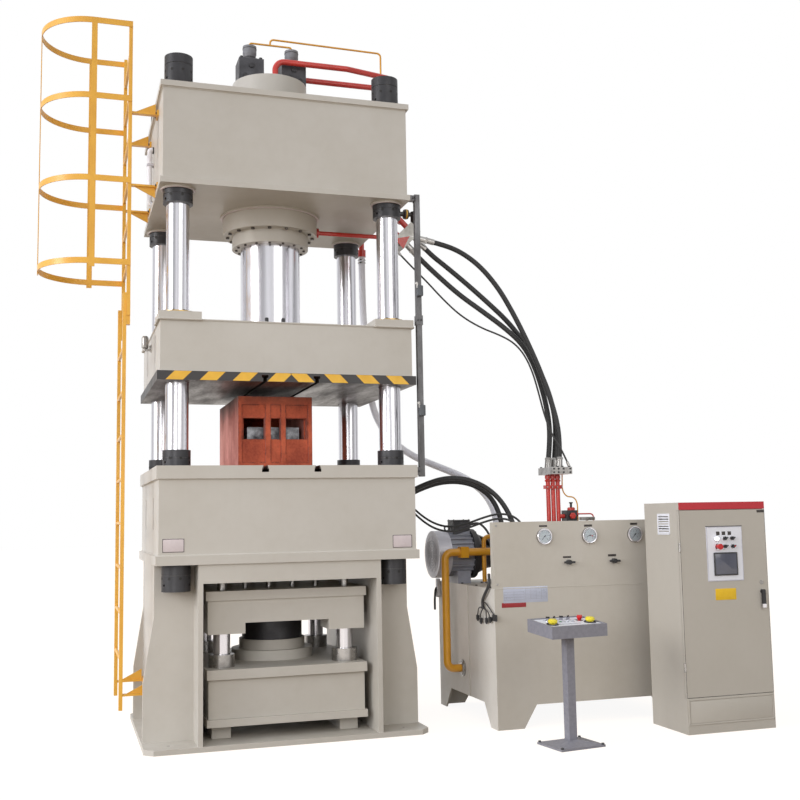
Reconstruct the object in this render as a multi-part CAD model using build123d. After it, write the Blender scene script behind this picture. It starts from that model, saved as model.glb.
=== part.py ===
from build123d import *
import math
import os

# Four-column hydraulic press with its power station, electric cabinet and operator console.
# All sizes are in millimetres. X points right, Y into the depth and Z up.
# The origin is the centre of the four columns, on the floor.

# Shared clearances
SLIP = 0.3
GUIDE_SLIP = 0.1

# Columns and their nuts
COLUMN_RADIUS = 80
COLUMN_HALF_X = 768
COLUMN_HALF_Y = 601
COLUMN_END_RECESS = 10
CROWN_NUT_RADIUS = 100
CROWN_NUT_HEIGHT = 231
UNDER_CROWN_NUT_RADIUS = 104
UNDER_CROWN_NUT_HEIGHT = 101
BOLSTER_NUT_RADIUS = 95
BOLSTER_NUT_HEIGHT = 112
FOOT_NUT_RADIUS = 98
FOOT_NUT_HEIGHT = 181
NUT_GROOVE = 4
NUT_GROOVE_DEPTH = 5
CROWN_NUT_GROOVE_AT = 0.7
BOLSTER_NUT_GROOVE_AT = 0.5
NUT_GROOVE_AT = 0.6
SPANNER_HOLE_RADIUS = 9
SPANNER_HOLE_DEPTH = 12
SPANNER_HOLE_AT = 0.25
SPANNER_HOLE_TURNS = (-150, -30)

# Base frame, a weldment of a foot plate and two box legs
FOOT_LENGTH = 1963
FOOT_WIDTH = 1528
FOOT_THICK = 35
FOOT_CORNER = 60
BASE_HEIGHT = 1221
LEG_INNER_HALF = 604
LEG_INNER_WALL = 32
LEG_HALF_DEPTH = 757
LEG_PANEL_FACE_Y = 500
LEG_PANEL_THICK = 30
LEG_TOP_HALF = 905
LEG_TAPER_TOP = 866
LEG_TAPER_BOTTOM = 423
LEG_FOOT_HALF = 975
SKIRT_HEIGHT = 127
SKIRT_THICK = 30
BEAM_PAD_HEIGHT = 92
BEAM_PAD_HALF_X = 450
BEAM_PAD_WIDTH = 130
BEAM_PAD_HALF_Y = 520
ANCHOR_HOLE_RADIUS = 18
ANCHOR_HALF_X = 810
ANCHOR_HALF_Y = 640

# Bolster
BOLSTER_FLANGE_HALF_X = 919
BOLSTER_HALF_Y = 773
BOLSTER_FLANGE = 63
BOLSTER_BOX_HALF_X = 900
BOLSTER_BOX_HALF_Y = 755
BOLSTER_BOX = 513
BOLSTER_PLATE_HALF_X = 917
BOLSTER_PLATE = 88
WALL = 40
COLUMN_TUBE_WALL = 42
RIB_X = 320
RIB_THICK = 30

# T-slots in the bolster plate and the slide's face plate
T_SLOT_X = 184
T_NECK_WIDTH = 28
T_NECK_DEPTH = 26
T_HEAD_WIDTH = 48
T_HEAD_DEPTH = 20

# Upright slots in the side walls
SIDE_SLOT_Y = 345
SIDE_SLOT_WIDTH = 32
BOLSTER_SLOT_LENGTH = 224
BOLSTER_SLOT_RISE = 284
SLIDE_SLOT_LENGTH = 200
SLIDE_SLOT_DROP = 150
CROWN_SLOT_LENGTH = 314
CROWN_SLOT_RISE = 421

# Crown
CLEAR_HEIGHT = 1957
CROWN_FLANGE_HALF_X = 905.5
CROWN_FLANGE_HALF_Y = 757.5
CROWN_FLANGE = 40
CROWN_BOX_HALF_X = 887
CROWN_BOX_HALF_Y = 740
CROWN_BOX = 654
CROWN_WALL = 35
CROWN_PAD = 12
NUT_PAD_RADIUS = 120
CYLINDER_PAD_RADIUS = 380
CENTRE_TUBE_WALL = 38

# Main cylinder, gland ring and ram
CYLINDER_FLANGE_RADIUS = 361.5
CYLINDER_FLANGE = 135
NECK_RADIUS = 290
CYLINDER_BORE_RADIUS = 235
CYLINDER_STANDS_OUT = 331
CYLINDER_END_WALL = 187
GLAND_RADIUS = 293
GLAND_HEIGHT = 101
RAM_RADIUS = 227
PISTON_ABOVE_PAD = 170
PISTON_HEIGHT = 110
FLANGE_BOLT_CIRCLE = 327
FLANGE_BOLT_RADIUS = 14
FLANGE_BOLT_HEIGHT = 13
GLAND_BOLT_CIRCLE = 260
GLAND_BOLT_RADIUS = 10
GLAND_BOLT_HEIGHT = 11
BOLT_COUNT = 16
PORT_RADIUS = 12
RING_PORT_SHARE = 0.46

# Slide and its guides
DAYLIGHT = 580
SLIDE_BOX_HALF_X = 897
SLIDE_BOX_HALF_Y = 750
SLIDE_FACE_OUT_X = 22
SLIDE_FACE_OUT_Y = 23
SLIDE_FACE_THICK = 63
SLIDE_BOX = 357
SLIDE_PAD_SIZE = 291
SLIDE_PAD_OUT_X = 13
SLIDE_PAD_OUT_Y = 15
SLIDE_PAD_HEIGHT = 55
BUSH_RADIUS = 95
BUSH_FLANGE_RADIUS = 106
BUSH_FLANGE = 20
FACE_HOLE_SLIP = 5
OIL_CUP_DROP = 49
OIL_CUP_RADIUS = 25
OIL_CUP_HEIGHT = 76
OIL_CUP_REACH = 46
OIL_CUP_NECK = 11.25
OIL_CUP_NECK_TOP = 6
OIL_CUP_NECK_END = 22
OIL_CUP_ELBOW = 14
OIL_CUP_ELBOW_RADIUS = 9
OIL_CUP_CAP = 12
OIL_CUP_CAP_RADIUS = 17.5

# Die on the bolster
DIE_LEFT = -305
DIE_RIGHT = 242
DIE_FRONT = -350
DIE_BACK = 600
DIE_HEIGHT = 525
DIE_WALL = 50
DIE_RAISED = 12
DIE_LIP = 42
DIE_HEAD = 60
DIE_WINDOW_BOTTOM = 213
DIE_WINDOW_HEIGHT = 154
DIE_WINDOWS = ((-268, -109), (-64, 7), (47, 203))
DIE_RIBS = ((-305, -277), (-106, -66), (9, 45), (212, 242))
INSERT_HEIGHT = 265
INSERT_INSET = 30

# Cushion under the bolster
BEAM_HALF_X = 561
BEAM_BOX_HALF_X = 548
BEAM_HALF_Y = 630
BEAM_BOTTOM_FLANGE = 50
BEAM_BOX = 263
BEAM_TOP_FLANGE = 65
BEAM_WALL = 30
POST_RADIUS = 59
POST_HALF_X = 440
POST_HALF_Y = 460
POST_TOP = 950
POST_NUT_RADIUS = 90
POST_NUT_HEIGHT = 88
CUSHION_FLANGE_RADIUS = 300
CUSHION_FLANGE = 70
CUSHION_BODY_RADIUS = 243
CUSHION_BODY = 70
CUSHION_RAM_RADIUS = 222
CUSHION_RAM_SHOWN = 165
CUSHION_BORE_DEPTH = 330
CUSHION_RAM_SEATED = 120
PLATEN_PLATE_HALF_X = 566
PLATEN_PLATE_HALF_Y = 605
PLATEN_BOX_HALF_X = 552
PLATEN_BOX_HALF_Y = 590
PLATEN_BOX = 157
PLATEN_PLATE = 63
PLATEN_PAD = 257
PLATEN_PAD_HEIGHT = 72
PLATEN_WALL = 30
STUD_RADIUS = 32
STUD_HALF_X = 440
STUD_HALF_Y = 470
STUD_LENGTH = 560
PIN_RADIUS = 18
PIN_PITCH = 171
PIN_ROW_Y = 342
PIN_LENGTH = 620
PIN_HOLE_SLIP = 4

# Ladder with safety cage on the left side
LADDER_X = -1087
LADDER_MIDDLE_Y = -12
LADDER_WIDTH = 680
STILE_THICK = 25
STILE_WIDTH = 50
RUNG_RADIUS = 12
RUNG_PITCH = 310
UPPER_LADDER_BOTTOM = 2905
UPPER_LADDER_TOP = 5148
LOWER_LADDER_BOTTOM = 240
LOWER_LADDER_TOP = 3134
FIRST_RUNG = 577
LOWER_RUNGS = 8
UPPER_RUNGS = 7
HOOP_LEVELS = (3352, 3955, 4563, 5126)
HOOP_STRAIGHT = 268
HOOP_BAR = 43
HOOP_THICK = 6
STRAP_WIDTH = 40
LADDER_BRACKET_DROP = 71
LADDER_BRACKET_RISE = 43
LADDER_FOOT_BRACKET = 340
BRACKET_ARM = 14
BRACKET_WIDTH = 40
BRACKET_PLATE = 15
BRACKET_PLATE_WIDTH = 110
GUSSET = 75
GUSSET_THICK = 10
GUSSET_REACH = 150
GUSSET_BACK = 5
LATCH_LENGTH = 105
LATCH_DROP = 60

# Switch rail on the front right column side
RAIL_CLEARANCE = 41
RAIL_Y = -735
RAIL_SIZE = 39
RAIL_WALL = 3
RAIL_BELOW_PLATE = 82
RAIL_ABOVE_CROWN_FOOT = 48
RAIL_JOINT_RISE = 1060
RAIL_JOINT_HEIGHT = 70
RAIL_JOINT_SIZE = 50
RAIL_BRACKET_WIDTH = 60
RAIL_FOOT_TOP = 15
RAIL_FOOT_BOTTOM = 70

# Prefill valves and pipes on the crown
PREFILL_X = (-157, 178)
PREFILL_HALF_X = 97
PREFILL_HALF_Y = 95
PREFILL_HEIGHT = 193
PREFILL_SCREW_RADIUS = 13
PREFILL_SCREW_HEIGHT = 16
PREFILL_SCREW_INSET = 22
PREFILL_OPENING_RADIUS = 55
PILOT_STEM_RADIUS = 30
PILOT_CUP_RADIUS = 54
PILOT_CONE = 66
PILOT_CUP = 62
PILOT_PIPE_RADIUS = 7.5
PILOT_PIPE_BEND = 30
RED_PIPE_RADIUS = 22.5
RED_PIPE_BEND = 75
RED_PIPE_Y = 38
RED_PIPE_LEAD = 80
FIRST_PIPE_START = (20, -140)
FIRST_PIPE_RISE = 168
FIRST_PIPE_TURN_X = 600
SECOND_PIPE_RISE = 113
BRIDGE_RISE = 34
BRIDGE_BEND = 18
BRIDGE_MIDDLE_X = 7
PILOT_CROSS_RISE = 84
PILOT_CROSS_END_RISE = 70
PILOT_DOWN_X = 920
PILOT_DOWN_Y = -6
PILOT_JOG_TOP = 330
PILOT_JOG_BOTTOM = 230

# Hose manifold beside the crown
MANIFOLD_X = 1105
MANIFOLD_DROP = 72
MANIFOLD_TILT = 45
MANIFOLD_LENGTH = 210
MANIFOLD_THICK = 110
MANIFOLD_DEPTH = 130
RING_PIPE_RADIUS = 17
RING_FLANGE_RADIUS = 38
RING_FLANGE = 22
RING_PIPE_SHORT = 120
RING_SOCKET_END = 60
RING_SOCKET_WALL = 7
PILOT_ROW = -40
PILOT_TEE_OUT = 32
PILOT_TEE_SIZE = 40
PILOT_BOSS = 36
PILOT_BOSS_RADIUS = 12
PILOT_PLUG = 12
PILOT_PLUG_RADIUS = 16
PILOT_FITTING_LENGTH = 60
BRANCH_RADIUS = 40
BRANCH_LENGTH = 34
BRANCH_VALVE_OUT = 10
BRANCH_VALVE_RADIUS = 30
BRANCH_VALVE_BOTTOM = 60
BRANCH_VALVE_TOP = 215
RETURN_PIPE_RISE = 103
RETURN_FLANGE_RADIUS = 36
RETURN_FLANGE = 60

# Port plate for the lower hoses, on the bolster's right wall
PORT_PLATE_HALF_Y = 140
PORT_PLATE_RISE = 276
PORT_PLATE_HEIGHT = 200
PORT_PLATE_THICK = 22
PORT_KNEE = 45
LOWER_HOSES = ("hose_lower_a", "hose_lower_b", "hose_thin_a", "hose_thin_b")

# Power station
TANK_LEFT = 1455
TANK_RIGHT = 2995
TANK_FRONT = -849
TANK_BACK = 355
TANK_BOTTOM = 162
TANK_TOP = 990
TANK_WALL = 6
TANK_FOOT_PLATE = 12
TANK_FOOT_TOP = 304
TANK_FOOT_BASE = 204
TANK_FOOT_SIDE_TOP = 250
TANK_FOOT_SIDE_BASE = 130
TANK_RIB_Y = -313
TANK_RIB_WIDTH = 12
GAUGE_PANEL_TOP = 1465
GAUGE_PANEL_DEPTH = 60
GAUGE_PANEL_WALL = 4
GAUGE_X = (1854, 2220, 2598)
GAUGE_Z = 1356
GAUGE_RADIUS = 58
GAUGE_BODY_RADIUS = 50
GAUGE_BEZEL = 16
GAUGE_BODY_DEPTH = 44
VALVE_BEHIND_PANEL = 20
GAUGE_VALVE_X = (2045, 2417)
GAUGE_VALVE_Z = 1164
VALVE_STEM_RADIUS = 7
VALVE_HUB_RADIUS = 17
VALVE_HUB = 34
VALVE_BAR_RADIUS = 8
VALVE_BAR_LENGTH = 84
MOTOR_Y = 50
MOTOR_Z = 1216
MOTOR_LEFT = 1300
COWL_LENGTH = 100
COWL_RADIUS = 185
COWL_WALL = 4
MOTOR_RADIUS = 158
FIN_RADIUS = 176
FIN_THICK = 8
FIN_COUNT = 24
FIN_ROOT = 10
MOTOR_FRAME_LENGTH = 200
MOTOR_FLANGE = 40
MOTOR_FLANGE_RADIUS = 195
MOTOR_FOOT_LENGTH = 110
MOTOR_FOOT_HALF_Y = 150
MOTOR_FOOT_ABOVE = 30
TERMINAL_LENGTH = 140
TERMINAL_WIDTH = 130
TERMINAL_HEIGHT = 90
BELL_LENGTH = 140
BELL_RADIUS = 165
BELL_END_RADIUS = 118
BELL_WALL = 14
BELL_SHAFT_ROOM = 12
BELL_WINDOW_LEFT = 35
BELL_WINDOW_RIGHT = 30
BELL_WINDOW_WIDTH = 80
BELL_WINDOW_TURNS = (45, 225)
PUMP_LENGTH = 200
PUMP_RADIUS = 92
PUMP_COVER = 30
PUMP_COVER_OUT = 18
PUMP_PORT_Y = -75
SUCTION_PORT_AT = 80
SUCTION_PORT_RADIUS = 36
DRAIN_PORT_AT = 160
DRAIN_PORT_RADIUS = 24
SHAFT_RADIUS = 19
COUPLING_RADIUS = 58
COUPLING_LENGTH = 96
FAN_RADIUS = 140
FAN_THICK = 24
FAN_AT = 40
SHAFT_END_AT = 20
SHAFT_IN_PUMP = 40

# Suction pipe and case drain pipe of the pump
SUCTION_RADIUS = 30
SUCTION_WALL = 5
SUCTION_Y = -178
SUCTION_PORT_Z = 354
SUCTION_OUT = 130
SUCTION_TOP = 1235
SUCTION_BEND = 55
SUCTION_FLANGE = 22
SUCTION_FLANGE_RADIUS = 50
SUCTION_CLAMP_LEFT = 10
SUCTION_CLAMP_RIGHT = 55
SUCTION_CLAMP_HALF = 42
SUCTION_CLAMP_HALF_Y = 40
DRAIN_RADIUS = 17
DRAIN_X = 1662
DRAIN_Y = -150
DRAIN_TOP = 1350
DRAIN_BEND = 40

# Delivery pipes and the hose flange block over the station
DELIVERY_X = (2072, 2113, 2154)
DELIVERY_Y = -490
DELIVERY_RADIUS = 17
FLANGE_BLOCK_RISE = 830
FLANGE_BLOCK = 55
FLANGE_BLOCK_LEFT = 2038
FLANGE_BLOCK_RIGHT = 2206
FLANGE_BLOCK_FRONT = -645
FLANGE_BLOCK_BACK = -395
VALVE_BLOCK_HEIGHT = 170
VALVE_BLOCK_RIGHT = 2330
VALVE_BLOCK_LEFT = 1672
VALVE_BLOCK_FRONT = -740
VALVE_BLOCK_BACK = -390
VALVE_HEAD_X = (1950, 2240)
VALVE_HEAD_WIDTH = 70
VALVE_HEAD_HEIGHT = 90
VALVE_HEAD_FRONT = -700
VALVE_HEAD_BACK = -560
SIDE_VALVE_RISE = 300
SIDE_VALVE_HEIGHT = 85
SIDE_VALVE_DROP = 40
SIDE_VALVE_LENGTH = 90
SIDE_PIPE_LENGTH = 46
CLAMP_RISE = 552
CLAMP_HEIGHT = 28
CLAMP_OUT = 28
CLAMP_HALF_Y = 26
FITTING_WALL = 4
FITTING_SEAT = 5
FERRULE_RADIUS = 25
FERRULE_LENGTH = 75

# Hoses
HOSE_RADIUS = 20.5
PILOT_HOSE_RADIUS = 7
RETURN_HOSE_RADIUS = 30
RETURN_STUB_WALL = 6
LOWER_HOSE_RADIUS = 19
THIN_HOSE_RADIUS = 8
HOSE_FILL = 0.45

# Electric cabinet
CABINET_LEFT = 2589
CABINET_WIDTH = 701
CABINET_BACK = -1030
CABINET_FRONT = -1491
CABINET_HEIGHT = 1581
CABINET_WALL = 3
PLINTH = 52
DOOR_BOTTOM = 246
DOOR_TOP = 1527
DOOR_GAP = 3
DOOR_DEPTH = 22.7
DOOR_SEAL_GAP = 2.3
DOOR_WALL = 2.5
FRAME_WIDTH = 34
HINGE_INSET = 7
HINGE_PIN_RADIUS = 4
HINGE_PIN_LENGTH = 10
HINGE_COLLAR_RADIUS = 6.5
HINGE_LEDGE = 16
CONTROL_LEFT = 2805
CONTROL_RIGHT = 3085
CONTROL_BOTTOM = 1035
CONTROL_TOP = 1404
CONTROL_THICK = 3
SCREEN_LEFT = 2859
SCREEN_RIGHT = 3033
SCREEN_BOTTOM = 1076
SCREEN_TOP = 1220
SCREEN_THICK = 6
KNOB_RADIUS = 13
KNOB_LENGTH = 14
KNOB_PLACES = ((2881, 1325), (2947, 1325), (3006, 1325), (2946, 1269), (3009, 1269))
STOP_X = 2891
STOP_Z = 1269
MUSHROOM_RADIUS = 20
MUSHROOM_HEIGHT = 26
STOP_STEM_RADIUS = 11
STOP_TRAVEL_GAP = 9
STOP_STEM_REACH = 12
MUSHROOM_NECK = 0.8
MUSHROOM_NECK_HEIGHT = 0.55
HANDLE_X = 3235
HANDLE_TOP = 962
HANDLE_LENGTH = 128
HANDLE_WIDTH = 25
HANDLE_THICK = 16
HANDLE_BOSS_RADIUS = 15
HANDLE_BOSS = 10
HANDLE_SHAFT_RADIUS = 7
HANDLE_SHAFT_BEHIND = 17
HANDLE_CORNER = 7.5
CAM_THICK = 5
CAM_HALF = 9
CAM_UP = 26
CAM_DOWN = 10
VENT_BOTTOM = 1357
VENT_HEIGHT = 148
VENT_FRONT = -1371
VENT_WIDTH = 159
VENT_SLATS = 6
PLATE_INSET = 50
PLATE_OFF_WALL = 26
PLATE_THICK = 3
PLATE_BOTTOM = 150
PLATE_TOP = 1500
PLATE_STUD_RADIUS = 8
PLATE_STUD_INSET = 120
PLATE_STUD_LEVELS = (300, 1400)
SWITCHGEAR_ROWS = ((300, 5, 120), (620, 6, 90), (920, 5, 110), (1220, 3, 150))
SWITCHGEAR_INSET = 40
SWITCHGEAR_DEPTH = 70
SWITCHGEAR_FILL = 0.85

# Operator console
CONSOLE_X = 1711
CONSOLE_Y = -1475
CONSOLE_TURN = 7.8
CONSOLE_BASE_LENGTH = 341
CONSOLE_BASE_WIDTH = 292
CONSOLE_BASE_EDGE = 14
CONSOLE_BASE_CROWN = 40
CONSOLE_BASE_STEP = 10
POST_SEAT = 5
POST_INTO_BOX = 40
POST_SIZE = 60
POST_WALL = 3
CONSOLE_LENGTH = 432
CONSOLE_DEPTH = 300
CONSOLE_FRONT_BOTTOM = 710
CONSOLE_REAR_BOTTOM = 735
CONSOLE_FRONT_TOP = 791
CONSOLE_TILT = 5.5
CONSOLE_WALL = 3
CONSOLE_RIM = 14
CONSOLE_SINK = 6
CONSOLE_PANEL_ROOM = 2
CONSOLE_HOLE_DEPTH = 14
PALM_RADIUS = 32
PALM_HEIGHT = 30
PALM_STEM_RADIUS = 14
PALM_SPREAD = 148
PALM_ROW = -52
PALM_TRAVEL_GAP = 7
EMERGENCY_RADIUS = 19
EMERGENCY_PLACE = (118, 28)
CONSOLE_KNOB_RADIUS = 11
CONSOLE_KNOB_HEIGHT = 20
CONSOLE_KNOBS = ((-112, 62), (-62, 62), (-6, 62), (50, 62))
CONSOLE_BUTTONS = ((-56, -6), (-6, -6), (44, -6))
CONSOLE_BUTTON_RADIUS = 8
CONSOLE_BUTTON_HEIGHT = 8
BUTTON_STEM_REACH = 12

# Levels that follow from the sizes above
BOLSTER_BOTTOM = BASE_HEIGHT
BOLSTER_BOX_BOTTOM = BOLSTER_BOTTOM + BOLSTER_FLANGE
BOLSTER_BOX_TOP = BOLSTER_BOX_BOTTOM + BOLSTER_BOX
BOLSTER_TOP = BOLSTER_BOX_TOP + BOLSTER_PLATE
CROWN_BOTTOM = BOLSTER_TOP + CLEAR_HEIGHT
CROWN_BOX_BOTTOM = CROWN_BOTTOM + CROWN_FLANGE
CROWN_BOX_TOP = CROWN_BOX_BOTTOM + CROWN_BOX
CROWN_TOP = CROWN_BOX_TOP + CROWN_FLANGE
PAD_FACE = CROWN_BOTTOM - CROWN_PAD
COLUMN_BOTTOM = BOLSTER_BOTTOM - FOOT_NUT_HEIGHT
COLUMN_TOP = CROWN_TOP + CROWN_NUT_HEIGHT - COLUMN_END_RECESS
CYLINDER_TOP = CROWN_TOP + CYLINDER_STANDS_OUT
FLANGE_FACE = PAD_FACE - CYLINDER_FLANGE
GLAND_FACE = FLANGE_FACE - GLAND_HEIGHT
BORE_TOP = CYLINDER_TOP - CYLINDER_END_WALL
SLIDE_FACE = BOLSTER_TOP + DAYLIGHT
SLIDE_BOTTOM = SLIDE_FACE + SLIDE_FACE_THICK
SLIDE_TOP = SLIDE_BOTTOM + SLIDE_BOX
SLIDE_PAD_TOP = SLIDE_TOP + SLIDE_PAD_HEIGHT
SLIDE_FACE_HALF_X = SLIDE_BOX_HALF_X + SLIDE_FACE_OUT_X
SLIDE_FACE_HALF_Y = SLIDE_BOX_HALF_Y + SLIDE_FACE_OUT_Y
SLIDE_PAD_HALF_X = SLIDE_BOX_HALF_X + SLIDE_PAD_OUT_X
SLIDE_PAD_HALF_Y = SLIDE_BOX_HALF_Y + SLIDE_PAD_OUT_Y
OIL_CUP_Z = SLIDE_TOP - OIL_CUP_DROP
RAIL_X = SLIDE_FACE_HALF_X + RAIL_CLEARANCE
RAIL_JOINT_Z = BOLSTER_TOP + RAIL_JOINT_RISE
BOLSTER_SLOT_MIDDLE = BOLSTER_BOX_BOTTOM + BOLSTER_SLOT_RISE
SLIDE_SLOT_MIDDLE = SLIDE_TOP - SLIDE_SLOT_DROP
CROWN_SLOT_MIDDLE = CROWN_BOX_BOTTOM + CROWN_SLOT_RISE
RAM_TOP = PAD_FACE + PISTON_ABOVE_PAD
MANIFOLD_Z = CROWN_BOTTOM - MANIFOLD_DROP
RING_PIPE_END = MANIFOLD_X - RING_PIPE_SHORT
RETURN_PIPE_TOP = CYLINDER_TOP + RETURN_PIPE_RISE
PORT_PLATE_BOTTOM = BOLSTER_BOX_BOTTOM + PORT_PLATE_RISE
LADDER_BRACKET_HIGH = CROWN_BOX_TOP - LADDER_BRACKET_DROP
LADDER_BRACKET_LOW = CROWN_BOX_BOTTOM + LADDER_BRACKET_RISE
BEAM_BOTTOM = FOOT_THICK + BEAM_PAD_HEIGHT
BEAM_BOX_BOTTOM = BEAM_BOTTOM + BEAM_BOTTOM_FLANGE
BEAM_BOX_TOP = BEAM_BOX_BOTTOM + BEAM_BOX
BEAM_TOP = BEAM_BOX_TOP + BEAM_TOP_FLANGE
CUSHION_BODY_BOTTOM = BEAM_TOP + CUSHION_FLANGE
CUSHION_TOP = CUSHION_BODY_BOTTOM + CUSHION_BODY
PLATEN_BOX_BOTTOM = CUSHION_TOP + CUSHION_RAM_SHOWN
PLATEN_BOX_TOP = PLATEN_BOX_BOTTOM + PLATEN_BOX
PLATEN_TOP = PLATEN_BOX_TOP + PLATEN_PLATE
LADDER_LOWER_X = LADDER_X - STILE_THICK - SLIP
STILE_YS = (LADDER_MIDDLE_Y - LADDER_WIDTH / 2, LADDER_MIDDLE_Y + LADDER_WIDTH / 2)
BELL_LEFT = MOTOR_LEFT + COWL_LENGTH + MOTOR_FRAME_LENGTH + MOTOR_FLANGE
PUMP_LEFT = BELL_LEFT + BELL_LENGTH
SUCTION_IN_X = PUMP_LEFT + SUCTION_PORT_AT
DRAIN_IN_X = PUMP_LEFT + DRAIN_PORT_AT
FLANGE_BLOCK_BOTTOM = TANK_TOP + FLANGE_BLOCK_RISE
FLANGE_BLOCK_TOP = FLANGE_BLOCK_BOTTOM + FLANGE_BLOCK
VALVE_BLOCK_TOP = TANK_TOP + VALVE_BLOCK_HEIGHT
CABINET_RIGHT = CABINET_LEFT + CABINET_WIDTH
SHELL_FRONT = CABINET_FRONT + DOOR_DEPTH + DOOR_SEAL_GAP
DOOR_BACK = CABINET_FRONT + DOOR_DEPTH
CORNERS = [(x, y) for x in (-1, 1) for y in (-1, 1)]


def from_level(level, points):
    """Points whose heights are given from a level."""
    return [(x, y, level + z) for x, y, z in points]


# Hose routes, from fitting to fitting, with heights from the crown or bolster and then from the tank top
HOSE_ROUTES = {
    "hose_upper_a": (HOSE_RADIUS, from_level(CROWN_BOTTOM, [
        (1272, -45, -100), (1390, -45, -121), (1530, -100, -182), (1680, -160, -307),
        (1815, -220, -497), (1915, -280, -717)]) + from_level(TANK_TOP, [
        (2000, -340, 1905), (2075, -395, 1675), (2132, -442, 1455), (2164, -490, 1260),
        (2164, -528, 1100), (2150, -545, 960)])),
    "hose_upper_b": (HOSE_RADIUS, from_level(CROWN_BOTTOM, [
        (1249, 45, -103), (1334, 45, -188), (1455, 0, -297), (1610, -60, -447), (1775, -115, -612),
        (1920, -165, -767)]) + from_level(TANK_TOP, [
        (2045, -212, 1900), (2130, -258, 1705), (2190, -305, 1510), (2216, -350, 1320),
        (2200, -395, 1140), (2170, -415, 960)])),
    "hose_upper_c": (HOSE_RADIUS, from_level(CROWN_BOTTOM, [
        (1166, 0, -180), (1250, 0, -264), (1375, -55, -402), (1520, -115, -552), (1690, -170, -687),
        (1865, -218, -827)]) + from_level(TANK_TOP, [
        (1998, -260, 1890), (2075, -303, 1715), (2120, -352, 1500), (2137, -405, 1285),
        (2124, -445, 1110), (2100, -455, 960)])),
    "hose_pilot": (PILOT_HOSE_RADIUS, from_level(CROWN_BOTTOM, [
        (1052, -40, -231), (1140, -40, -319), (1250, -90, -447), (1370, -135, -597), (1500, -185, -737),
        (1650, -235, -837), (1790, -280, -897)]) + from_level(TANK_TOP, [
        (1895, -320, 1890), (1965, -360, 1790), (2012, -400, 1650), (2036, -448, 1480),
        (2058, -492, 1300), (2088, -550, 1140), (2140, -600, 1030), (2180, -615, 925)])),
    "hose_return": (RETURN_HOSE_RADIUS, from_level(CROWN_BOTTOM, [
        (962, 800, -52), (962, 800, -342), (972, 800, -662), (994, 796, -982), (1015, 775, -1302),
        (1070, 740, -1512)]) + from_level(TANK_TOP, [
        (1190, 680, 1160), (1345, 590, 1030), (1520, 430, 935), (1665, 230, 840), (1738, 20, 725),
        (1752, -150, 600), (1735, -265, 460), (1718, -310, 300), (1718, -310, 140)])),
    "hose_lower_a": (LOWER_HOSE_RADIUS, from_level(BOLSTER_BOTTOM, [
        (985, 10, 434), (1062, -38, 475), (1180, -110, 541), (1320, -190, 591)]) + from_level(TANK_TOP, [
        (1460, -258, 818), (1590, -325, 765), (1690, -395, 670), (1755, -455, 540), (1790, -500, 390),
        (1800, -510, 240)])),
    "hose_lower_b": (LOWER_HOSE_RADIUS, from_level(BOLSTER_BOTTOM, [
        (985, 95, 404), (1062, 55, 443), (1180, -10, 509), (1320, -85, 561)]) + from_level(TANK_TOP, [
        (1460, -155, 798), (1580, -235, 758), (1665, -320, 670), (1705, -390, 535), (1712, -425, 390),
        (1712, -430, 250)])),
    "hose_thin_a": (THIN_HOSE_RADIUS, from_level(BOLSTER_BOTTOM, [
        (985, -60, 479), (1050, -105, 409), (1135, -180, 304), (1225, -260, 234), (1320, -340, 209)])
        + from_level(TANK_TOP, [
        (1425, -425, 468), (1525, -490, 510), (1615, -550, 538), (1705, -610, 528), (1770, -645, 470),
        (1795, -660, 385), (1800, -665, 300)])),
    "hose_thin_b": (THIN_HOSE_RADIUS, from_level(BOLSTER_BOTTOM, [
        (985, -100, 434), (1045, -148, 369), (1120, -225, 269), (1205, -310, 197), (1305, -395, 174)])
        + from_level(TANK_TOP, [
        (1410, -475, 435), (1510, -540, 478), (1605, -600, 505), (1690, -655, 488), (1745, -690, 420),
        (1765, -700, 330), (1768, -705, 248)])),
}


def slab(x0, x1, y0, y1, z0, z1):
    """Box between two corners."""
    centre = Pos((x0 + x1) / 2, (y0 + y1) / 2, (z0 + z1) / 2)
    return centre * Box(x1 - x0, y1 - y0, z1 - z0)


def centred_slab(half_x, half_y, z0, z1):
    """Box centred on the machine's upright axis."""
    return slab(-half_x, half_x, -half_y, half_y, z0, z1)


def rod(x, y, z0, z1, radius):
    """Upright round bar."""
    return Pos(x, y, (z0 + z1) / 2) * Cylinder(radius, z1 - z0)


def rod_between(start, end, radius):
    """Round bar from one point to another."""
    axis = Vector(*end) - Vector(*start)
    plane = Plane(origin=Vector(*start), z_dir=axis)
    return Solid.make_cylinder(radius, axis.length, plane)


def rod_x(x0, x1, y, z, radius):
    """Round bar along X."""
    return rod_between((x0, y, z), (x1, y, z), radius)


def rod_y(y0, y1, x, z, radius):
    """Round bar along Y."""
    return rod_between((x, y0, z), (x, y1, z), radius)


def hex_bar(x, y, z0, z1, radius):
    """Upright hexagon, as wide across its corners as the radius says."""
    return extrude(Plane.XY.offset(z0) * Pos(x, y) * RegularPolygon(radius, 6), amount=z1 - z0)


def prism_xz(points, y0, y1):
    """Outline in the XZ plane, drawn out along Y."""
    face = Plane.XZ.offset(-y1) * make_face(Polyline(*points, close=True))
    return extrude(face, amount=y1 - y0)


def prism_yz(points, x0, x1):
    """Outline in the YZ plane, drawn out along X."""
    face = Plane.YZ.offset(x0) * make_face(Polyline(*points, close=True))
    return extrude(face, amount=x1 - x0)


def turned(x, y, profile):
    """Upright turned solid from (radius, height) points."""
    face = Plane.XZ * make_face(Polyline(*profile, close=True))
    return Pos(x, y, 0) * revolve(face, Axis.Z)


def both_sides(shape):
    """A shape and its mirror image across the machine's middle."""
    return shape + mirror(shape, Plane.YZ)


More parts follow.
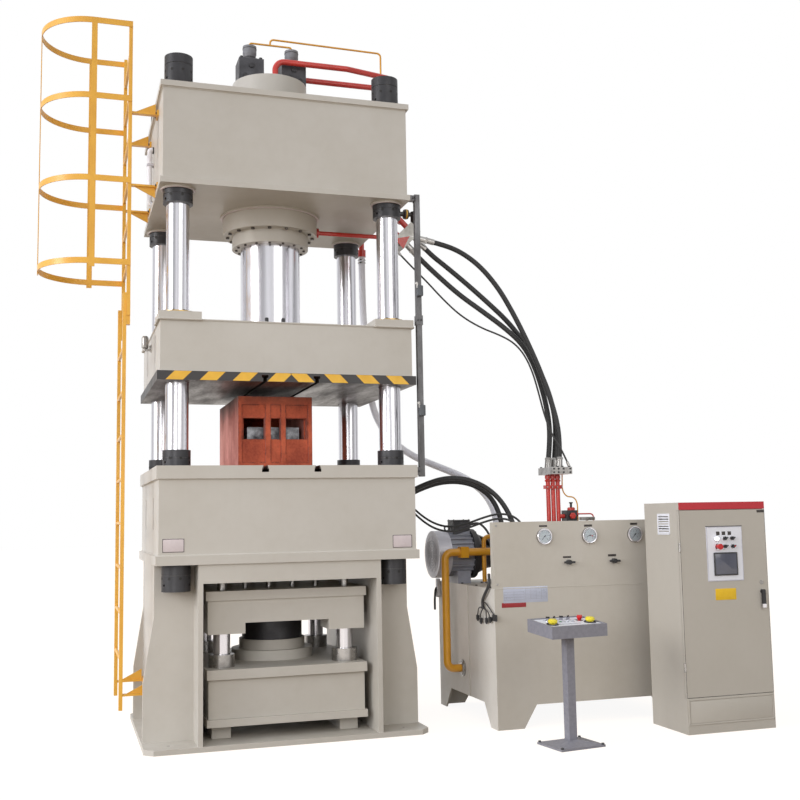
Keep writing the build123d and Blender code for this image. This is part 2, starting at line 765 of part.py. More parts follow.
def pipe(points, radius, bend):
    """Bent pipe along straight runs with equal bends."""
    path = FilletPolyline(*points, radius=bend)
    start = Vector(*points[0])
    section = Plane(origin=start, z_dir=Vector(*points[1]) - start) * Circle(radius)
    return sweep(section, path=path)


def at_columns(make):
    """One solid at each of the four columns."""
    return [make(x * COLUMN_HALF_X, y * COLUMN_HALF_Y) for x, y in CORNERS]


def t_slot(x, half_y, face, down):
    """T-slot cutter along Y, open at a face and going down (1) or up (-1) from it."""
    neck_end = face - down * T_NECK_DEPTH
    head_end = neck_end - down * T_HEAD_DEPTH
    neck = slab(x - T_NECK_WIDTH / 2, x + T_NECK_WIDTH / 2, -half_y, half_y, *sorted((neck_end, face)))
    head = slab(x - T_HEAD_WIDTH / 2, x + T_HEAD_WIDTH / 2, -half_y, half_y, *sorted((head_end, neck_end)))
    return neck + head


def side_slots(half_x, wall, middle, length):
    """Cutters for the two upright slots in each side wall."""
    cutters = []
    for x, y in CORNERS:
        outside = x * (half_x + 1)
        inside = x * (half_x - wall - 1)
        edges = sorted((inside, outside))
        y0 = y * SIDE_SLOT_Y - SIDE_SLOT_WIDTH / 2
        slot = slab(*edges, y0, y0 + SIDE_SLOT_WIDTH, middle - length / 2, middle + length / 2)
        cutters.append(slot)
    return cutters


def column_nut(x, y, z0, height, radius, groove_at):
    """Round nut with a groove and two spanner holes."""
    inner = COLUMN_RADIUS + SLIP
    groove = z0 + groove_at * height
    profile = [(inner, z0), (radius, z0), (radius, groove), (radius - NUT_GROOVE_DEPTH, groove),
               (radius - NUT_GROOVE_DEPTH, groove + NUT_GROOVE), (radius, groove + NUT_GROOVE),
               (radius, z0 + height), (inner, z0 + height)]
    nut = turned(x, y, profile)
    level = z0 + SPANNER_HOLE_AT * height
    for turn in SPANNER_HOLE_TURNS:
        angle = math.radians(turn)
        outer = (x + (radius + 1) * math.cos(angle), y + (radius + 1) * math.sin(angle), level)
        deep = radius - SPANNER_HOLE_DEPTH
        bottom = (x + deep * math.cos(angle), y + deep * math.sin(angle), level)
        nut -= rod_between(outer, bottom, SPANNER_HOLE_RADIUS)
    return nut


def columns():
    """Four ground columns."""
    return Compound(at_columns(lambda x, y: rod(x, y, COLUMN_BOTTOM, COLUMN_TOP, COLUMN_RADIUS)))


def column_nuts():
    """Nuts over and under the crown, and over and under the bolster, on each column."""
    nuts = []
    for x, y in CORNERS:
        at = (x * COLUMN_HALF_X, y * COLUMN_HALF_Y)
        nuts.append(column_nut(*at, CROWN_TOP, CROWN_NUT_HEIGHT, CROWN_NUT_RADIUS,
                               CROWN_NUT_GROOVE_AT))
        under_crown = PAD_FACE - UNDER_CROWN_NUT_HEIGHT
        nuts.append(column_nut(*at, under_crown, UNDER_CROWN_NUT_HEIGHT, UNDER_CROWN_NUT_RADIUS,
                               NUT_GROOVE_AT))
        nuts.append(column_nut(*at, BOLSTER_TOP, BOLSTER_NUT_HEIGHT, BOLSTER_NUT_RADIUS,
                               BOLSTER_NUT_GROOVE_AT))
        nuts.append(column_nut(*at, COLUMN_BOTTOM, FOOT_NUT_HEIGHT, FOOT_NUT_RADIUS, NUT_GROOVE_AT))
    return Compound(nuts)


def base_frame():
    """Foot plate with two box legs, front and rear skirts and the pads of the cushion beam."""
    foot = centred_slab(FOOT_LENGTH / 2, FOOT_WIDTH / 2, 0, FOOT_THICK)
    foot = chamfer(foot.edges().filter_by(Axis.Z), FOOT_CORNER)
    inner_outside = LEG_INNER_HALF + LEG_INNER_WALL
    leg = slab(LEG_INNER_HALF, inner_outside, -LEG_HALF_DEPTH, LEG_HALF_DEPTH, FOOT_THICK, BASE_HEIGHT)
    panel_outline = [(inner_outside, FOOT_THICK), (LEG_FOOT_HALF, FOOT_THICK),
                     (LEG_FOOT_HALF, LEG_TAPER_BOTTOM), (LEG_TOP_HALF, LEG_TAPER_TOP),
                     (LEG_TOP_HALF, BASE_HEIGHT), (inner_outside, BASE_HEIGHT)]
    behind = LEG_PANEL_FACE_Y - LEG_PANEL_THICK
    leg += prism_xz(panel_outline, -LEG_PANEL_FACE_Y, -behind)
    leg += prism_xz(panel_outline, behind, LEG_PANEL_FACE_Y)
    leg += slab(LEG_TOP_HALF - LEG_PANEL_THICK, LEG_TOP_HALF, -behind, behind, FOOT_THICK, BASE_HEIGHT)
    leg += slab(BEAM_PAD_HALF_X - BEAM_PAD_WIDTH / 2, BEAM_PAD_HALF_X + BEAM_PAD_WIDTH / 2,
                -BEAM_PAD_HALF_Y, BEAM_PAD_HALF_Y, FOOT_THICK, BEAM_BOTTOM)
    frame = foot + both_sides(leg)
    skirt_back = LEG_HALF_DEPTH - SKIRT_THICK
    for y0 in (-LEG_HALF_DEPTH, skirt_back):
        frame += slab(-LEG_INNER_HALF, LEG_INNER_HALF, y0, y0 + SKIRT_THICK,
                      BASE_HEIGHT - SKIRT_HEIGHT, BASE_HEIGHT)
    for x, y in CORNERS:
        frame -= rod(x * ANCHOR_HALF_X, y * ANCHOR_HALF_Y, -1, FOOT_THICK + 1, ANCHOR_HOLE_RADIUS)
    return frame


def hollow_box(half_x, half_y, z0, z1, wall):
    """Four walls without top or bottom."""
    return centred_slab(half_x, half_y, z0, z1) - centred_slab(half_x - wall, half_y - wall, z0, z1)


def cushion_holes(z0, z1):
    """Cutters for the studs and pins that come up through the bolster."""
    cutters = [rod(x * STUD_HALF_X, y * STUD_HALF_Y, z0, z1, STUD_RADIUS + PIN_HOLE_SLIP)
               for x, y in CORNERS]
    cutters += [rod(x, y, z0, z1, PIN_RADIUS + PIN_HOLE_SLIP) for x, y in pin_places()]
    return cutters


def pin_places():
    """Places of the cushion pins, in a front and a rear row."""
    steps = (-1.5, -0.5, 0.5, 1.5)
    return [(step * PIN_PITCH, y * PIN_ROW_Y) for y in (-1, 1) for step in steps]


def bolster():
    """Bolster: flanged box with a T-slotted plate on top."""
    body = centred_slab(BOLSTER_FLANGE_HALF_X, BOLSTER_HALF_Y, BOLSTER_BOTTOM, BOLSTER_BOX_BOTTOM)
    body += hollow_box(BOLSTER_BOX_HALF_X, BOLSTER_BOX_HALF_Y, BOLSTER_BOX_BOTTOM, BOLSTER_BOX_TOP, WALL)
    for x in (-RIB_X, RIB_X):
        body += slab(x - RIB_THICK / 2, x + RIB_THICK / 2, -BOLSTER_BOX_HALF_Y + WALL,
                     BOLSTER_BOX_HALF_Y - WALL, BOLSTER_BOX_BOTTOM, BOLSTER_BOX_TOP)
    body += at_columns(lambda x, y: rod(x, y, BOLSTER_BOX_BOTTOM, BOLSTER_BOX_TOP,
                                        COLUMN_RADIUS + COLUMN_TUBE_WALL))
    body += centred_slab(BOLSTER_PLATE_HALF_X, BOLSTER_HALF_Y, BOLSTER_BOX_TOP, BOLSTER_TOP)
    body -= at_columns(lambda x, y: rod(x, y, BOLSTER_BOTTOM, BOLSTER_TOP, COLUMN_RADIUS + SLIP))
    body -= [t_slot(x, BOLSTER_HALF_Y, BOLSTER_TOP, 1) for x in (-T_SLOT_X, T_SLOT_X)]
    body -= side_slots(BOLSTER_BOX_HALF_X, WALL, BOLSTER_SLOT_MIDDLE, BOLSTER_SLOT_LENGTH)
    body -= cushion_holes(BOLSTER_BOTTOM, BOLSTER_TOP)
    return body


def crown():
    """Crown: flanged box with column tubes and a middle tube for the cylinder."""
    body = centred_slab(CROWN_FLANGE_HALF_X, CROWN_FLANGE_HALF_Y, CROWN_BOTTOM, CROWN_BOX_BOTTOM)
    body += hollow_box(CROWN_BOX_HALF_X, CROWN_BOX_HALF_Y, CROWN_BOX_BOTTOM, CROWN_BOX_TOP, CROWN_WALL)
    body += centred_slab(CROWN_FLANGE_HALF_X, CROWN_FLANGE_HALF_Y, CROWN_BOX_TOP, CROWN_TOP)
    body += at_columns(lambda x, y: rod(x, y, CROWN_BOX_BOTTOM, CROWN_BOX_TOP,
                                        COLUMN_RADIUS + COLUMN_TUBE_WALL))
    body += rod(0, 0, CROWN_BOX_BOTTOM, CROWN_BOX_TOP, NECK_RADIUS + SLIP + CENTRE_TUBE_WALL)
    body += at_columns(lambda x, y: rod(x, y, PAD_FACE, CROWN_BOTTOM, NUT_PAD_RADIUS))
    body += rod(0, 0, PAD_FACE, CROWN_BOTTOM, CYLINDER_PAD_RADIUS)
    body -= at_columns(lambda x, y: rod(x, y, PAD_FACE, CROWN_TOP, COLUMN_RADIUS + SLIP))
    body -= rod(0, 0, PAD_FACE, CROWN_TOP, NECK_RADIUS + SLIP)
    body -= side_slots(CROWN_BOX_HALF_X, CROWN_WALL, CROWN_SLOT_MIDDLE, CROWN_SLOT_LENGTH)
    return body


def bolt_ring(circle, radius, z0, z1):
    """Ring of hexagon heads on a bolt circle."""
    heads = []
    for index in range(BOLT_COUNT):
        angle = 2 * math.pi * (index + 0.5) / BOLT_COUNT
        heads.append(hex_bar(circle * math.cos(angle), circle * math.sin(angle), z0, z1, radius))
    return heads


def main_cylinder():
    """Cylinder with a flange under the crown, its neck through the crown and a closed top."""
    profile = [(CYLINDER_BORE_RADIUS, FLANGE_FACE), (CYLINDER_FLANGE_RADIUS, FLANGE_FACE),
               (CYLINDER_FLANGE_RADIUS, PAD_FACE), (NECK_RADIUS, PAD_FACE), (NECK_RADIUS, CYLINDER_TOP),
               (0, CYLINDER_TOP), (0, BORE_TOP), (CYLINDER_BORE_RADIUS, BORE_TOP)]
    body = turned(0, 0, profile)
    body += bolt_ring(FLANGE_BOLT_CIRCLE, FLANGE_BOLT_RADIUS, FLANGE_FACE - FLANGE_BOLT_HEIGHT, FLANGE_FACE)
    body -= rod_x(CYLINDER_BORE_RADIUS - PORT_RADIUS, CYLINDER_FLANGE_RADIUS + 1, 0, ring_port_z(),
                  PORT_RADIUS)
    for x in PREFILL_X:
        body -= rod(x, 0, BORE_TOP - 1, CYLINDER_TOP + 1, PREFILL_OPENING_RADIUS)
    return body


def ring_port_z():
    """Level of the port in the cylinder flange."""
    return FLANGE_FACE + RING_PORT_SHARE * CYLINDER_FLANGE


def gland_ring():
    """Gland ring bolted under the cylinder flange, round the ram."""
    inner = RAM_RADIUS + GUIDE_SLIP
    ring = rod(0, 0, GLAND_FACE, FLANGE_FACE, GLAND_RADIUS) - rod(0, 0, GLAND_FACE, FLANGE_FACE, inner)
    ring += bolt_ring(GLAND_BOLT_CIRCLE, GLAND_BOLT_RADIUS, GLAND_FACE - GLAND_BOLT_HEIGHT, GLAND_FACE)
    return ring


def main_ram():
    """Ram standing on the slide, with its piston in the cylinder bore."""
    ram = rod(0, 0, SLIDE_TOP, RAM_TOP, RAM_RADIUS)
    return ram + rod(0, 0, RAM_TOP - PISTON_HEIGHT, RAM_TOP, CYLINDER_BORE_RADIUS - SLIP)


def slide():
    """Slide: hollow box with column tubes, a middle tube and four corner pads."""
    body = hollow_box(SLIDE_BOX_HALF_X, SLIDE_BOX_HALF_Y, SLIDE_BOTTOM, SLIDE_TOP - WALL, WALL)
    body += centred_slab(SLIDE_BOX_HALF_X, SLIDE_BOX_HALF_Y, SLIDE_TOP - WALL, SLIDE_TOP)
    body += at_columns(lambda x, y: rod(x, y, SLIDE_BOTTOM, SLIDE_TOP, BUSH_RADIUS + SLIP + RIB_THICK))
    body += rod(0, 0, SLIDE_BOTTOM, SLIDE_TOP, RAM_RADIUS) - rod(0, 0, SLIDE_BOTTOM, SLIDE_TOP - WALL,
                                                                 RAM_RADIUS - WALL)
    for x, y in CORNERS:
        edge_x = sorted((x * SLIDE_PAD_HALF_X, x * (SLIDE_PAD_HALF_X - SLIDE_PAD_SIZE)))
        edge_y = sorted((y * SLIDE_PAD_HALF_Y, y * (SLIDE_PAD_HALF_Y - SLIDE_PAD_SIZE)))
        body += slab(*edge_x, *edge_y, SLIDE_TOP, SLIDE_PAD_TOP)
    body -= at_columns(lambda x, y: rod(x, y, SLIDE_BOTTOM, SLIDE_PAD_TOP, BUSH_RADIUS + SLIP))
    body -= side_slots(SLIDE_BOX_HALF_X, WALL, SLIDE_SLOT_MIDDLE, SLIDE_SLOT_LENGTH)
    return body


def slide_face_plate():
    """Plate under the slide, with T-slots on its lower face."""
    plate = centred_slab(SLIDE_FACE_HALF_X, SLIDE_FACE_HALF_Y, SLIDE_FACE, SLIDE_BOTTOM)
    plate -= [t_slot(x, SLIDE_FACE_HALF_Y, SLIDE_FACE, -1) for x in (-T_SLOT_X, T_SLOT_X)]
    plate -= at_columns(lambda x, y: rod(x, y, SLIDE_FACE, SLIDE_BOTTOM, COLUMN_RADIUS + FACE_HOLE_SLIP))
    return plate


def guide_bushes():
    """Flanged bushes that guide the slide on the columns."""
    inner = COLUMN_RADIUS + GUIDE_SLIP
    top = SLIDE_PAD_TOP + BUSH_FLANGE
    profile = [(inner, SLIDE_BOTTOM), (BUSH_RADIUS, SLIDE_BOTTOM), (BUSH_RADIUS, SLIDE_PAD_TOP),
               (BUSH_FLANGE_RADIUS, SLIDE_PAD_TOP), (BUSH_FLANGE_RADIUS, top), (inner, top)]
    return Compound(at_columns(lambda x, y: turned(x, y, profile)))


def oil_cup():
    """Drip oiler on the slide's left wall: elbow, glass cup and cap."""
    centre = -SLIDE_BOX_HALF_X - OIL_CUP_REACH
    bottom = OIL_CUP_Z - OIL_CUP_HEIGHT / 2
    top = OIL_CUP_Z + OIL_CUP_HEIGHT / 2
    neck_end = bottom - OIL_CUP_NECK_END
    profile = [(0, neck_end), (OIL_CUP_NECK, neck_end), (OIL_CUP_NECK, bottom - OIL_CUP_NECK_TOP),
               (OIL_CUP_RADIUS, bottom), (OIL_CUP_RADIUS, top), (OIL_CUP_CAP_RADIUS, top + OIL_CUP_CAP),
               (0, top + OIL_CUP_CAP)]
    cup = turned(centre, 0, profile)
    return cup + rod_x(centre, -SLIDE_BOX_HALF_X, 0, bottom - OIL_CUP_ELBOW, OIL_CUP_ELBOW_RADIUS)


def die_block():
    """Cast die frame with three windows and upright ribs, front and rear."""
    top = BOLSTER_TOP + DIE_HEIGHT
    front = DIE_FRONT + DIE_RAISED
    back = DIE_BACK - DIE_RAISED
    die = slab(DIE_LEFT, DIE_RIGHT, front, back, BOLSTER_TOP, top)
    lip = BOLSTER_TOP + DIE_LIP
    head = top - DIE_HEAD
    for y0, y1 in ((DIE_FRONT, front), (back, DIE_BACK)):
        die += slab(DIE_LEFT, DIE_RIGHT, y0, y1, BOLSTER_TOP, lip)
        die += slab(DIE_LEFT, DIE_RIGHT, y0, y1, head, top)
        for x0, x1 in DIE_RIBS:
            die += slab(x0, x1, y0, y1, lip, head)
    die -= slab(DIE_LEFT + DIE_WALL, DIE_RIGHT - DIE_WALL, front + DIE_WALL, back - DIE_WALL, lip, head)
    for x0, x1 in DIE_WINDOWS:
        z0 = BOLSTER_TOP + DIE_WINDOW_BOTTOM
        inside = front + DIE_WALL + 1
        die -= slab(x0, x1, front - 1, inside, z0, z0 + DIE_WINDOW_HEIGHT)
        die -= slab(x0, x1, back - DIE_WALL - 1, back + 1, z0, z0 + DIE_WINDOW_HEIGHT)
    return die


def die_insert():
    """Rough steel block that stands inside the die."""
    inset = DIE_WALL + INSERT_INSET
    bottom = BOLSTER_TOP + DIE_LIP
    return slab(DIE_LEFT + inset, DIE_RIGHT - inset, DIE_FRONT + DIE_RAISED + inset,
                DIE_BACK - DIE_RAISED - inset, bottom, bottom + INSERT_HEIGHT)


def cushion_beam():
    """Flanged box beam that carries the cushion cylinder."""
    body = centred_slab(BEAM_HALF_X, BEAM_HALF_Y, BEAM_BOTTOM, BEAM_BOX_BOTTOM)
    body += hollow_box(BEAM_BOX_HALF_X, BEAM_HALF_Y - BEAM_WALL, BEAM_BOX_BOTTOM, BEAM_BOX_TOP, BEAM_WALL)
    body += centred_slab(BEAM_HALF_X, BEAM_HALF_Y, BEAM_BOX_TOP, BEAM_TOP)
    middle = CUSHION_BODY_RADIUS + BEAM_WALL
    body += rod(0, 0, BEAM_BOX_BOTTOM, BEAM_BOX_TOP, middle)
    body -= rod(0, 0, BEAM_BOX_BOTTOM, BEAM_TOP, CUSHION_BODY_RADIUS + SLIP)
    return body


def cushion_posts():
    """Four guide posts of the cushion."""
    return Compound([rod(x * POST_HALF_X, y * POST_HALF_Y, BEAM_TOP, POST_TOP, POST_RADIUS)
                     for x, y in CORNERS])


def cushion_post_nuts():
    """Round nuts at the foot of the guide posts."""
    nuts = []
    for x, y in CORNERS:
        at = (x * POST_HALF_X, y * POST_HALF_Y, BEAM_TOP, BEAM_TOP + POST_NUT_HEIGHT)
        nuts.append(rod(*at, POST_NUT_RADIUS) - rod(*at, POST_RADIUS + SLIP))
    return Compound(nuts)


def cushion_cylinder():
    """Cushion cylinder, flanged on the beam and hanging into it."""
    bottom = CUSHION_TOP - CUSHION_BORE_DEPTH - WALL
    profile = [(0, bottom), (CUSHION_BODY_RADIUS, bottom), (CUSHION_BODY_RADIUS, BEAM_TOP),
               (CUSHION_FLANGE_RADIUS, BEAM_TOP), (CUSHION_FLANGE_RADIUS, CUSHION_BODY_BOTTOM),
               (CUSHION_BODY_RADIUS, CUSHION_BODY_BOTTOM), (CUSHION_BODY_RADIUS, CUSHION_TOP),
               (CUSHION_RAM_RADIUS + GUIDE_SLIP, CUSHION_TOP),
               (CUSHION_RAM_RADIUS + GUIDE_SLIP, bottom + WALL), (0, bottom + WALL)]
    return turned(0, 0, profile)


def cushion_ram():
    """Ram that lifts the cushion platen."""
    bottom = CUSHION_TOP - CUSHION_BORE_DEPTH + CUSHION_RAM_SEATED
    return rod(0, 0, bottom, PLATEN_BOX_BOTTOM, CUSHION_RAM_RADIUS)


def cushion_platen():
    """Cushion platen: ribbed box with guide pads that run on the posts."""
    body = centred_slab(PLATEN_PLATE_HALF_X, PLATEN_PLATE_HALF_Y, PLATEN_BOX_TOP, PLATEN_TOP)
    body += hollow_box(PLATEN_BOX_HALF_X, PLATEN_BOX_HALF_Y, PLATEN_BOX_BOTTOM, PLATEN_BOX_TOP, PLATEN_WALL)
    body += rod(0, 0, PLATEN_BOX_BOTTOM, PLATEN_BOX_TOP, CUSHION_RAM_RADIUS)
    for x, y in CORNERS:
        edge_x = sorted((x * PLATEN_BOX_HALF_X, x * (PLATEN_BOX_HALF_X - PLATEN_PAD)))
        edge_y = sorted((y * PLATEN_BOX_HALF_Y, y * (PLATEN_BOX_HALF_Y - PLATEN_PAD)))
        body += slab(*edge_x, *edge_y, PLATEN_BOX_BOTTOM - PLATEN_PAD_HEIGHT, PLATEN_BOX_TOP)
    for x, y in CORNERS:
        body -= rod(x * POST_HALF_X, y * POST_HALF_Y, PLATEN_BOX_BOTTOM - PLATEN_PAD_HEIGHT,
                    PLATEN_BOX_TOP, POST_RADIUS + GUIDE_SLIP)
    return body


def cushion_pins():
    """Four studs and two rows of pins on the cushion platen."""
    pins = [rod(x * STUD_HALF_X, y * STUD_HALF_Y, PLATEN_TOP, PLATEN_TOP + STUD_LENGTH, STUD_RADIUS)
            for x, y in CORNERS]
    pins += [rod(x, y, PLATEN_TOP, PLATEN_TOP + PIN_LENGTH, PIN_RADIUS) for x, y in pin_places()]
    return Compound(pins)


def ladder_sides(x, bottom, top, first_rung, count):
    """Two stiles and the rungs welded between their inner faces, each its own solid."""
    stiles = [slab(x - STILE_THICK / 2, x + STILE_THICK / 2, y - STILE_WIDTH / 2, y + STILE_WIDTH / 2,
                   bottom, top) for y in STILE_YS]
    rung_start = STILE_YS[0] + STILE_WIDTH / 2
    rung_end = STILE_YS[1] - STILE_WIDTH / 2
    rungs = [rod_y(rung_start, rung_end, x, first_rung + index * RUNG_PITCH, RUNG_RADIUS)
             for index in range(count)]
    return stiles + rungs


def wall_bracket(y, level, wall_x, stile_x, gusset):
    """Arm from a wall to a ladder stile, with a wall plate and a gusset above or below."""
    x0 = stile_x + STILE_THICK / 2
    arm = slab(x0, wall_x, y - BRACKET_WIDTH / 2, y + BRACKET_WIDTH / 2, level - BRACKET_ARM / 2,
               level + BRACKET_ARM / 2)
    arm += slab(wall_x - BRACKET_PLATE, wall_x, y - BRACKET_PLATE_WIDTH / 2,
                y + BRACKET_PLATE_WIDTH / 2, level - BRACKET_WIDTH / 2, level + BRACKET_WIDTH / 2)
    edge = level + gusset * BRACKET_ARM / 2
    foot = wall_x - BRACKET_PLATE - GUSSET_BACK
    outline = [(foot, edge), (foot - GUSSET_REACH, edge), (foot, edge + gusset * GUSSET)]
    return arm + prism_xz(outline, y - GUSSET_THICK / 2, y + GUSSET_THICK / 2)


def ladder_upper():
    """Upper ladder length on four crown brackets, with the latch of the lower length."""
    first = FIRST_RUNG + LOWER_RUNGS * RUNG_PITCH
    ladder = ladder_sides(LADDER_X, UPPER_LADDER_BOTTOM, UPPER_LADDER_TOP, first, UPPER_RUNGS)
    for y in STILE_YS:
        ladder.append(wall_bracket(y, LADDER_BRACKET_HIGH, -CROWN_BOX_HALF_X, LADDER_X, 1))
        ladder.append(wall_bracket(y, LADDER_BRACKET_LOW, -CROWN_BOX_HALF_X, LADDER_X, -1))
    near = STILE_YS[0] - STILE_WIDTH / 2
    latch_top = LOWER_LADDER_TOP - LATCH_DROP
    ladder.append(slab(LADDER_X - STILE_THICK / 2, LADDER_X + STILE_THICK / 2, near - GUSSET_THICK, near,
                       latch_top - LATCH_LENGTH, latch_top))
    return Compound(ladder)


def ladder_lower():
    """Lower ladder length, hooked behind the upper one and bracketed to the leg."""
    ladder = ladder_sides(LADDER_LOWER_X, LOWER_LADDER_BOTTOM, LOWER_LADDER_TOP, FIRST_RUNG, LOWER_RUNGS)
    for y in STILE_YS:
        ladder.append(wall_bracket(y, LADDER_FOOT_BRACKET, -LEG_TOP_HALF, LADDER_LOWER_X, 1))
    return Compound(ladder)


def cage_hoop(level):
    """Flat bar hoop: straight sides and a half round back."""
    outer = LADDER_WIDTH / 2 + STILE_WIDTH / 2 + HOOP_THICK
    front = LADDER_X + STILE_THICK / 2
    middle = front - HOOP_STRAIGHT
    hoop = Plane.XY.offset(level - HOOP_BAR / 2) * hoop_outline(front, middle, outer)
    hole = Plane.XY.offset(level - HOOP_BAR / 2) * hoop_outline(front, middle, outer - HOOP_THICK)
    return extrude(hoop, amount=HOOP_BAR) - extrude(hole, amount=HOOP_BAR)


def hoop_outline(front, middle, radius):
    """Rectangle with a half circle at its left end."""
    near = LADDER_MIDDLE_Y - radius
    far = LADDER_MIDDLE_Y + radius
    sides = Polyline((middle, near), (front, near), (front, far), (middle, far))
    back = ThreePointArc((middle, far), (middle - radius, LADDER_MIDDLE_Y), (middle, near))
    return make_face([*sides.edges(), back.edge()])


def ladder_cage():
    """Safety cage: four hoops joined by three upright straps."""
    cage = cage_hoop(HOOP_LEVELS[0])
    for level in HOOP_LEVELS[1:]:
        cage += cage_hoop(level)
    outer = LADDER_WIDTH / 2 + STILE_WIDTH / 2 + HOOP_THICK
    middle = LADDER_X + STILE_THICK / 2 - HOOP_STRAIGHT
    bottom = HOOP_LEVELS[0] - HOOP_BAR
    top = HOOP_LEVELS[-1] + HOOP_BAR / 2
    half = STRAP_WIDTH / 2
    cage += slab(middle - outer, middle - outer + HOOP_THICK, LADDER_MIDDLE_Y - half,
                 LADDER_MIDDLE_Y + half, bottom, top)
    for side in (-1, 1):
        edges = sorted((LADDER_MIDDLE_Y + side * outer, LADDER_MIDDLE_Y + side * (outer - HOOP_THICK)))
        cage += slab(middle - half, middle + half, *edges, bottom, top)
    return cage


def switch_rail():
    """Square tube for the travel switches, bracketed to the bolster and the crown."""
    bottom = BOLSTER_TOP - RAIL_BELOW_PLATE
    top = CROWN_BOTTOM + RAIL_ABOVE_CROWN_FOOT
    half = RAIL_SIZE / 2
    rail = slab(RAIL_X - half, RAIL_X + half, RAIL_Y - half, RAIL_Y + half, bottom, top)
    joint = RAIL_JOINT_SIZE / 2
    rail += slab(RAIL_X - joint, RAIL_X + joint, RAIL_Y - joint, RAIL_Y + joint,
                 RAIL_JOINT_Z - RAIL_JOINT_HEIGHT / 2, RAIL_JOINT_Z + RAIL_JOINT_HEIGHT / 2)
    inner = half - RAIL_WALL
    rail -= slab(RAIL_X - inner, RAIL_X + inner, RAIL_Y - inner, RAIL_Y + inner, bottom, top)
    y0 = RAIL_Y - RAIL_BRACKET_WIDTH / 2
    y1 = RAIL_Y + RAIL_BRACKET_WIDTH / 2
    rail += slab(CROWN_FLANGE_HALF_X, RAIL_X - half, RAIL_Y - half, y1, CROWN_BOTTOM, CROWN_BOX_BOTTOM)
    rail += slab(BOLSTER_PLATE_HALF_X, RAIL_X - half, y0, y1, BOLSTER_TOP - RAIL_FOOT_BOTTOM,
                 BOLSTER_TOP - RAIL_FOOT_TOP)
    return rail


def prefill_valves():
    """Two prefill valve blocks on the cylinder, each with a cap, screws and a pilot cup."""
    valves = []
    top = CYLINDER_TOP + PREFILL_HEIGHT
    for x in PREFILL_X:
        valve = slab(x - PREFILL_HALF_X, x + PREFILL_HALF_X, -PREFILL_HALF_Y, PREFILL_HALF_Y,
                     CYLINDER_TOP, top)
        profile = [(0, top), (PILOT_STEM_RADIUS, top), (PILOT_CUP_RADIUS, top + PILOT_CONE),
                   (PILOT_CUP_RADIUS, top + PILOT_CONE + PILOT_CUP), (0, top + PILOT_CONE + PILOT_CUP)]
        valve += turned(x, 0, profile)
        for sx, sy in CORNERS:
            valve += rod(x + sx * (PREFILL_HALF_X - PREFILL_SCREW_INSET),
                         sy * (PREFILL_HALF_Y - PREFILL_SCREW_INSET), top, top + PREFILL_SCREW_HEIGHT,
                         PREFILL_SCREW_RADIUS)
        valves.append(valve)
    return Compound(valves)


def manifold_point(along, out, y):
    """Point by the tilted manifold block: along its length, and out of its lower right face."""
    turn = math.radians(MANIFOLD_TILT)
    x = MANIFOLD_X + along * math.cos(turn) + out * math.sin(turn)
    z = MANIFOLD_Z + along * math.sin(turn) - out * math.cos(turn)
    return (x, y, z)


def pilot_tee():
    """Middle of the pilot line's tee on the manifold's lower end."""
    return manifold_point(-MANIFOLD_LENGTH / 2 - PILOT_TEE_OUT, 0, PILOT_ROW)


def pilot_pipe():
    """Thin pipe from both pilot cups over the crown and down to the manifold."""
    cup_top = CYLINDER_TOP + PREFILL_HEIGHT + PILOT_CONE + PILOT_CUP
    left, right = PREFILL_X
    bridge_z = cup_top + BRIDGE_RISE
    bridge = [(left, 0, cup_top), (left, 0, bridge_z), (right, 0, bridge_z), (right, 0, cup_top)]
    lines = pipe(bridge, PILOT_PIPE_RADIUS, BRIDGE_BEND)
    tee_x, tee_y, tee_z = pilot_tee()
    run = [(BRIDGE_MIDDLE_X, 0, bridge_z), (BRIDGE_MIDDLE_X, 0, cup_top + PILOT_CROSS_RISE),
           (PILOT_DOWN_X, PILOT_DOWN_Y, cup_top + PILOT_CROSS_END_RISE),
           (PILOT_DOWN_X, PILOT_DOWN_Y, tee_z + PILOT_JOG_TOP),
           (PILOT_DOWN_X, tee_y, tee_z + PILOT_JOG_BOTTOM), (PILOT_DOWN_X, tee_y, tee_z),
           (tee_x - PILOT_BOSS, tee_y, tee_z)]
    return lines + pipe(run, PILOT_PIPE_RADIUS, PILOT_PIPE_BEND)


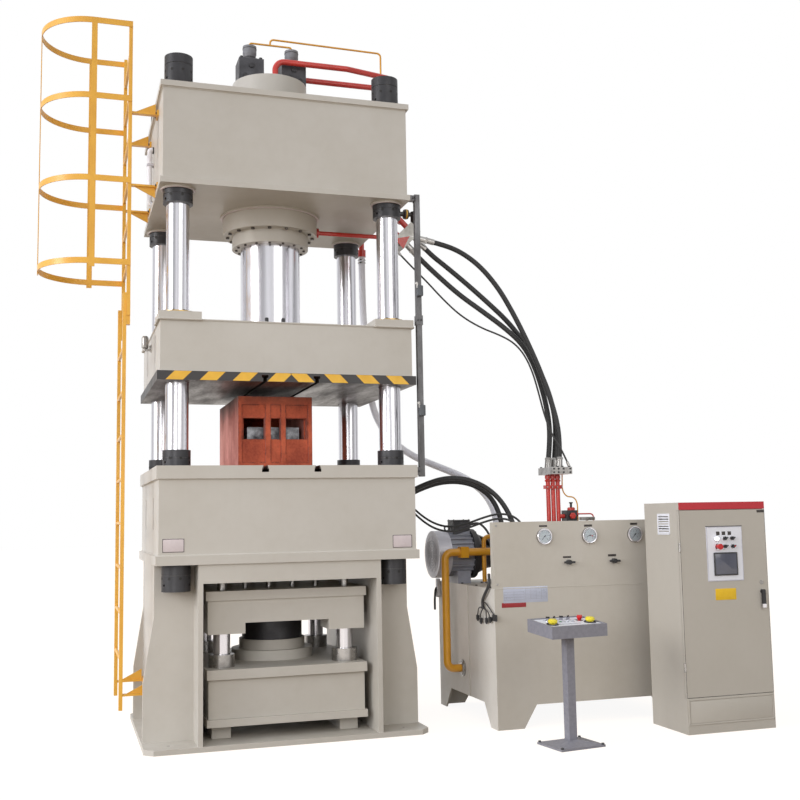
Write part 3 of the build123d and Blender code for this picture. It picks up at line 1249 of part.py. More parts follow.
def crown_pipes():
    """Two pressure pipes over the crown to the manifold, the return pipe and the ring port pipe."""
    end_x, end_y, end_z = manifold_point(55, -MANIFOLD_THICK / 2, -RED_PIPE_Y)
    start = (*FIRST_PIPE_START, CYLINDER_TOP)
    level = CYLINDER_TOP + FIRST_PIPE_RISE
    down = end_x - RED_PIPE_LEAD
    first = [start, (start[0], start[1], level), (FIRST_PIPE_TURN_X, start[1], level),
             (down, end_y, level), (down, end_y, end_z + RED_PIPE_LEAD), (end_x, end_y, end_z)]
    end_x, end_y, end_z = manifold_point(-20, -MANIFOLD_THICK / 2, RED_PIPE_Y)
    level = CYLINDER_TOP + SECOND_PIPE_RISE
    down = end_x - RED_PIPE_LEAD
    second = [(PREFILL_X[1] + PREFILL_HALF_X, end_y, level), (down, end_y, level),
              (down, end_y, end_z + RED_PIPE_LEAD), (end_x, end_y, end_z)]
    x, y, z = HOSE_ROUTES["hose_return"][1][0]
    back = [(x, y, z + RETURN_FLANGE), (x, y, RETURN_PIPE_TOP), (PREFILL_X[1], y, RETURN_PIPE_TOP),
            (PREFILL_X[1], PREFILL_HALF_Y, RETURN_PIPE_TOP)]
    stub = rod(x, y, z, z + RETURN_FLANGE, RETURN_FLANGE_RADIUS)
    flange_end = CYLINDER_FLANGE_RADIUS + RING_FLANGE
    ring = rod_x(CYLINDER_FLANGE_RADIUS, flange_end, 0, ring_port_z(), RING_FLANGE_RADIUS)
    ring += rod_x(flange_end, RING_PIPE_END, 0, ring_port_z(), RING_PIPE_RADIUS)
    return Compound([pipe(first, RED_PIPE_RADIUS, RED_PIPE_BEND),
                     pipe(second, RED_PIPE_RADIUS, RED_PIPE_BEND),
                     stub + pipe(back, RED_PIPE_RADIUS, RED_PIPE_BEND), ring])


def ferrule(name, at_end, length, radius):
    """Crimped fitting that carries on straight from one end of a hose."""
    points = HOSE_ROUTES[name][1]
    tip, inner = (points[-1], points[-2]) if at_end else (points[0], points[1])
    way = (Vector(*tip) - Vector(*inner)).normalized()
    return rod_between(tip, tuple(Vector(*tip) + way * length), radius)


def seated_ferrule(name, face_z):
    """Fitting at the last end of a hose, just long enough to seat in a level face."""
    tip, inner = (Vector(*point) for point in HOSE_ROUTES[name][1][:-3:-1])
    way = (tip - inner).normalized()
    reach = (tip.Z - face_z + FITTING_SEAT) / abs(way.Z)
    return ferrule(name, True, reach, HOSE_ROUTES[name][0] + FITTING_WALL)


def hose_manifold():
    """Tilted steel block where the crown's pipes meet the hoses."""
    block = Pos(MANIFOLD_X, 0, MANIFOLD_Z) * Rot(0, -MANIFOLD_TILT, 0) * Box(
        MANIFOLD_LENGTH, MANIFOLD_DEPTH, MANIFOLD_THICK)
    for name in ("hose_upper_a", "hose_upper_b", "hose_upper_c"):
        block += ferrule(name, False, FERRULE_LENGTH, FERRULE_RADIUS)
    block += ferrule("hose_upper_a", False, 2 * FERRULE_LENGTH, HOSE_RADIUS)
    half = MANIFOLD_LENGTH / 2
    block += rod_between(manifold_point(-half, 0, PILOT_ROW),
                         manifold_point(-half - PILOT_PLUG, 0, PILOT_ROW), PILOT_PLUG_RADIUS)
    tee = pilot_tee()
    block += Pos(*tee) * Rot(0, -MANIFOLD_TILT, 0) * Box(PILOT_TEE_SIZE, PILOT_TEE_SIZE, PILOT_TEE_SIZE)
    block += rod_x(tee[0] - PILOT_BOSS, tee[0], tee[1], tee[2], PILOT_BOSS_RADIUS)
    block += ferrule("hose_pilot", False, PILOT_FITTING_LENGTH, PILOT_HOSE_RADIUS + FITTING_WALL)
    block += rod_x(RING_PIPE_END, MANIFOLD_X - RING_SOCKET_END, 0, ring_port_z(),
                   RING_PIPE_RADIUS + RING_SOCKET_WALL)
    block += rod_between(manifold_point(half, 0, 0), manifold_point(half + BRANCH_LENGTH, 0, 0),
                         BRANCH_RADIUS)
    valve_x = manifold_point(half + BRANCH_VALVE_OUT, 0, 0)[0]
    block += rod(valve_x, 0, MANIFOLD_Z + BRANCH_VALVE_BOTTOM, MANIFOLD_Z + BRANCH_VALVE_TOP,
                 BRANCH_VALVE_RADIUS)
    return block


def bolster_ports():
    """Port plate on the bolster's right wall with one angled fitting for each lower hose."""
    x0 = BOLSTER_BOX_HALF_X
    face = x0 + PORT_PLATE_THICK
    plate = slab(x0, face, -PORT_PLATE_HALF_Y, PORT_PLATE_HALF_Y, PORT_PLATE_BOTTOM,
                 PORT_PLATE_BOTTOM + PORT_PLATE_HEIGHT)
    for name in LOWER_HOSES:
        radius = HOSE_ROUTES[name][0] + FITTING_WALL
        tip, inner = (Vector(*point) for point in HOSE_ROUTES[name][1][:2])
        knee = tip + (tip - inner).normalized() * PORT_KNEE
        plate += rod_between(tuple(tip), tuple(knee), radius)
        plate += Pos(knee) * Sphere(radius)
        plate += rod_x(face, knee.X, knee.Y, knee.Z, radius)
    return plate


def oil_tank():
    """Oil tank: hollow box on four angled corner feet, with a side rib and the return stub."""
    tank = slab(TANK_LEFT, TANK_RIGHT, TANK_FRONT, TANK_BACK, TANK_BOTTOM, TANK_TOP)
    tank -= slab(TANK_LEFT + TANK_WALL, TANK_RIGHT - TANK_WALL, TANK_FRONT + TANK_WALL,
                 TANK_BACK - TANK_WALL, TANK_BOTTOM + TANK_WALL, TANK_TOP - TANK_WALL)
    tank -= rod_x(TANK_LEFT - 1, TANK_LEFT + TANK_WALL + 1, SUCTION_Y, SUCTION_PORT_Z,
                  SUCTION_RADIUS - SUCTION_WALL)
    tank += slab(TANK_LEFT - TANK_WALL, TANK_LEFT, TANK_RIB_Y - TANK_RIB_WIDTH / 2,
                 TANK_RIB_Y + TANK_RIB_WIDTH / 2, TANK_BOTTOM, TANK_TOP)
    for side_x, edge_x in ((1, TANK_LEFT), (-1, TANK_RIGHT)):
        for side_y, edge_y in ((1, TANK_FRONT), (-1, TANK_BACK)):
            tank += tank_foot(edge_x, side_x, edge_y, side_y)
    end = HOSE_ROUTES["hose_return"][1][-1]
    tank += rod(end[0], end[1], TANK_TOP, end[2], RETURN_HOSE_RADIUS + RETURN_STUB_WALL)
    return tank


def tank_foot(x, side_x, y, side_y):
    """Corner foot of two tapering plates; each side says which way the tank lies."""
    wide = [(x, TANK_BOTTOM), (x + side_x * TANK_FOOT_TOP, TANK_BOTTOM),
            (x + side_x * TANK_FOOT_BASE, 0), (x, 0)]
    deep = [(y, TANK_BOTTOM), (y + side_y * TANK_FOOT_SIDE_TOP, TANK_BOTTOM),
            (y + side_y * TANK_FOOT_SIDE_BASE, 0), (y, 0)]
    across = sorted((y, y + side_y * TANK_FOOT_PLATE))
    along = sorted((x, x + side_x * TANK_FOOT_PLATE))
    return prism_xz(wide, *across) + prism_yz(deep, *along)


def gauge_panel():
    """Instrument panel on the tank's front edge, with side and top returns."""
    wall = GAUGE_PANEL_WALL
    back = TANK_FRONT + GAUGE_PANEL_DEPTH
    panel = slab(TANK_LEFT, TANK_RIGHT, TANK_FRONT, back, TANK_TOP, GAUGE_PANEL_TOP)
    panel -= slab(TANK_LEFT + wall, TANK_RIGHT - wall, TANK_FRONT + wall, back + 1, TANK_TOP - 1,
                  GAUGE_PANEL_TOP - wall)
    front = (TANK_FRONT - 1, TANK_FRONT + wall + 1)
    for x in GAUGE_X:
        panel -= rod_y(*front, x, GAUGE_Z, GAUGE_BODY_RADIUS + SLIP)
    for x in GAUGE_VALVE_X:
        panel -= rod_y(*front, x, GAUGE_VALVE_Z, VALVE_STEM_RADIUS + SLIP)
    return panel


def pressure_gauges():
    """Three dial gauges set in the panel."""
    gauges = []
    for x in GAUGE_X:
        gauge = rod_y(TANK_FRONT - GAUGE_BEZEL, TANK_FRONT, x, GAUGE_Z, GAUGE_RADIUS)
        gauge += rod_y(TANK_FRONT, TANK_FRONT + GAUGE_BODY_DEPTH, x, GAUGE_Z, GAUGE_BODY_RADIUS)
        gauges.append(gauge)
    return Compound(gauges)


def gauge_valve(x):
    """T-handle of a gauge valve: stem through the panel, hub and cross bar."""
    back = TANK_FRONT + GAUGE_PANEL_WALL + VALVE_BEHIND_PANEL
    face = TANK_FRONT - SLIP
    handle = rod_y(face, back, x, GAUGE_VALVE_Z, VALVE_STEM_RADIUS)
    handle += rod_y(face - VALVE_HUB, face, x, GAUGE_VALVE_Z, VALVE_HUB_RADIUS)
    bar_y = face - VALVE_HUB + VALVE_BAR_RADIUS
    return handle + rod_x(x - VALVE_BAR_LENGTH / 2, x + VALVE_BAR_LENGTH / 2, bar_y, GAUGE_VALVE_Z,
                          VALVE_BAR_RADIUS)


def drive_motor():
    """Electric motor: fan cowl, finned body, end flange, feet and terminal box."""
    body_left = MOTOR_LEFT + COWL_LENGTH
    body_right = body_left + MOTOR_FRAME_LENGTH
    cowl = rod_x(MOTOR_LEFT, body_left, MOTOR_Y, MOTOR_Z, COWL_RADIUS)
    cowl -= rod_x(MOTOR_LEFT + COWL_WALL, body_left, MOTOR_Y, MOTOR_Z, COWL_RADIUS - COWL_WALL)
    motor = cowl + rod_x(body_left, body_right, MOTOR_Y, MOTOR_Z, MOTOR_RADIUS)
    motor += rod_x(body_left, body_left + FIN_THICK, MOTOR_Y, MOTOR_Z, COWL_RADIUS)
    middle = (body_left + body_right) / 2
    fin_height = FIN_RADIUS - MOTOR_RADIUS + FIN_ROOT
    fin = Pos(0, 0, FIN_RADIUS - fin_height / 2) * Box(MOTOR_FRAME_LENGTH, FIN_THICK, fin_height)
    for index in range(FIN_COUNT):
        motor += Pos(middle, MOTOR_Y, MOTOR_Z) * Rot(index * 360 / FIN_COUNT, 0, 0) * fin
    motor += rod_x(body_right, BELL_LEFT, MOTOR_Y, MOTOR_Z, MOTOR_FLANGE_RADIUS)
    foot_edge = max(middle - MOTOR_FOOT_LENGTH / 2, TANK_LEFT)
    motor += slab(foot_edge, foot_edge + MOTOR_FOOT_LENGTH, MOTOR_Y - MOTOR_FOOT_HALF_Y,
                  MOTOR_Y + MOTOR_FOOT_HALF_Y, TANK_TOP, MOTOR_Z - MOTOR_RADIUS + MOTOR_FOOT_ABOVE)
    box_left = body_right - TERMINAL_LENGTH
    box_top = MOTOR_Z + FIN_RADIUS + TERMINAL_HEIGHT
    motor += slab(box_left, body_right, MOTOR_Y - TERMINAL_WIDTH / 2, MOTOR_Y + TERMINAL_WIDTH / 2,
                  MOTOR_Z + MOTOR_RADIUS - FIN_ROOT, box_top)
    motor -= rod_x(body_left - 1, BELL_LEFT + 1, MOTOR_Y, MOTOR_Z, SHAFT_RADIUS + SLIP)
    return motor


def bell_housing():
    """Lantern between motor and pump, hollow, with an inspection window."""
    left = BELL_LEFT
    right = PUMP_LEFT
    wall = BELL_WALL
    outer = [(left, 0), (left, BELL_RADIUS), (left + wall, BELL_RADIUS),
             (right - wall, BELL_END_RADIUS), (right, BELL_END_RADIUS), (right, 0)]
    bore = SHAFT_RADIUS + BELL_SHAFT_ROOM
    inner = [(left - 1, 0), (left - 1, BELL_RADIUS - wall), (left + wall, BELL_RADIUS - wall),
             (right - wall, BELL_END_RADIUS - wall), (right - wall, bore), (right + 1, bore),
             (right + 1, 0)]
    shapes = []
    for outline in (outer, inner):
        face = Plane.XZ * make_face(Polyline(*outline, close=True))
        shapes.append(Pos(0, MOTOR_Y, MOTOR_Z) * revolve(face, Axis.X))
    bell = shapes[0] - shapes[1]
    window = slab(left + BELL_WINDOW_LEFT, right - BELL_WINDOW_RIGHT, -BELL_WINDOW_WIDTH / 2,
                  BELL_WINDOW_WIDTH / 2, 0, BELL_RADIUS + 1)
    for turn in BELL_WINDOW_TURNS:
        bell -= Pos(0, MOTOR_Y, MOTOR_Z) * Rot(turn, 0, 0) * window
    return bell


def motor_shaft():
    """Motor shaft with its fan, the coupling and the stub that drives the pump."""
    start = MOTOR_LEFT + SHAFT_END_AT
    end = PUMP_LEFT + SHAFT_IN_PUMP
    shaft = rod_x(start, end, MOTOR_Y, MOTOR_Z, SHAFT_RADIUS)
    fan_at = MOTOR_LEFT + FAN_AT
    shaft += rod_x(fan_at, fan_at + FAN_THICK, MOTOR_Y, MOTOR_Z, FAN_RADIUS)
    middle = (BELL_LEFT + PUMP_LEFT) / 2
    return shaft + rod_x(middle - COUPLING_LENGTH / 2, middle + COUPLING_LENGTH / 2, MOTOR_Y, MOTOR_Z,
                         COUPLING_RADIUS)


def pump():
    """Pump body with its end cover and side ports."""
    right = PUMP_LEFT + PUMP_LENGTH
    body = rod_x(PUMP_LEFT, right, MOTOR_Y, MOTOR_Z, PUMP_RADIUS)
    cover = PUMP_RADIUS + PUMP_COVER_OUT
    body += slab(PUMP_LEFT, PUMP_LEFT + PUMP_COVER, MOTOR_Y - cover, MOTOR_Y + cover, MOTOR_Z - cover,
                 MOTOR_Z + cover)
    body += rod_y(PUMP_PORT_Y, MOTOR_Y, SUCTION_IN_X, SUCTION_TOP, SUCTION_PORT_RADIUS)
    body += rod_y(PUMP_PORT_Y, MOTOR_Y, DRAIN_IN_X, MOTOR_Z, DRAIN_PORT_RADIUS)
    body -= rod_x(PUMP_LEFT - 1, PUMP_LEFT + SHAFT_IN_PUMP + SLIP, MOTOR_Y, MOTOR_Z, SHAFT_RADIUS + SLIP)
    return body


def pump_pipes():
    """Suction pipe round the motor to the pump, and the case drain over the bell housing."""
    out = TANK_LEFT - SUCTION_OUT
    suction = pipe([(TANK_LEFT, SUCTION_Y, SUCTION_PORT_Z), (out, SUCTION_Y, SUCTION_PORT_Z),
                    (out, SUCTION_Y, SUCTION_TOP), (SUCTION_IN_X, SUCTION_Y, SUCTION_TOP),
                    (SUCTION_IN_X, PUMP_PORT_Y, SUCTION_TOP)], SUCTION_RADIUS, SUCTION_BEND)
    suction += rod_x(TANK_LEFT - SUCTION_FLANGE, TANK_LEFT, SUCTION_Y, SUCTION_PORT_Z,
                     SUCTION_FLANGE_RADIUS)
    suction += slab(TANK_LEFT - SUCTION_CLAMP_LEFT, TANK_LEFT + SUCTION_CLAMP_RIGHT,
                    SUCTION_Y - SUCTION_CLAMP_HALF_Y, SUCTION_Y + SUCTION_CLAMP_HALF_Y,
                    SUCTION_TOP - SUCTION_CLAMP_HALF, SUCTION_TOP + SUCTION_CLAMP_HALF)
    drain = pipe([(DRAIN_X, DRAIN_Y, TANK_TOP), (DRAIN_X, DRAIN_Y, DRAIN_TOP),
                  (DRAIN_IN_X, DRAIN_Y, DRAIN_TOP), (DRAIN_IN_X, DRAIN_Y, MOTOR_Z),
                  (DRAIN_IN_X, PUMP_PORT_Y, MOTOR_Z)], DRAIN_RADIUS, DRAIN_BEND)
    return Compound([suction, drain])


def valve_block():
    """Valve manifold on the tank behind the panel, with valve heads and the lower hoses' fittings."""
    block = slab(VALVE_BLOCK_LEFT, VALVE_BLOCK_RIGHT, VALVE_BLOCK_FRONT, VALVE_BLOCK_BACK, TANK_TOP,
                 VALVE_BLOCK_TOP)
    for x in VALVE_HEAD_X:
        block += slab(x - VALVE_HEAD_WIDTH / 2, x + VALVE_HEAD_WIDTH / 2, VALVE_HEAD_FRONT,
                      VALVE_HEAD_BACK, VALVE_BLOCK_TOP, VALVE_BLOCK_TOP + VALVE_HEAD_HEIGHT)
    for name in LOWER_HOSES:
        block += seated_ferrule(name, VALVE_BLOCK_TOP)
    return block


def station_pipes():
    """Delivery pipes from the valve block to the flange block that holds the upper hoses."""
    pipes = slab(FLANGE_BLOCK_LEFT, FLANGE_BLOCK_RIGHT, FLANGE_BLOCK_FRONT, FLANGE_BLOCK_BACK,
                 FLANGE_BLOCK_BOTTOM, FLANGE_BLOCK_TOP)
    for x in DELIVERY_X:
        pipes += rod(x, DELIVERY_Y, VALVE_BLOCK_TOP, FLANGE_BLOCK_BOTTOM, DELIVERY_RADIUS)
    last = DELIVERY_X[-1]
    valve_left = last + SIDE_PIPE_LENGTH
    valve_bottom = VALVE_BLOCK_TOP + SIDE_VALVE_RISE
    pipes += rod_x(last, valve_left, DELIVERY_Y, valve_bottom + SIDE_VALVE_DROP, DELIVERY_RADIUS)
    pipes += slab(valve_left, valve_left + SIDE_VALVE_LENGTH, DELIVERY_Y - SIDE_VALVE_LENGTH / 2,
                  DELIVERY_Y + SIDE_VALVE_LENGTH / 2, valve_bottom, valve_bottom + SIDE_VALVE_HEIGHT)
    clamp_bottom = VALVE_BLOCK_TOP + CLAMP_RISE
    pipes += slab(DELIVERY_X[0] - CLAMP_OUT, last + CLAMP_OUT, DELIVERY_Y - CLAMP_HALF_Y,
                  DELIVERY_Y + CLAMP_HALF_Y, clamp_bottom, clamp_bottom + CLAMP_HEIGHT)
    for name in ("hose_upper_a", "hose_upper_b", "hose_upper_c", "hose_pilot"):
        pipes += seated_ferrule(name, FLANGE_BLOCK_TOP)
    return pipes


def cabinet_shell():
    """Cabinet shell: hollow box with a front frame, a plinth and a louvred vent."""
    wall = CABINET_WALL
    left = CABINET_LEFT
    right = CABINET_RIGHT
    shell = slab(left, right, CABINET_FRONT, CABINET_BACK, 0, CABINET_HEIGHT)
    shell -= slab(left + wall, right - wall, CABINET_FRONT + wall, CABINET_BACK - wall, PLINTH,
                  CABINET_HEIGHT - wall)
    shell -= slab(left - 1, right + 1, CABINET_FRONT - 1, SHELL_FRONT, DOOR_BOTTOM - DOOR_GAP,
                  DOOR_TOP + DOOR_GAP)
    shell += slab(left, right, SHELL_FRONT, SHELL_FRONT + wall, PLINTH, CABINET_HEIGHT)
    shell -= slab(left + FRAME_WIDTH, right - FRAME_WIDTH, SHELL_FRONT - 1, SHELL_FRONT + wall + 1,
                  DOOR_BOTTOM + FRAME_WIDTH, DOOR_TOP - FRAME_WIDTH)
    hinge_x = left + HINGE_INSET
    hinge_y = CABINET_FRONT + HINGE_INSET
    for z0, z1 in ((DOOR_TOP + DOOR_GAP, DOOR_TOP + DOOR_GAP + HINGE_LEDGE),
                   (DOOR_BOTTOM - DOOR_GAP - HINGE_LEDGE, DOOR_BOTTOM - DOOR_GAP)):
        shell += slab(left, right, CABINET_FRONT, SHELL_FRONT + wall, z0, z1)
        shell -= rod(hinge_x, hinge_y, z0 - 1, z1 + 1, HINGE_PIN_RADIUS + SLIP)
    slat = VENT_HEIGHT / (2 * VENT_SLATS + 1)
    for index in range(VENT_SLATS):
        z0 = VENT_BOTTOM + (2 * index + 1) * slat
        shell -= slab(left - 1, left + wall + 1, VENT_FRONT, VENT_FRONT + VENT_WIDTH, z0, z0 + slat)
    for x in (left + PLATE_STUD_INSET, right - PLATE_STUD_INSET):
        for z in PLATE_STUD_LEVELS:
            shell += rod_y(CABINET_BACK - PLATE_OFF_WALL, CABINET_BACK - wall, x, z, PLATE_STUD_RADIUS)
    return shell


def cabinet_door():
    """Door tray with hinge pins, the control plate, its screen, lamps and selectors."""
    left = CABINET_LEFT + 1
    right = CABINET_RIGHT - 1
    door = slab(left, right, CABINET_FRONT, DOOR_BACK, DOOR_BOTTOM, DOOR_TOP)
    door -= slab(left + DOOR_WALL, right - DOOR_WALL, CABINET_FRONT + DOOR_WALL, DOOR_BACK + 1,
                 DOOR_BOTTOM + DOOR_WALL, DOOR_TOP - DOOR_WALL)
    hinge_x = CABINET_LEFT + HINGE_INSET
    hinge_y = CABINET_FRONT + HINGE_INSET
    for z0, z1, collar in ((DOOR_TOP, DOOR_TOP + HINGE_PIN_LENGTH, DOOR_TOP + DOOR_GAP - SLIP),
                           (DOOR_BOTTOM - HINGE_PIN_LENGTH, DOOR_BOTTOM,
                            DOOR_BOTTOM - DOOR_GAP + SLIP)):
        door += rod(hinge_x, hinge_y, z0, z1, HINGE_PIN_RADIUS)
        seat = sorted((collar, DOOR_TOP if collar > DOOR_TOP else DOOR_BOTTOM))
        door += rod(hinge_x, hinge_y, *seat, HINGE_COLLAR_RADIUS)
    plate_face = CABINET_FRONT - CONTROL_THICK
    door += slab(CONTROL_LEFT, CONTROL_RIGHT, plate_face, CABINET_FRONT, CONTROL_BOTTOM, CONTROL_TOP)
    door += slab(SCREEN_LEFT, SCREEN_RIGHT, plate_face - SCREEN_THICK, plate_face, SCREEN_BOTTOM,
                 SCREEN_TOP)
    for x, z in KNOB_PLACES:
        door += rod_y(plate_face - KNOB_LENGTH, plate_face, x, z, KNOB_RADIUS)
    door -= rod_y(plate_face - 1, CABINET_FRONT + DOOR_WALL + 1, STOP_X, STOP_Z, STOP_STEM_RADIUS + SLIP)
    door -= rod_y(CABINET_FRONT - 1, CABINET_FRONT + DOOR_WALL + 1, HANDLE_X,
                  HANDLE_TOP - HANDLE_BOSS_RADIUS, HANDLE_SHAFT_RADIUS + SLIP)
    return door


def door_handle():
    """Swing handle with its boss and the shaft and cam behind the door."""
    pivot_z = HANDLE_TOP - HANDLE_BOSS_RADIUS
    face = CABINET_FRONT - SLIP
    boss_face = face - HANDLE_BOSS
    handle = rod_y(boss_face, face, HANDLE_X, pivot_z, HANDLE_BOSS_RADIUS)
    half = HANDLE_WIDTH / 2
    grip = slab(HANDLE_X - half, HANDLE_X + half, boss_face - HANDLE_THICK, boss_face,
                HANDLE_TOP - HANDLE_LENGTH, HANDLE_TOP)
    handle += fillet(grip.edges().filter_by(Axis.Y), HANDLE_CORNER)
    back = CABINET_FRONT + HANDLE_SHAFT_BEHIND
    handle += rod_y(face, back, HANDLE_X, pivot_z, HANDLE_SHAFT_RADIUS)
    return handle + slab(HANDLE_X - CAM_HALF, HANDLE_X + CAM_HALF, back - CAM_THICK, back,
                         pivot_z - CAM_DOWN, pivot_z + CAM_UP)


def mushroom_y(x, z, face, gap, radius, height, stem):
    """Mushroom button that is pushed along Y into a front face."""
    under = face - gap
    neck_end = under - height * MUSHROOM_NECK_HEIGHT
    cap = rod_y(neck_end, under, x, z, radius * MUSHROOM_NECK)
    cap += rod_y(under - height, neck_end, x, z, radius)
    return cap + rod_y(under, face + STOP_STEM_REACH, x, z, stem)


def door_stop_button():
    """Red stop button on the cabinet's control plate."""
    face = CABINET_FRONT - CONTROL_THICK
    return mushroom_y(STOP_X, STOP_Z, face, STOP_TRAVEL_GAP, MUSHROOM_RADIUS, MUSHROOM_HEIGHT,
                      STOP_STEM_RADIUS)


def mounting_plate():
    """Plate inside the cabinet with rows of switchgear blocks."""
    back = CABINET_BACK - PLATE_OFF_WALL
    front = back - PLATE_THICK
    left = CABINET_LEFT + PLATE_INSET
    right = CABINET_RIGHT - PLATE_INSET
    plate = slab(left, right, front, back, PLATE_BOTTOM, PLATE_TOP)
    for z, count, height in SWITCHGEAR_ROWS:
        pitch = (right - left - 2 * SWITCHGEAR_INSET) / count
        for index in range(count):
            x0 = left + SWITCHGEAR_INSET + index * pitch
            plate += slab(x0, x0 + pitch * SWITCHGEAR_FILL, front - SWITCHGEAR_DEPTH, front, z, z + height)
    return plate


def console_place(shape):
    """Turn and move a shape from the console's own frame to its place on the floor."""
    return Pos(CONSOLE_X, CONSOLE_Y, 0) * Rot(0, 0, CONSOLE_TURN) * shape


def console_top_z(y):
    """Height of the console's tilted top at a distance from its front edge line."""
    return CONSOLE_FRONT_TOP + (y + CONSOLE_DEPTH / 2) * math.tan(math.radians(CONSOLE_TILT))


def on_console(shape, x, y, sink):
    """Stand an upright shape on the console's tilted panel."""
    return Pos(x, y, console_top_z(y)) * Rot(CONSOLE_TILT, 0, 0) * Pos(0, 0, -sink) * shape


def console_stand():
    """Console: floor plate, square post and wedge box with a sunk panel, knobs and small buttons."""
    base = slab(-CONSOLE_BASE_LENGTH / 2, CONSOLE_BASE_LENGTH / 2, -CONSOLE_BASE_WIDTH / 2,
                CONSOLE_BASE_WIDTH / 2, 0, CONSOLE_BASE_EDGE)
    step = 2 * CONSOLE_BASE_STEP
    top = Plane.XY.offset(CONSOLE_BASE_EDGE) * Rectangle(CONSOLE_BASE_LENGTH - step,
                                                         CONSOLE_BASE_WIDTH - step)
    crown_face = Plane.XY.offset(CONSOLE_BASE_CROWN) * Rectangle(POST_SIZE + step, POST_SIZE + step)
    stand = base + loft([top.face(), crown_face.face()])
    half = POST_SIZE / 2
    stand += slab(-half, half, -half, half, CONSOLE_BASE_CROWN - POST_SEAT,
                  CONSOLE_FRONT_BOTTOM + POST_INTO_BOX)
    inner = half - POST_WALL
    stand -= slab(-inner, inner, -inner, inner, CONSOLE_BASE_CROWN + POST_SEAT,
                  CONSOLE_FRONT_BOTTOM - POST_SEAT)
    front = -CONSOLE_DEPTH / 2
    back = CONSOLE_DEPTH / 2
    outline = [(front, CONSOLE_FRONT_BOTTOM), (back, CONSOLE_REAR_BOTTOM), (back, console_top_z(back)),
               (front, CONSOLE_FRONT_TOP)]
    box = prism_yz(outline, -CONSOLE_LENGTH / 2, CONSOLE_LENGTH / 2)
    wall = CONSOLE_WALL
    inner_outline = [(front + wall, CONSOLE_FRONT_BOTTOM + wall), (back - wall, CONSOLE_REAR_BOTTOM + wall),
                     (back - wall, console_top_z(back) - CONSOLE_SINK - wall - CONSOLE_PANEL_ROOM),
                     (front + wall, CONSOLE_FRONT_TOP - CONSOLE_SINK - wall)]
    rim = CONSOLE_RIM
    sink = Box(CONSOLE_LENGTH - 2 * rim, CONSOLE_DEPTH - 2 * rim, 2 * CONSOLE_SINK)
    box -= on_console(sink, 0, 0, 0)
    box -= prism_yz(inner_outline, -CONSOLE_LENGTH / 2 + wall, CONSOLE_LENGTH / 2 - wall)
    for x, y in CONSOLE_KNOBS:
        box += on_console(rod(0, 0, 0, CONSOLE_KNOB_HEIGHT, CONSOLE_KNOB_RADIUS), x, y, CONSOLE_SINK)
    for x, y in CONSOLE_BUTTONS:
        button = rod(0, 0, 0, CONSOLE_BUTTON_HEIGHT, CONSOLE_BUTTON_RADIUS)
        box += on_console(button, x, y, CONSOLE_SINK)
    holes = [(-PALM_SPREAD, PALM_ROW, PALM_STEM_RADIUS), (PALM_SPREAD, PALM_ROW, PALM_STEM_RADIUS),
             (*EMERGENCY_PLACE, STOP_STEM_RADIUS)]
    for x, y, radius in holes:
        hole = rod(0, 0, -CONSOLE_HOLE_DEPTH, CONSOLE_HOLE_DEPTH, radius + SLIP)
        box -= on_console(hole, x, y, CONSOLE_SINK)
    return console_place(stand + box)


def push_button(x, y, gap, radius, height, stem):
    """Mushroom button standing over the console's panel."""
    profile = [(0, -BUTTON_STEM_REACH), (stem, -BUTTON_STEM_REACH), (stem, gap), (radius * 0.75, gap),
               (radius, gap + height * 0.35), (radius, gap + height * 0.7), (radius * 0.7, gap + height),
               (0, gap + height)]
    return console_place(on_console(turned(0, 0, profile), x, y, CONSOLE_SINK))


def hose(name):
    """Hose as straight runs with arcs as large as the runs allow; prints its radii and fill."""
    radius, points = HOSE_ROUTES[name]
    runs = [Vector(*b) - Vector(*a) for a, b in zip(points, points[1:])]
    bends = []
    for before, after in zip(runs, runs[1:]):
        half_turn = math.radians(before.get_angle(after) / 2)
        bends.append(HOSE_FILL * min(before.length, after.length) / math.tan(half_turn))
    path = FilletPolyline(*points, radius=bends)
    section = Plane(origin=Vector(*points[0]), z_dir=runs[0]) * Circle(radius)
    tube = sweep(section, path=path)
    filled = tube.volume / (math.pi * radius ** 2 * path.length)
    print(name, "length", round(path.length), "least bend", round(min(bends)), "fill", round(filled, 4))
    return tube


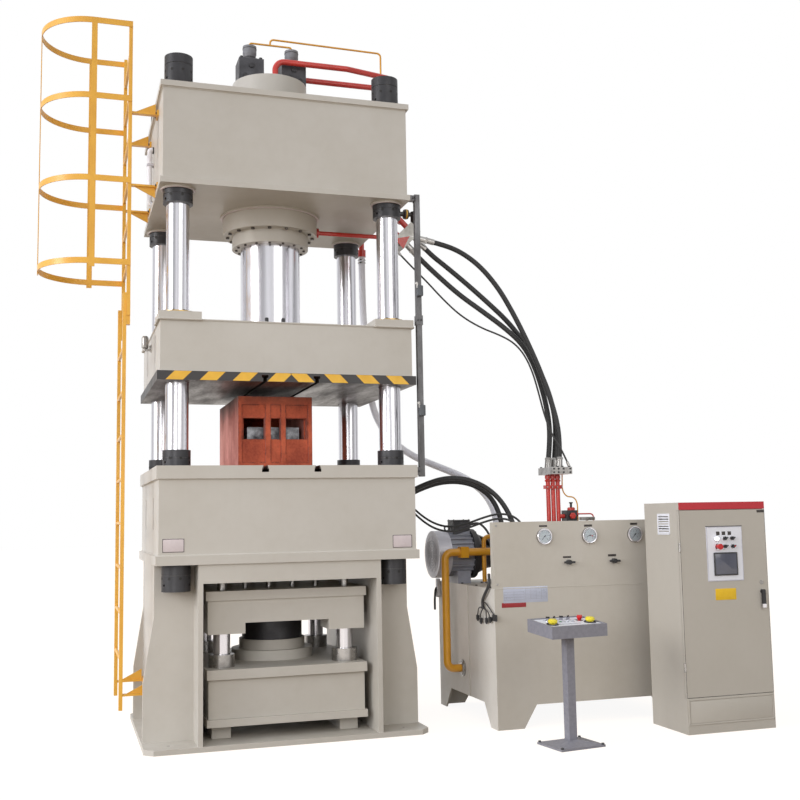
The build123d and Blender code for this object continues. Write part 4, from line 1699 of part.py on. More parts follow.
def build():
    """Make every piece and write each to its own file."""
    pieces = {
        "base_frame": base_frame(), "columns": columns(), "column_nuts": column_nuts(),
        "bolster": bolster(), "crown": crown(), "main_cylinder": main_cylinder(),
        "gland_ring": gland_ring(), "main_ram": main_ram(), "slide": slide(),
        "slide_face_plate": slide_face_plate(), "guide_bushes": guide_bushes(), "oil_cup": oil_cup(),
        "die_block": die_block(), "die_insert": die_insert(), "cushion_beam": cushion_beam(),
        "cushion_posts": cushion_posts(), "cushion_post_nuts": cushion_post_nuts(),
        "cushion_cylinder": cushion_cylinder(), "cushion_platen": cushion_platen(),
        "cushion_ram": cushion_ram(), "cushion_pins": cushion_pins(), "ladder_upper": ladder_upper(),
        "ladder_lower": ladder_lower(), "ladder_cage": ladder_cage(), "switch_rail": switch_rail(),
        "prefill_valves": prefill_valves(), "pilot_pipe": pilot_pipe(), "crown_pipes": crown_pipes(),
        "hose_manifold": hose_manifold(), "bolster_ports": bolster_ports(), "oil_tank": oil_tank(),
        "gauge_panel": gauge_panel(), "pressure_gauges": pressure_gauges(),
        "gauge_valve_left": gauge_valve(GAUGE_VALVE_X[0]),
        "gauge_valve_right": gauge_valve(GAUGE_VALVE_X[1]), "drive_motor": drive_motor(),
        "bell_housing": bell_housing(), "motor_shaft": motor_shaft(), "pump": pump(),
        "pump_pipes": pump_pipes(), "valve_block": valve_block(), "station_pipes": station_pipes(),
        "cabinet_shell": cabinet_shell(), "cabinet_door": cabinet_door(), "door_handle": door_handle(),
        "door_stop_button": door_stop_button(), "mounting_plate": mounting_plate(),
        "console_stand": console_stand(),
        "palm_button_left": push_button(-PALM_SPREAD, PALM_ROW, PALM_TRAVEL_GAP, PALM_RADIUS,
                                        PALM_HEIGHT, PALM_STEM_RADIUS),
        "palm_button_right": push_button(PALM_SPREAD, PALM_ROW, PALM_TRAVEL_GAP, PALM_RADIUS,
                                         PALM_HEIGHT, PALM_STEM_RADIUS),
        "emergency_stop": push_button(*EMERGENCY_PLACE, STOP_TRAVEL_GAP, EMERGENCY_RADIUS,
                                      MUSHROOM_HEIGHT, STOP_STEM_RADIUS),
    }
    for name in HOSE_ROUTES:
        pieces[name] = hose(name)
    os.makedirs("parts", exist_ok=True)
    for name, shape in pieces.items():
        export_step(shape, "parts/" + name + ".step")


build()
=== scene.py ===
"""Finish and fittings of a four-column hydraulic press, its power station, cabinet and control stand."""

import math
from itertools import product

import bpy
import numpy as np
from mathutils import Matrix, Vector


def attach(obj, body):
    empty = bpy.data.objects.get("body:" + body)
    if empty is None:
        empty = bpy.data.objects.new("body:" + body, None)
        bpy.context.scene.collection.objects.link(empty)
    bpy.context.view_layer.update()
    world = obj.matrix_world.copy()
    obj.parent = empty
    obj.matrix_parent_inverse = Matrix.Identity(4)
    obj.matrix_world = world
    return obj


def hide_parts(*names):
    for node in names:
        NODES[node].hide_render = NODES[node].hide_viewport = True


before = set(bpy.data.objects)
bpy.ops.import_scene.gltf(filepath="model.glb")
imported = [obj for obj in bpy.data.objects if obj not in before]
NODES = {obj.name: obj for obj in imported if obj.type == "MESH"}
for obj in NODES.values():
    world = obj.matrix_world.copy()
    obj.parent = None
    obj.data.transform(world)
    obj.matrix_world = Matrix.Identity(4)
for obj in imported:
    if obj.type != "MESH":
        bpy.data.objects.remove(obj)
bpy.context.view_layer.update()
MM = 0.001

# Camera of the photograph, in metres and degrees
CAMERA_AT = (-1.51725, -8.06218, 1.50688)
CAMERA_YAW = 17.587
CAMERA_PITCH = 6.307
CAMERA_ROLL = -1.022
LENS = 48.13
SENSOR = 36
VIEW_END = 200

# Studio: grey flags round the horizon as (place, level), light levels, and the floor's half side in metres
FLAG_STOPS = ((0.05, 0.95), (0.12, 0.45), (0.17, 0.9), (0.28, 1.0), (0.36, 0.55), (0.39, 1.0),
              (0.47, 1.0), (0.50, 0.45), (0.525, 0.95), (0.56, 1.0), (0.585, 0.5), (0.62, 1.0),
              (0.72, 0.5), (0.78, 1.0), (0.90, 0.42), (0.96, 0.95))
FLAG_ENDS = 0.8
SKY_LEVEL = 0.50
LEFT_SKY = (1.70, 1.79, 2.02, 1)
WHITE = (1, 1, 1, 1)
FLOOR_COLOUR = (0.24, 0.17, 0.10, 1)
FLOOR_LIFT = 0.92
FLOOR_REACH = 60.0
# Name, place, aim, size, power and tint of each lamp
LAMPS = (("key_lamp", (-12.5, -3.5, 5.5), (0.2, 0.0, 2.0), 5.0, 700, (1.0, 0.99, 0.97)),
         ("side_lamp", (-2.2, -4.6, 2.0), (1.5, -0.2, 0.6), 1.4, 40, (1.0, 0.99, 0.98)),
         ("front_lamp", (4.0, -10.5, 5.5), (1.8, 0.0, 0.9), 6.0, 190, (1.0, 0.98, 0.95)))

# Bodies that fittings ride on
SLIDE = "slide_unit"
DOOR = "door"

# Faces, levels and axes of the solids, in millimetres
SLIDE_HALF = (897, 750)
SLIDE_LOW = 2528
SLIDE_TOP = 2885
SLIDE_EDGE = (-773, 2496.5)
BUSH_TOP = 2960
PAD_XS = (-764.5, 764.5)
PAD_YS = (-619.5, 619.5)
PAD_HALF = (145.5, 145.5)
CROWN_HALF = (887, 740)
CROWN_LEVELS = (3882, 4536)
CROWN_UNDER = 3830
BOLSTER_HALF = (900, 755)
BOLSTER_LEVELS = (1797, 1284)
BOLSTER_TOP = 1885
SLOT_FLOOR = 1838
SLOT_X = 184
SLOT_REACH = 26
CYLINDER_NECK = (3600, 3692)
GLAND_FACE = 3593.5
PORT_PLATE = 922.5
PREFILL_XS = (-157, 178)
PREFILL_FRONT = -96.5
PREFILL_CUP = 5100.5
KNOB_LEVEL = 3962
FLANGE_FOOT = 1838
TANK_LEFT = 1455
TANK_RIGHT = 2995
TANK_BACK = 355
TANK_LID = 990
TANK_COVER_AT = (2640, 90)
PANEL_FRONT = -849
DIAL_FRONT = -865
GAUGE_XS = (1854, 2220, 2598)
GAUGE_Z = 1356
VALVE_XS = (2045, 2417)
VALVE_Z = 1164
SUCTION_AT = (-178, 354)
SHAFT = (50, 1216)
DELIVERY_XS = (2072, 2113, 2154)
DELIVERY_Y = -490
BLOCK_XS = (2052, 2092, 2134, 2190)
DOOR_FRONT = -1491
CONTROL_FRONT = -1494
CABINET_X = 2939.5
CABINET_BACK = -1030
CONSOLE_AT = np.array([1711, -1475, 0])
CONSOLE_SPIN = math.radians(7.8)
CONSOLE_TILT = math.radians(5.5)

# Slide: stripes, caps, bush screws as (radius, count, first angle), and the oiler
STRIPE_CENTRES = (-774, -546, -322, -80, 80, 323, 556, 778)
STRIPE_HALF = (58, 30)
STRIPE_LEAN = 30
LIFT_CAPS = ((-165, -735), (-48, -735))
BUSH_SCREWS = (94, 8, np.pi / 8)
OILER_Z = 2795

# Frame: columns, spanner holes as (radius, level), rings of sealant, plates, brackets, side pipe and rail
COLUMNS = ((-768, -601), (768, -601), (768, 601), (-768, 601))
NUT_RINGS = ((104, 3780), (100, 4690), (95, 1941), (98, 1130))
COLUMN_SEALANT = 104
CYLINDER_SEALANT = 361
BOLSTER_PLATE = (146, 92)
BOLSTER_PLATES_AT = (("left", -876, 1306), ("right", 725, 1299))
BRACKET_FACE = -902
BRACKET_YS = (-352, 328)
BRACKET_ZS = (4465, 3925)
SIDE_PIPE_Y = 30
SIDE_PIPE_ENDS = (3905, 4330)
SIDE_PIPE_CLIPS = (4030, 4210)
RAIL_BOLTS = ((928, 3862), (948, 2945), (972, 2945))
SWITCH_FEET = (3120, 2240)
PREFILL_TOP = 5116
CUP_SEAMS = (5130, 5206)
SIDE_PLUG_Z = 4958
MIDDLE_PLUG_Z = 5040

# Station: dials, strips as (left, foot, width, height), tank lid, lugs, motor, pump and flange block
DIAL_MARKS = 50
DIAL_NUMBERS = ("0", "5", "10", "15", "20", "25")
DIAL_POINTERS = (228, 200, 230)
PANEL_STRIPS = ((1819, 1425, 64, 13), (2184, 1420, 66, 16), (2568, 1426, 60, 16), (2003, 1195, 66, 13),
                (2373, 1196, 67, 17))
FILTER_AT = (2760, -250)
LID_BOLT_XS = (1485, 2965)
LID_BOLT_YS = (-700, -420, -120, 180, 320)
LUG_Z = 900
GRILLE_X = 1303
COWL_EDGE_X = 1400
MOTOR_FLANGE_X = 1640
PUMP_FACE_X = 1978
TERMINAL_LID = 1486
BLOCK_YS = (-625, -418)
BLOCK_TOP = 1875

# Switch cables: where the sheath parts, and the middle and end of each lead
SPLICE = np.array([1436, -662, 842])
LEADS = (((1428, -600, 850), (1436, -552, 780)), ((1424, -640, 800), (1434, -622, 764)),
         ((1430, -735, 845), (1436, -725, 772)), ((1424, -790, 830), (1434, -800, 785)),
         ((1432, -700, 900), (1442, -858, 808)))

# Cabinet: places on the door as (x, z), hinges, lower panel and rear screws
SELECTORS = ((2947, 1325), (3006, 1325), (2946, 1269), (3009, 1269))
SELECTOR_TURN = math.atan2(0.6, 0.8)
LAMP_AT = (2881, 1325)
STOP_AT = (2891, 1269)
SCREEN_AT = (2946, 1148)
LAMP_STRIP_XS = (2880, 2926, 2974)
LAMP_STRIP_Z = 1348
LOCK_AT = (3235, 1010)
DOOR_Z = 886.5
LOWER_PANEL_Z = 149
HINGE_AT = (2586, -1488)
HINGE_ZS = (420, 1240)
REAR_SCREW_XS = (2627, 3252)
REAR_SCREW_ZS = (130, 460, 800, 1140, 1470)

# Stand: the panel's rim level and reach to the front, and its rows of controls, along the panel
STAND_RIM = 791
STAND_FRONT = 150
STAND_SELECTORS = (-112, -62, -6, 50)
SELECTOR_ROW = 62
STAND_BUTTONS = (-56, -6, 44)
BUTTON_ROW = -6
PALM_XS = (-148, 148)
PALM_ROW = -52
LONE_LEGENDS = ((118, 66), (-148, 2), (148, -96))

# Hose routes, the same points as the solids' own, in metres
HOSE_ROUTES = {
    "hose_upper_a": [
        (1.272, -0.045, 3.742), (1.39, -0.045, 3.721), (1.53, -0.1, 3.66), (1.68, -0.16, 3.535),
        (1.815, -0.22, 3.345), (1.915, -0.28, 3.125), (2, -0.34, 2.895), (2.075, -0.395, 2.665),
        (2.132, -0.442, 2.445), (2.164, -0.49, 2.25), (2.164, -0.528, 2.09), (2.15, -0.545, 1.95)],
    "hose_upper_b": [
        (1.249, 0.045, 3.739), (1.334, 0.045, 3.654), (1.455, 0, 3.545), (1.61, -0.06, 3.395),
        (1.775, -0.115, 3.23), (1.92, -0.165, 3.075), (2.045, -0.212, 2.89), (2.13, -0.258, 2.695),
        (2.19, -0.305, 2.5), (2.216, -0.35, 2.31), (2.2, -0.395, 2.13), (2.17, -0.415, 1.95)],
    "hose_upper_c": [
        (1.166, 0, 3.662), (1.25, 0, 3.578), (1.375, -0.055, 3.44), (1.52, -0.115, 3.29),
        (1.69, -0.17, 3.155), (1.865, -0.218, 3.015), (1.998, -0.26, 2.88), (2.075, -0.303, 2.705),
        (2.12, -0.352, 2.49), (2.137, -0.405, 2.275), (2.124, -0.445, 2.1), (2.1, -0.455, 1.95)],
    "hose_pilot": [
        (1.052, -0.04, 3.611), (1.14, -0.04, 3.523), (1.25, -0.09, 3.395), (1.37, -0.135, 3.245),
        (1.5, -0.185, 3.105), (1.65, -0.235, 3.005), (1.79, -0.28, 2.945), (1.895, -0.32, 2.88),
        (1.965, -0.36, 2.78), (2.012, -0.4, 2.64), (2.036, -0.448, 2.47), (2.058, -0.492, 2.29),
        (2.088, -0.55, 2.13), (2.14, -0.6, 2.02), (2.18, -0.615, 1.915)],
    "hose_return": [
        (0.962, 0.8, 3.79), (0.962, 0.8, 3.5), (0.972, 0.8, 3.18), (0.994, 0.796, 2.86),
        (1.015, 0.775, 2.54), (1.07, 0.74, 2.33), (1.19, 0.68, 2.15), (1.345, 0.59, 2.02),
        (1.52, 0.43, 1.925), (1.665, 0.23, 1.83), (1.738, 0.02, 1.715), (1.752, -0.15, 1.59),
        (1.735, -0.265, 1.45), (1.718, -0.31, 1.29), (1.718, -0.31, 1.13)],
    "hose_lower_a": [
        (0.985, 0.01, 1.655), (1.062, -0.038, 1.696), (1.18, -0.11, 1.762), (1.32, -0.19, 1.812),
        (1.46, -0.258, 1.808), (1.59, -0.325, 1.755), (1.69, -0.395, 1.66), (1.755, -0.455, 1.53),
        (1.79, -0.5, 1.38), (1.8, -0.51, 1.23)],
    "hose_lower_b": [
        (0.985, 0.095, 1.625), (1.062, 0.055, 1.664), (1.18, -0.01, 1.73), (1.32, -0.085, 1.782),
        (1.46, -0.155, 1.788), (1.58, -0.235, 1.748), (1.665, -0.32, 1.66), (1.705, -0.39, 1.525),
        (1.712, -0.425, 1.38), (1.712, -0.43, 1.24)],
    "hose_thin_a": [
        (0.985, -0.06, 1.7), (1.05, -0.105, 1.63), (1.135, -0.18, 1.525), (1.225, -0.26, 1.455),
        (1.32, -0.34, 1.43), (1.425, -0.425, 1.458), (1.525, -0.49, 1.5), (1.615, -0.55, 1.528),
        (1.705, -0.61, 1.518), (1.77, -0.645, 1.46), (1.795, -0.66, 1.375), (1.8, -0.665, 1.29)],
    "hose_thin_b": [
        (0.985, -0.1, 1.655), (1.045, -0.148, 1.59), (1.12, -0.225, 1.49), (1.205, -0.31, 1.418),
        (1.305, -0.395, 1.395), (1.41, -0.475, 1.425), (1.51, -0.54, 1.468), (1.605, -0.6, 1.495),
        (1.69, -0.655, 1.478), (1.745, -0.69, 1.41), (1.765, -0.7, 1.32), (1.768, -0.705, 1.238)],
}
# Radius and length of each hose in metres
HOSE_FACTS = {
    "hose_upper_a": (0.0205, 2.213), "hose_upper_b": (0.0205, 2.190), "hose_upper_c": (0.0205, 2.148),
    "hose_pilot": (0.007, 2.229), "hose_return": (0.030, 3.395), "hose_lower_a": (0.019, 1.349),
    "hose_lower_b": (0.019, 1.306), "hose_thin_a": (0.008, 1.270), "hose_thin_b": (0.008, 1.260)}
UPPER_HOSES = ("hose_upper_a", "hose_upper_b", "hose_upper_c")


# Shader pieces

def paint_colour(red, green, blue):
    """Linear colour of a paint given in display values from 0 to 255."""
    display = np.array((red, green, blue)) / 255
    linear = np.where(display <= 0.04045, display / 12.92, ((display + 0.055) / 1.055) ** 2.4)
    return (*linear.tolist(), 1.0)


def fresh_tree(owner):
    """Emptied node tree of a material or a world."""
    owner.use_nodes = True
    owner.node_tree.nodes.clear()
    return owner.node_tree


def feed(tree, made, inputs):
    """A node's plain values and links."""
    for key, value in inputs.items():
        if isinstance(value, bpy.types.NodeSocket):
            tree.links.new(value, made.inputs[key])
        else:
            made.inputs[key].default_value = value


def node(tree, kind, inputs=None, **settings):
    """One shader node with its settings, its plain values and its links."""
    made = tree.nodes.new("ShaderNode" + kind)
    for key, value in settings.items():
        setattr(made, key, value)
    feed(tree, made, inputs or {})
    return made


def maths(tree, operation, *values, clamp=False):
    """Result of a Math node over its values, in order."""
    return node(tree, "Math", dict(enumerate(values)), operation=operation, use_clamp=clamp).outputs[0]


def group_tree(name, inputs, outputs):
    """Empty node group with named inputs and outputs."""
    tree = bpy.data.node_groups.new(name, "ShaderNodeTree")
    for label, kind, value in inputs:
        socket = tree.interface.new_socket(name=label, in_out="INPUT", socket_type="NodeSocket" + kind)
        socket.default_value = value
    for label, kind in outputs:
        tree.interface.new_socket(name=label, in_out="OUTPUT", socket_type="NodeSocket" + kind)
    return tree, tree.nodes.new("NodeGroupInput").outputs, tree.nodes.new("NodeGroupOutput").inputs


def use_group(tree, group, inputs):
    """Outputs of a node group placed in a material with its own values."""
    made = tree.nodes.new("ShaderNodeGroup")
    made.node_tree = group
    feed(tree, made, inputs)
    return made.outputs


def stretched_noise(tree, stretch, scale, detail, rough=0.55):
    """Noise over Object coordinates, stretched along the axes."""
    place = node(tree, "TexCoord").outputs["Object"]
    spread = node(tree, "VectorMath", {0: place, 1: stretch}, operation="MULTIPLY").outputs[0]
    return node(tree, "TexNoise", {"Vector": spread, "Scale": scale, "Detail": detail,
                                   "Roughness": rough}).outputs["Fac"]


def ramp(tree, value, low, high, to_low=0.0, to_high=1.0):
    """Value mapped from one range to another and held at its ends."""
    return node(tree, "MapRange", {"Value": value, "From Min": low, "From Max": high,
                                   "To Min": to_low, "To Max": to_high}, clamp=True).outputs["Result"]


def blend_colours(tree, mask, first, painted_shade_tone):
    """First colour where the mask is 0, second where it is 1."""
    return node(tree, "Mix", {0: mask, 6: first, 7: painted_shade_tone}, data_type="RGBA").outputs[2]


def cloud_group():
    """Colour that drifts between two tones in broad clouds and fine specks."""
    tree, given, out = group_tree(
        "cloudy_tone",
        [("Colour", "Color", (0.5, 0.5, 0.5, 1)), ("Shade", "Color", (0.4, 0.4, 0.4, 1)),
         ("Stretch", "Vector", (1, 1, 1)), ("Scale", "Float", 2.0), ("Amount", "Float", 0.5)],
        [("Colour", "Color"), ("Cloud", "Float")])
    broad = ramp(tree, stretched_noise(tree, given["Stretch"], given["Scale"], 5.0), 0.35, 0.7)
    fine_scale = maths(tree, "MULTIPLY", given["Scale"], 14.0)
    fine = ramp(tree, stretched_noise(tree, given["Stretch"], fine_scale, 3.0), 0.4, 0.75)
    both = maths(tree, "MULTIPLY_ADD", fine, 0.3, broad)
    mask = maths(tree, "MULTIPLY", both, given["Amount"], clamp=True)
    tree.links.new(blend_colours(tree, mask, given["Colour"], given["Shade"]), out["Colour"])
    tree.links.new(both, out["Cloud"])
    return tree


def edge_group():
    """Mask of rubbed corners that also carries a painted highlight along the edges: where a rounded normal
    leaves the face's own, broken up by noise.
    """
    tree, given, out = group_tree(
        "rubbed_edge_and_highlight",
        [("Radius", "Float", 0.005), ("Scale", "Float", 25.0), ("Amount", "Float", 0.5)],
        [("Edge", "Float")])
    soft = node(tree, "Bevel", {"Radius": given["Radius"]}, samples=4).outputs[0]
    own = node(tree, "NewGeometry").outputs["Normal"]
    along = node(tree, "VectorMath", {0: soft, 1: own}, operation="DOT_PRODUCT").outputs["Value"]
    corner = ramp(tree, along, 0.985, 0.80)
    patchy = ramp(tree, stretched_noise(tree, (1, 1, 1), given["Scale"], 4.0), 0.38, 0.62)
    wear_and_highlight_mask = maths(tree, "MULTIPLY", corner, patchy)
    tree.links.new(maths(tree, "MULTIPLY", wear_and_highlight_mask, given["Amount"], clamp=True), out["Edge"])
    return tree


def dust_group():
    """Mask of dust that settles on faces that look up, and thin runs down the walls under them."""
    tree, given, out = group_tree("settled_dust", [("Amount", "Float", 0.4)], [("Dust", "Float")])
    own = node(tree, "NewGeometry").outputs["Normal"]
    up = ramp(tree, node(tree, "SeparateXYZ", {0: own}).outputs["Z"], 0.35, 0.95)
    patchy = ramp(tree, stretched_noise(tree, (1, 1, 1), 3.5, 6.0, 0.65), 0.3, 0.7)
    lying = maths(tree, "MULTIPLY", up, patchy)
    runs = ramp(tree, stretched_noise(tree, (14, 14, 0.5), 1.0, 4.0), 0.6, 0.85, 0.0, 0.22)
    both = maths(tree, "MAXIMUM", lying, runs)
    tree.links.new(maths(tree, "MULTIPLY", both, given["Amount"], clamp=True), out["Dust"])
    return tree


def relief_group():
    """Height of a surface's fine grain, stretched along the axes."""
    tree, given, out = group_tree(
        "surface_grain", [("Stretch", "Vector", (1, 1, 1)), ("Scale", "Float", 300.0)],
        [("Height", "Float")])
    fine = stretched_noise(tree, given["Stretch"], given["Scale"], 4.0)
    wide = stretched_noise(tree, given["Stretch"], maths(tree, "MULTIPLY", given["Scale"], 0.12), 2.0)
    tree.links.new(maths(tree, "MULTIPLY_ADD", wide, 1.6, fine), out["Height"])
    return tree


CLOUDY = cloud_group()
RUBBED_AND_HIGHLIGHT = edge_group()
DUSTY = dust_group()
GRAINED = relief_group()
DUST_COLOUR = paint_colour(150, 142, 128)


def finish(name, colour, shade, rough=(0.38, 0.52), metal=0.0, cloud=1.5, stretch=(1, 1, 1), amount=0.5,
           grain=(260, 0.12), grain_stretch=(1, 1, 1), wear_and_highlight=None, wear_and_highlight_amount=0.6, radius=0.004, dust=0.0,
           coat=0.0, painted_top_shade=None):
    """Material of one surface: a cloudy tone, rubbed corners with a painted edge highlight, dust, uneven
    gloss and a fine grain.
    Colours are display values. painted_top_shade is a painted shade: a darker tone, the range of Object
    height over which it sets in, and how far noise shifts that height."""
    material = bpy.data.materials.new(name)
    tree = fresh_tree(material)
    tone = use_group(tree, CLOUDY, {"Colour": paint_colour(*colour), "Shade": paint_colour(*shade),
                                    "Stretch": stretch, "Scale": cloud, "Amount": amount})
    base = tone["Colour"]
    # Painted shade: the tone darkens towards the top over a range of height
    if painted_top_shade:
        painted_shade_tone, low, high, shift = painted_top_shade
        height = node(tree, "SeparateXYZ", {0: node(tree, "TexCoord").outputs["Object"]}).outputs["Z"]
        shifted = maths(tree, "MULTIPLY_ADD", stretched_noise(tree, (1, 1, 0.4), 9.0, 5.0), shift, height)
        base = blend_colours(tree, ramp(tree, shifted, low, high), base, paint_colour(*painted_shade_tone))
    shine = ramp(tree, tone["Cloud"], 0.0, 1.2, rough[0], rough[1])
    # Edge tone: partly rubbed paint, partly a painted highlight where it is lighter than the paint
    if wear_and_highlight:
        edge = use_group(tree, RUBBED_AND_HIGHLIGHT, {"Radius": radius, "Scale": 25.0, "Amount": wear_and_highlight_amount})["Edge"]
        base = blend_colours(tree, edge, base, paint_colour(*wear_and_highlight))
    if dust:
        settled = use_group(tree, DUSTY, {"Amount": dust})["Dust"]
        base = blend_colours(tree, settled, base, DUST_COLOUR)
        shine = maths(tree, "MULTIPLY_ADD", settled, 0.35, shine, clamp=True)
    height = use_group(tree, GRAINED, {"Stretch": grain_stretch, "Scale": grain[0]})["Height"]
    bump = node(tree, "Bump", {"Strength": grain[1], "Distance": 0.0015, "Height": height})
    shader = node(tree, "BsdfPrincipled", {"Base Color": base, "Roughness": shine, "Metallic": metal,
                                           "Coat Weight": coat, "Coat Roughness": 0.12,
                                           "Normal": bump.outputs[0]})
    node(tree, "OutputMaterial", {"Surface": shader.outputs[0]})
    return material


def glowing(name, colour, strength):
    """Moulded lens that is lit from behind."""
    material = finish(name, colour, colour, rough=(0.15, 0.25))
    shader = next(n for n in material.node_tree.nodes if n.type == "BSDF_PRINCIPLED")
    shader.inputs["Emission Color"].default_value = paint_colour(*colour)
    shader.inputs["Emission Strength"].default_value = strength
    return material


def clear(name, tint, rough):
    """Thin pane: it lets the view through with a tint and mirrors more at a grazing angle."""
    material = bpy.data.materials.new(name)
    tree = fresh_tree(material)
    haze = ramp(tree, stretched_noise(tree, (1, 1, 1), 60.0, 3.0), 0.4, 0.7, rough, rough + 0.08)
    bright = node(tree, "Fresnel", {"IOR": 1.42}).outputs[0]
    through = node(tree, "BsdfTransparent", {"Color": tint}).outputs[0]
    mirror = node(tree, "BsdfGlossy", {"Color": (0.95, 0.96, 0.98, 1), "Roughness": haze}).outputs[0]
    both = node(tree, "MixShader", {0: bright, 1: through, 2: mirror}).outputs[0]
    node(tree, "OutputMaterial", {"Surface": both})
    return material


# Edge tones lighter than their paint stand partly for wear, partly for a painted highlight along the edges
PRESS_PAINT = finish(
    "press_enamel", (196, 191, 182), (185, 179, 168), rough=(0.34, 0.50), cloud=0.9, amount=0.8,
    grain=(180, 0.10), wear_and_highlight=(214, 208, 200), wear_and_highlight_amount=0.7, radius=0.006, dust=0.28)
STATION_PAINT = finish(
    "station_enamel", (200, 194, 183), (190, 183, 170), rough=(0.36, 0.55), cloud=1.1, amount=0.8,
    grain=(180, 0.12), wear_and_highlight=(208, 202, 192), wear_and_highlight_amount=0.6, radius=0.005, dust=0.25)
# Paler copy of the station enamel for the tank's wall that looks left: painted light on the lit side
STATION_PAINTED_LIGHT = finish(
    "station_enamel_painted_light", (226, 222, 214), (212, 206, 196), rough=(0.36, 0.55), cloud=1.1, amount=0.8,
    grain=(180, 0.12), wear_and_highlight=(230, 226, 220), wear_and_highlight_amount=0.6, radius=0.005, dust=0.2)
CABINET_PAINT = finish(
    "cabinet_powder_coat", (190, 184, 173), (183, 177, 165), rough=(0.42, 0.52), cloud=2.0, amount=0.5,
    grain=(700, 0.16), wear_and_highlight=(204, 199, 188), wear_and_highlight_amount=0.4, radius=0.003, dust=0.1)
STAND_PAINT = finish(
    "stand_hammer_finish", (140, 139, 147), (118, 117, 126), rough=(0.36, 0.55), cloud=40.0, amount=0.5,
    grain=(120, 0.45), wear_and_highlight=(168, 168, 174), wear_and_highlight_amount=0.6, radius=0.003, dust=0.2)
# Chrome tone in vertical streaks: partly oil wiping marks, partly painted reflections of the surroundings
CHROME = finish(
    "ground_chrome", (226, 225, 230), (204, 202, 208), rough=(0.15, 0.28), metal=1.0, cloud=3.0,
    stretch=(9, 9, 0.25), amount=0.7, grain=(900, 0.05), grain_stretch=(0.1, 0.1, 1))
NUT_BLACK = finish(
    "blackened_nut_steel", (62, 62, 65), (46, 45, 48), rough=(0.34, 0.55), metal=0.35, cloud=9.0,
    amount=0.7, grain=(420, 0.2), wear_and_highlight=(128, 124, 118), wear_and_highlight_amount=0.7, radius=0.003, dust=0.2)
MACHINED = finish(
    "machined_steel", (150, 148, 144), (112, 108, 102), rough=(0.26, 0.5), metal=1.0, cloud=4.0,
    amount=0.7, grain=(500, 0.12), grain_stretch=(0.06, 1, 1), dust=0.15)
# Dark steel for the T-slots, the cylinder neck, the gland's lower face and the slide's underside: partly
# oiled steel, partly painted shade in these recesses and undersides
DARK_STEEL_AND_SHADE = finish(
    "oiled_steel_and_painted_shade", (88, 81, 76), (50, 45, 42), rough=(0.28, 0.62), metal=0.8, cloud=3.0,
    stretch=(2.2, 0.5, 1), amount=0.9, grain=(160, 0.35), grain_stretch=(0.15, 1, 1))
EDGE_BLACK = finish(
    "black_edge_enamel", (44, 42, 43), (62, 58, 55), rough=(0.36, 0.55), cloud=7.0, amount=0.5,
    wear_and_highlight=(110, 104, 98), wear_and_highlight_amount=0.8, radius=0.004)
STRIPE_YELLOW = finish(
    "stripe_yellow_enamel", (240, 188, 60), (214, 160, 52), rough=(0.36, 0.55), cloud=14.0, amount=0.5,
    grain=(200, 0.1))
PIPE_YELLOW = finish(
    "pipe_yellow_enamel", (224, 160, 34), (196, 132, 26), rough=(0.28, 0.42), cloud=7.0, amount=0.5,
    wear_and_highlight=(190, 150, 86), wear_and_highlight_amount=0.5, coat=0.25, dust=0.12)
LADDER_YELLOW = finish(
    "ladder_yellow_enamel", (238, 180, 66), (214, 152, 48), rough=(0.32, 0.5), cloud=6.0, amount=0.5,
    wear_and_highlight=(176, 140, 84), wear_and_highlight_amount=0.7, radius=0.003, coat=0.1, dust=0.12)
PIPE_RED = finish(
    "pipe_red_enamel", (206, 52, 40), (172, 40, 32), rough=(0.24, 0.4), cloud=7.0, amount=0.5,
    wear_and_highlight=(148, 96, 86), wear_and_highlight_amount=0.5, coat=0.3, dust=0.12)
STRIP_RED = finish(
    "strip_red_enamel", (196, 48, 58), (180, 42, 52), rough=(0.36, 0.46), cloud=3.0, amount=0.4,
    grain=(700, 0.12))
# Both die primers darken towards the top: painted shade under the slide
DIE_PAINT = finish(
    "worn_die_primer", (222, 104, 64), (160, 70, 48), rough=(0.55, 0.85), cloud=5.0, amount=0.9,
    grain=(90, 0.6), wear_and_highlight=(88, 52, 42), wear_and_highlight_amount=1.0, radius=0.016, painted_top_shade=((96, 62, 50), 2.40, 2.56, 0.16))
# Paler, pinker copy of the die primer for the faces that look left: painted light on the lit side
DIE_PAINTED_LIGHT_SIDE = finish(
    "die_primer_painted_light_side", (226, 150, 136), (164, 92, 80), rough=(0.6, 0.9), cloud=4.0,
    stretch=(1, 1, 0.45), amount=0.95, grain=(90, 0.6), wear_and_highlight=(92, 66, 56), wear_and_highlight_amount=0.9, radius=0.008,
    painted_top_shade=((96, 76, 70), 2.36, 2.50, 0.16))
ROUGH_STEEL = finish(
    "rough_cast_steel", (150, 152, 156), (60, 62, 66), rough=(0.35, 0.75), metal=0.85, cloud=16.0,
    amount=0.95, grain=(55, 0.9))
BRONZE = finish(
    "turned_bronze", (206, 176, 118), (164, 130, 76), rough=(0.26, 0.46), metal=0.9, cloud=8.0,
    amount=0.6, grain=(500, 0.1), wear_and_highlight=(226, 206, 156), wear_and_highlight_amount=0.5)
BRASS = finish(
    "drawn_brass", (212, 172, 92), (160, 124, 62), rough=(0.2, 0.4), metal=1.0, cloud=20.0, amount=0.6)
FITTING_STEEL = finish(
    "plated_fitting_steel", (182, 180, 178), (120, 116, 112), rough=(0.2, 0.42), metal=1.0, cloud=14.0,
    amount=0.7, grain=(500, 0.1), wear_and_highlight=(214, 212, 208), wear_and_highlight_amount=0.5, radius=0.002)
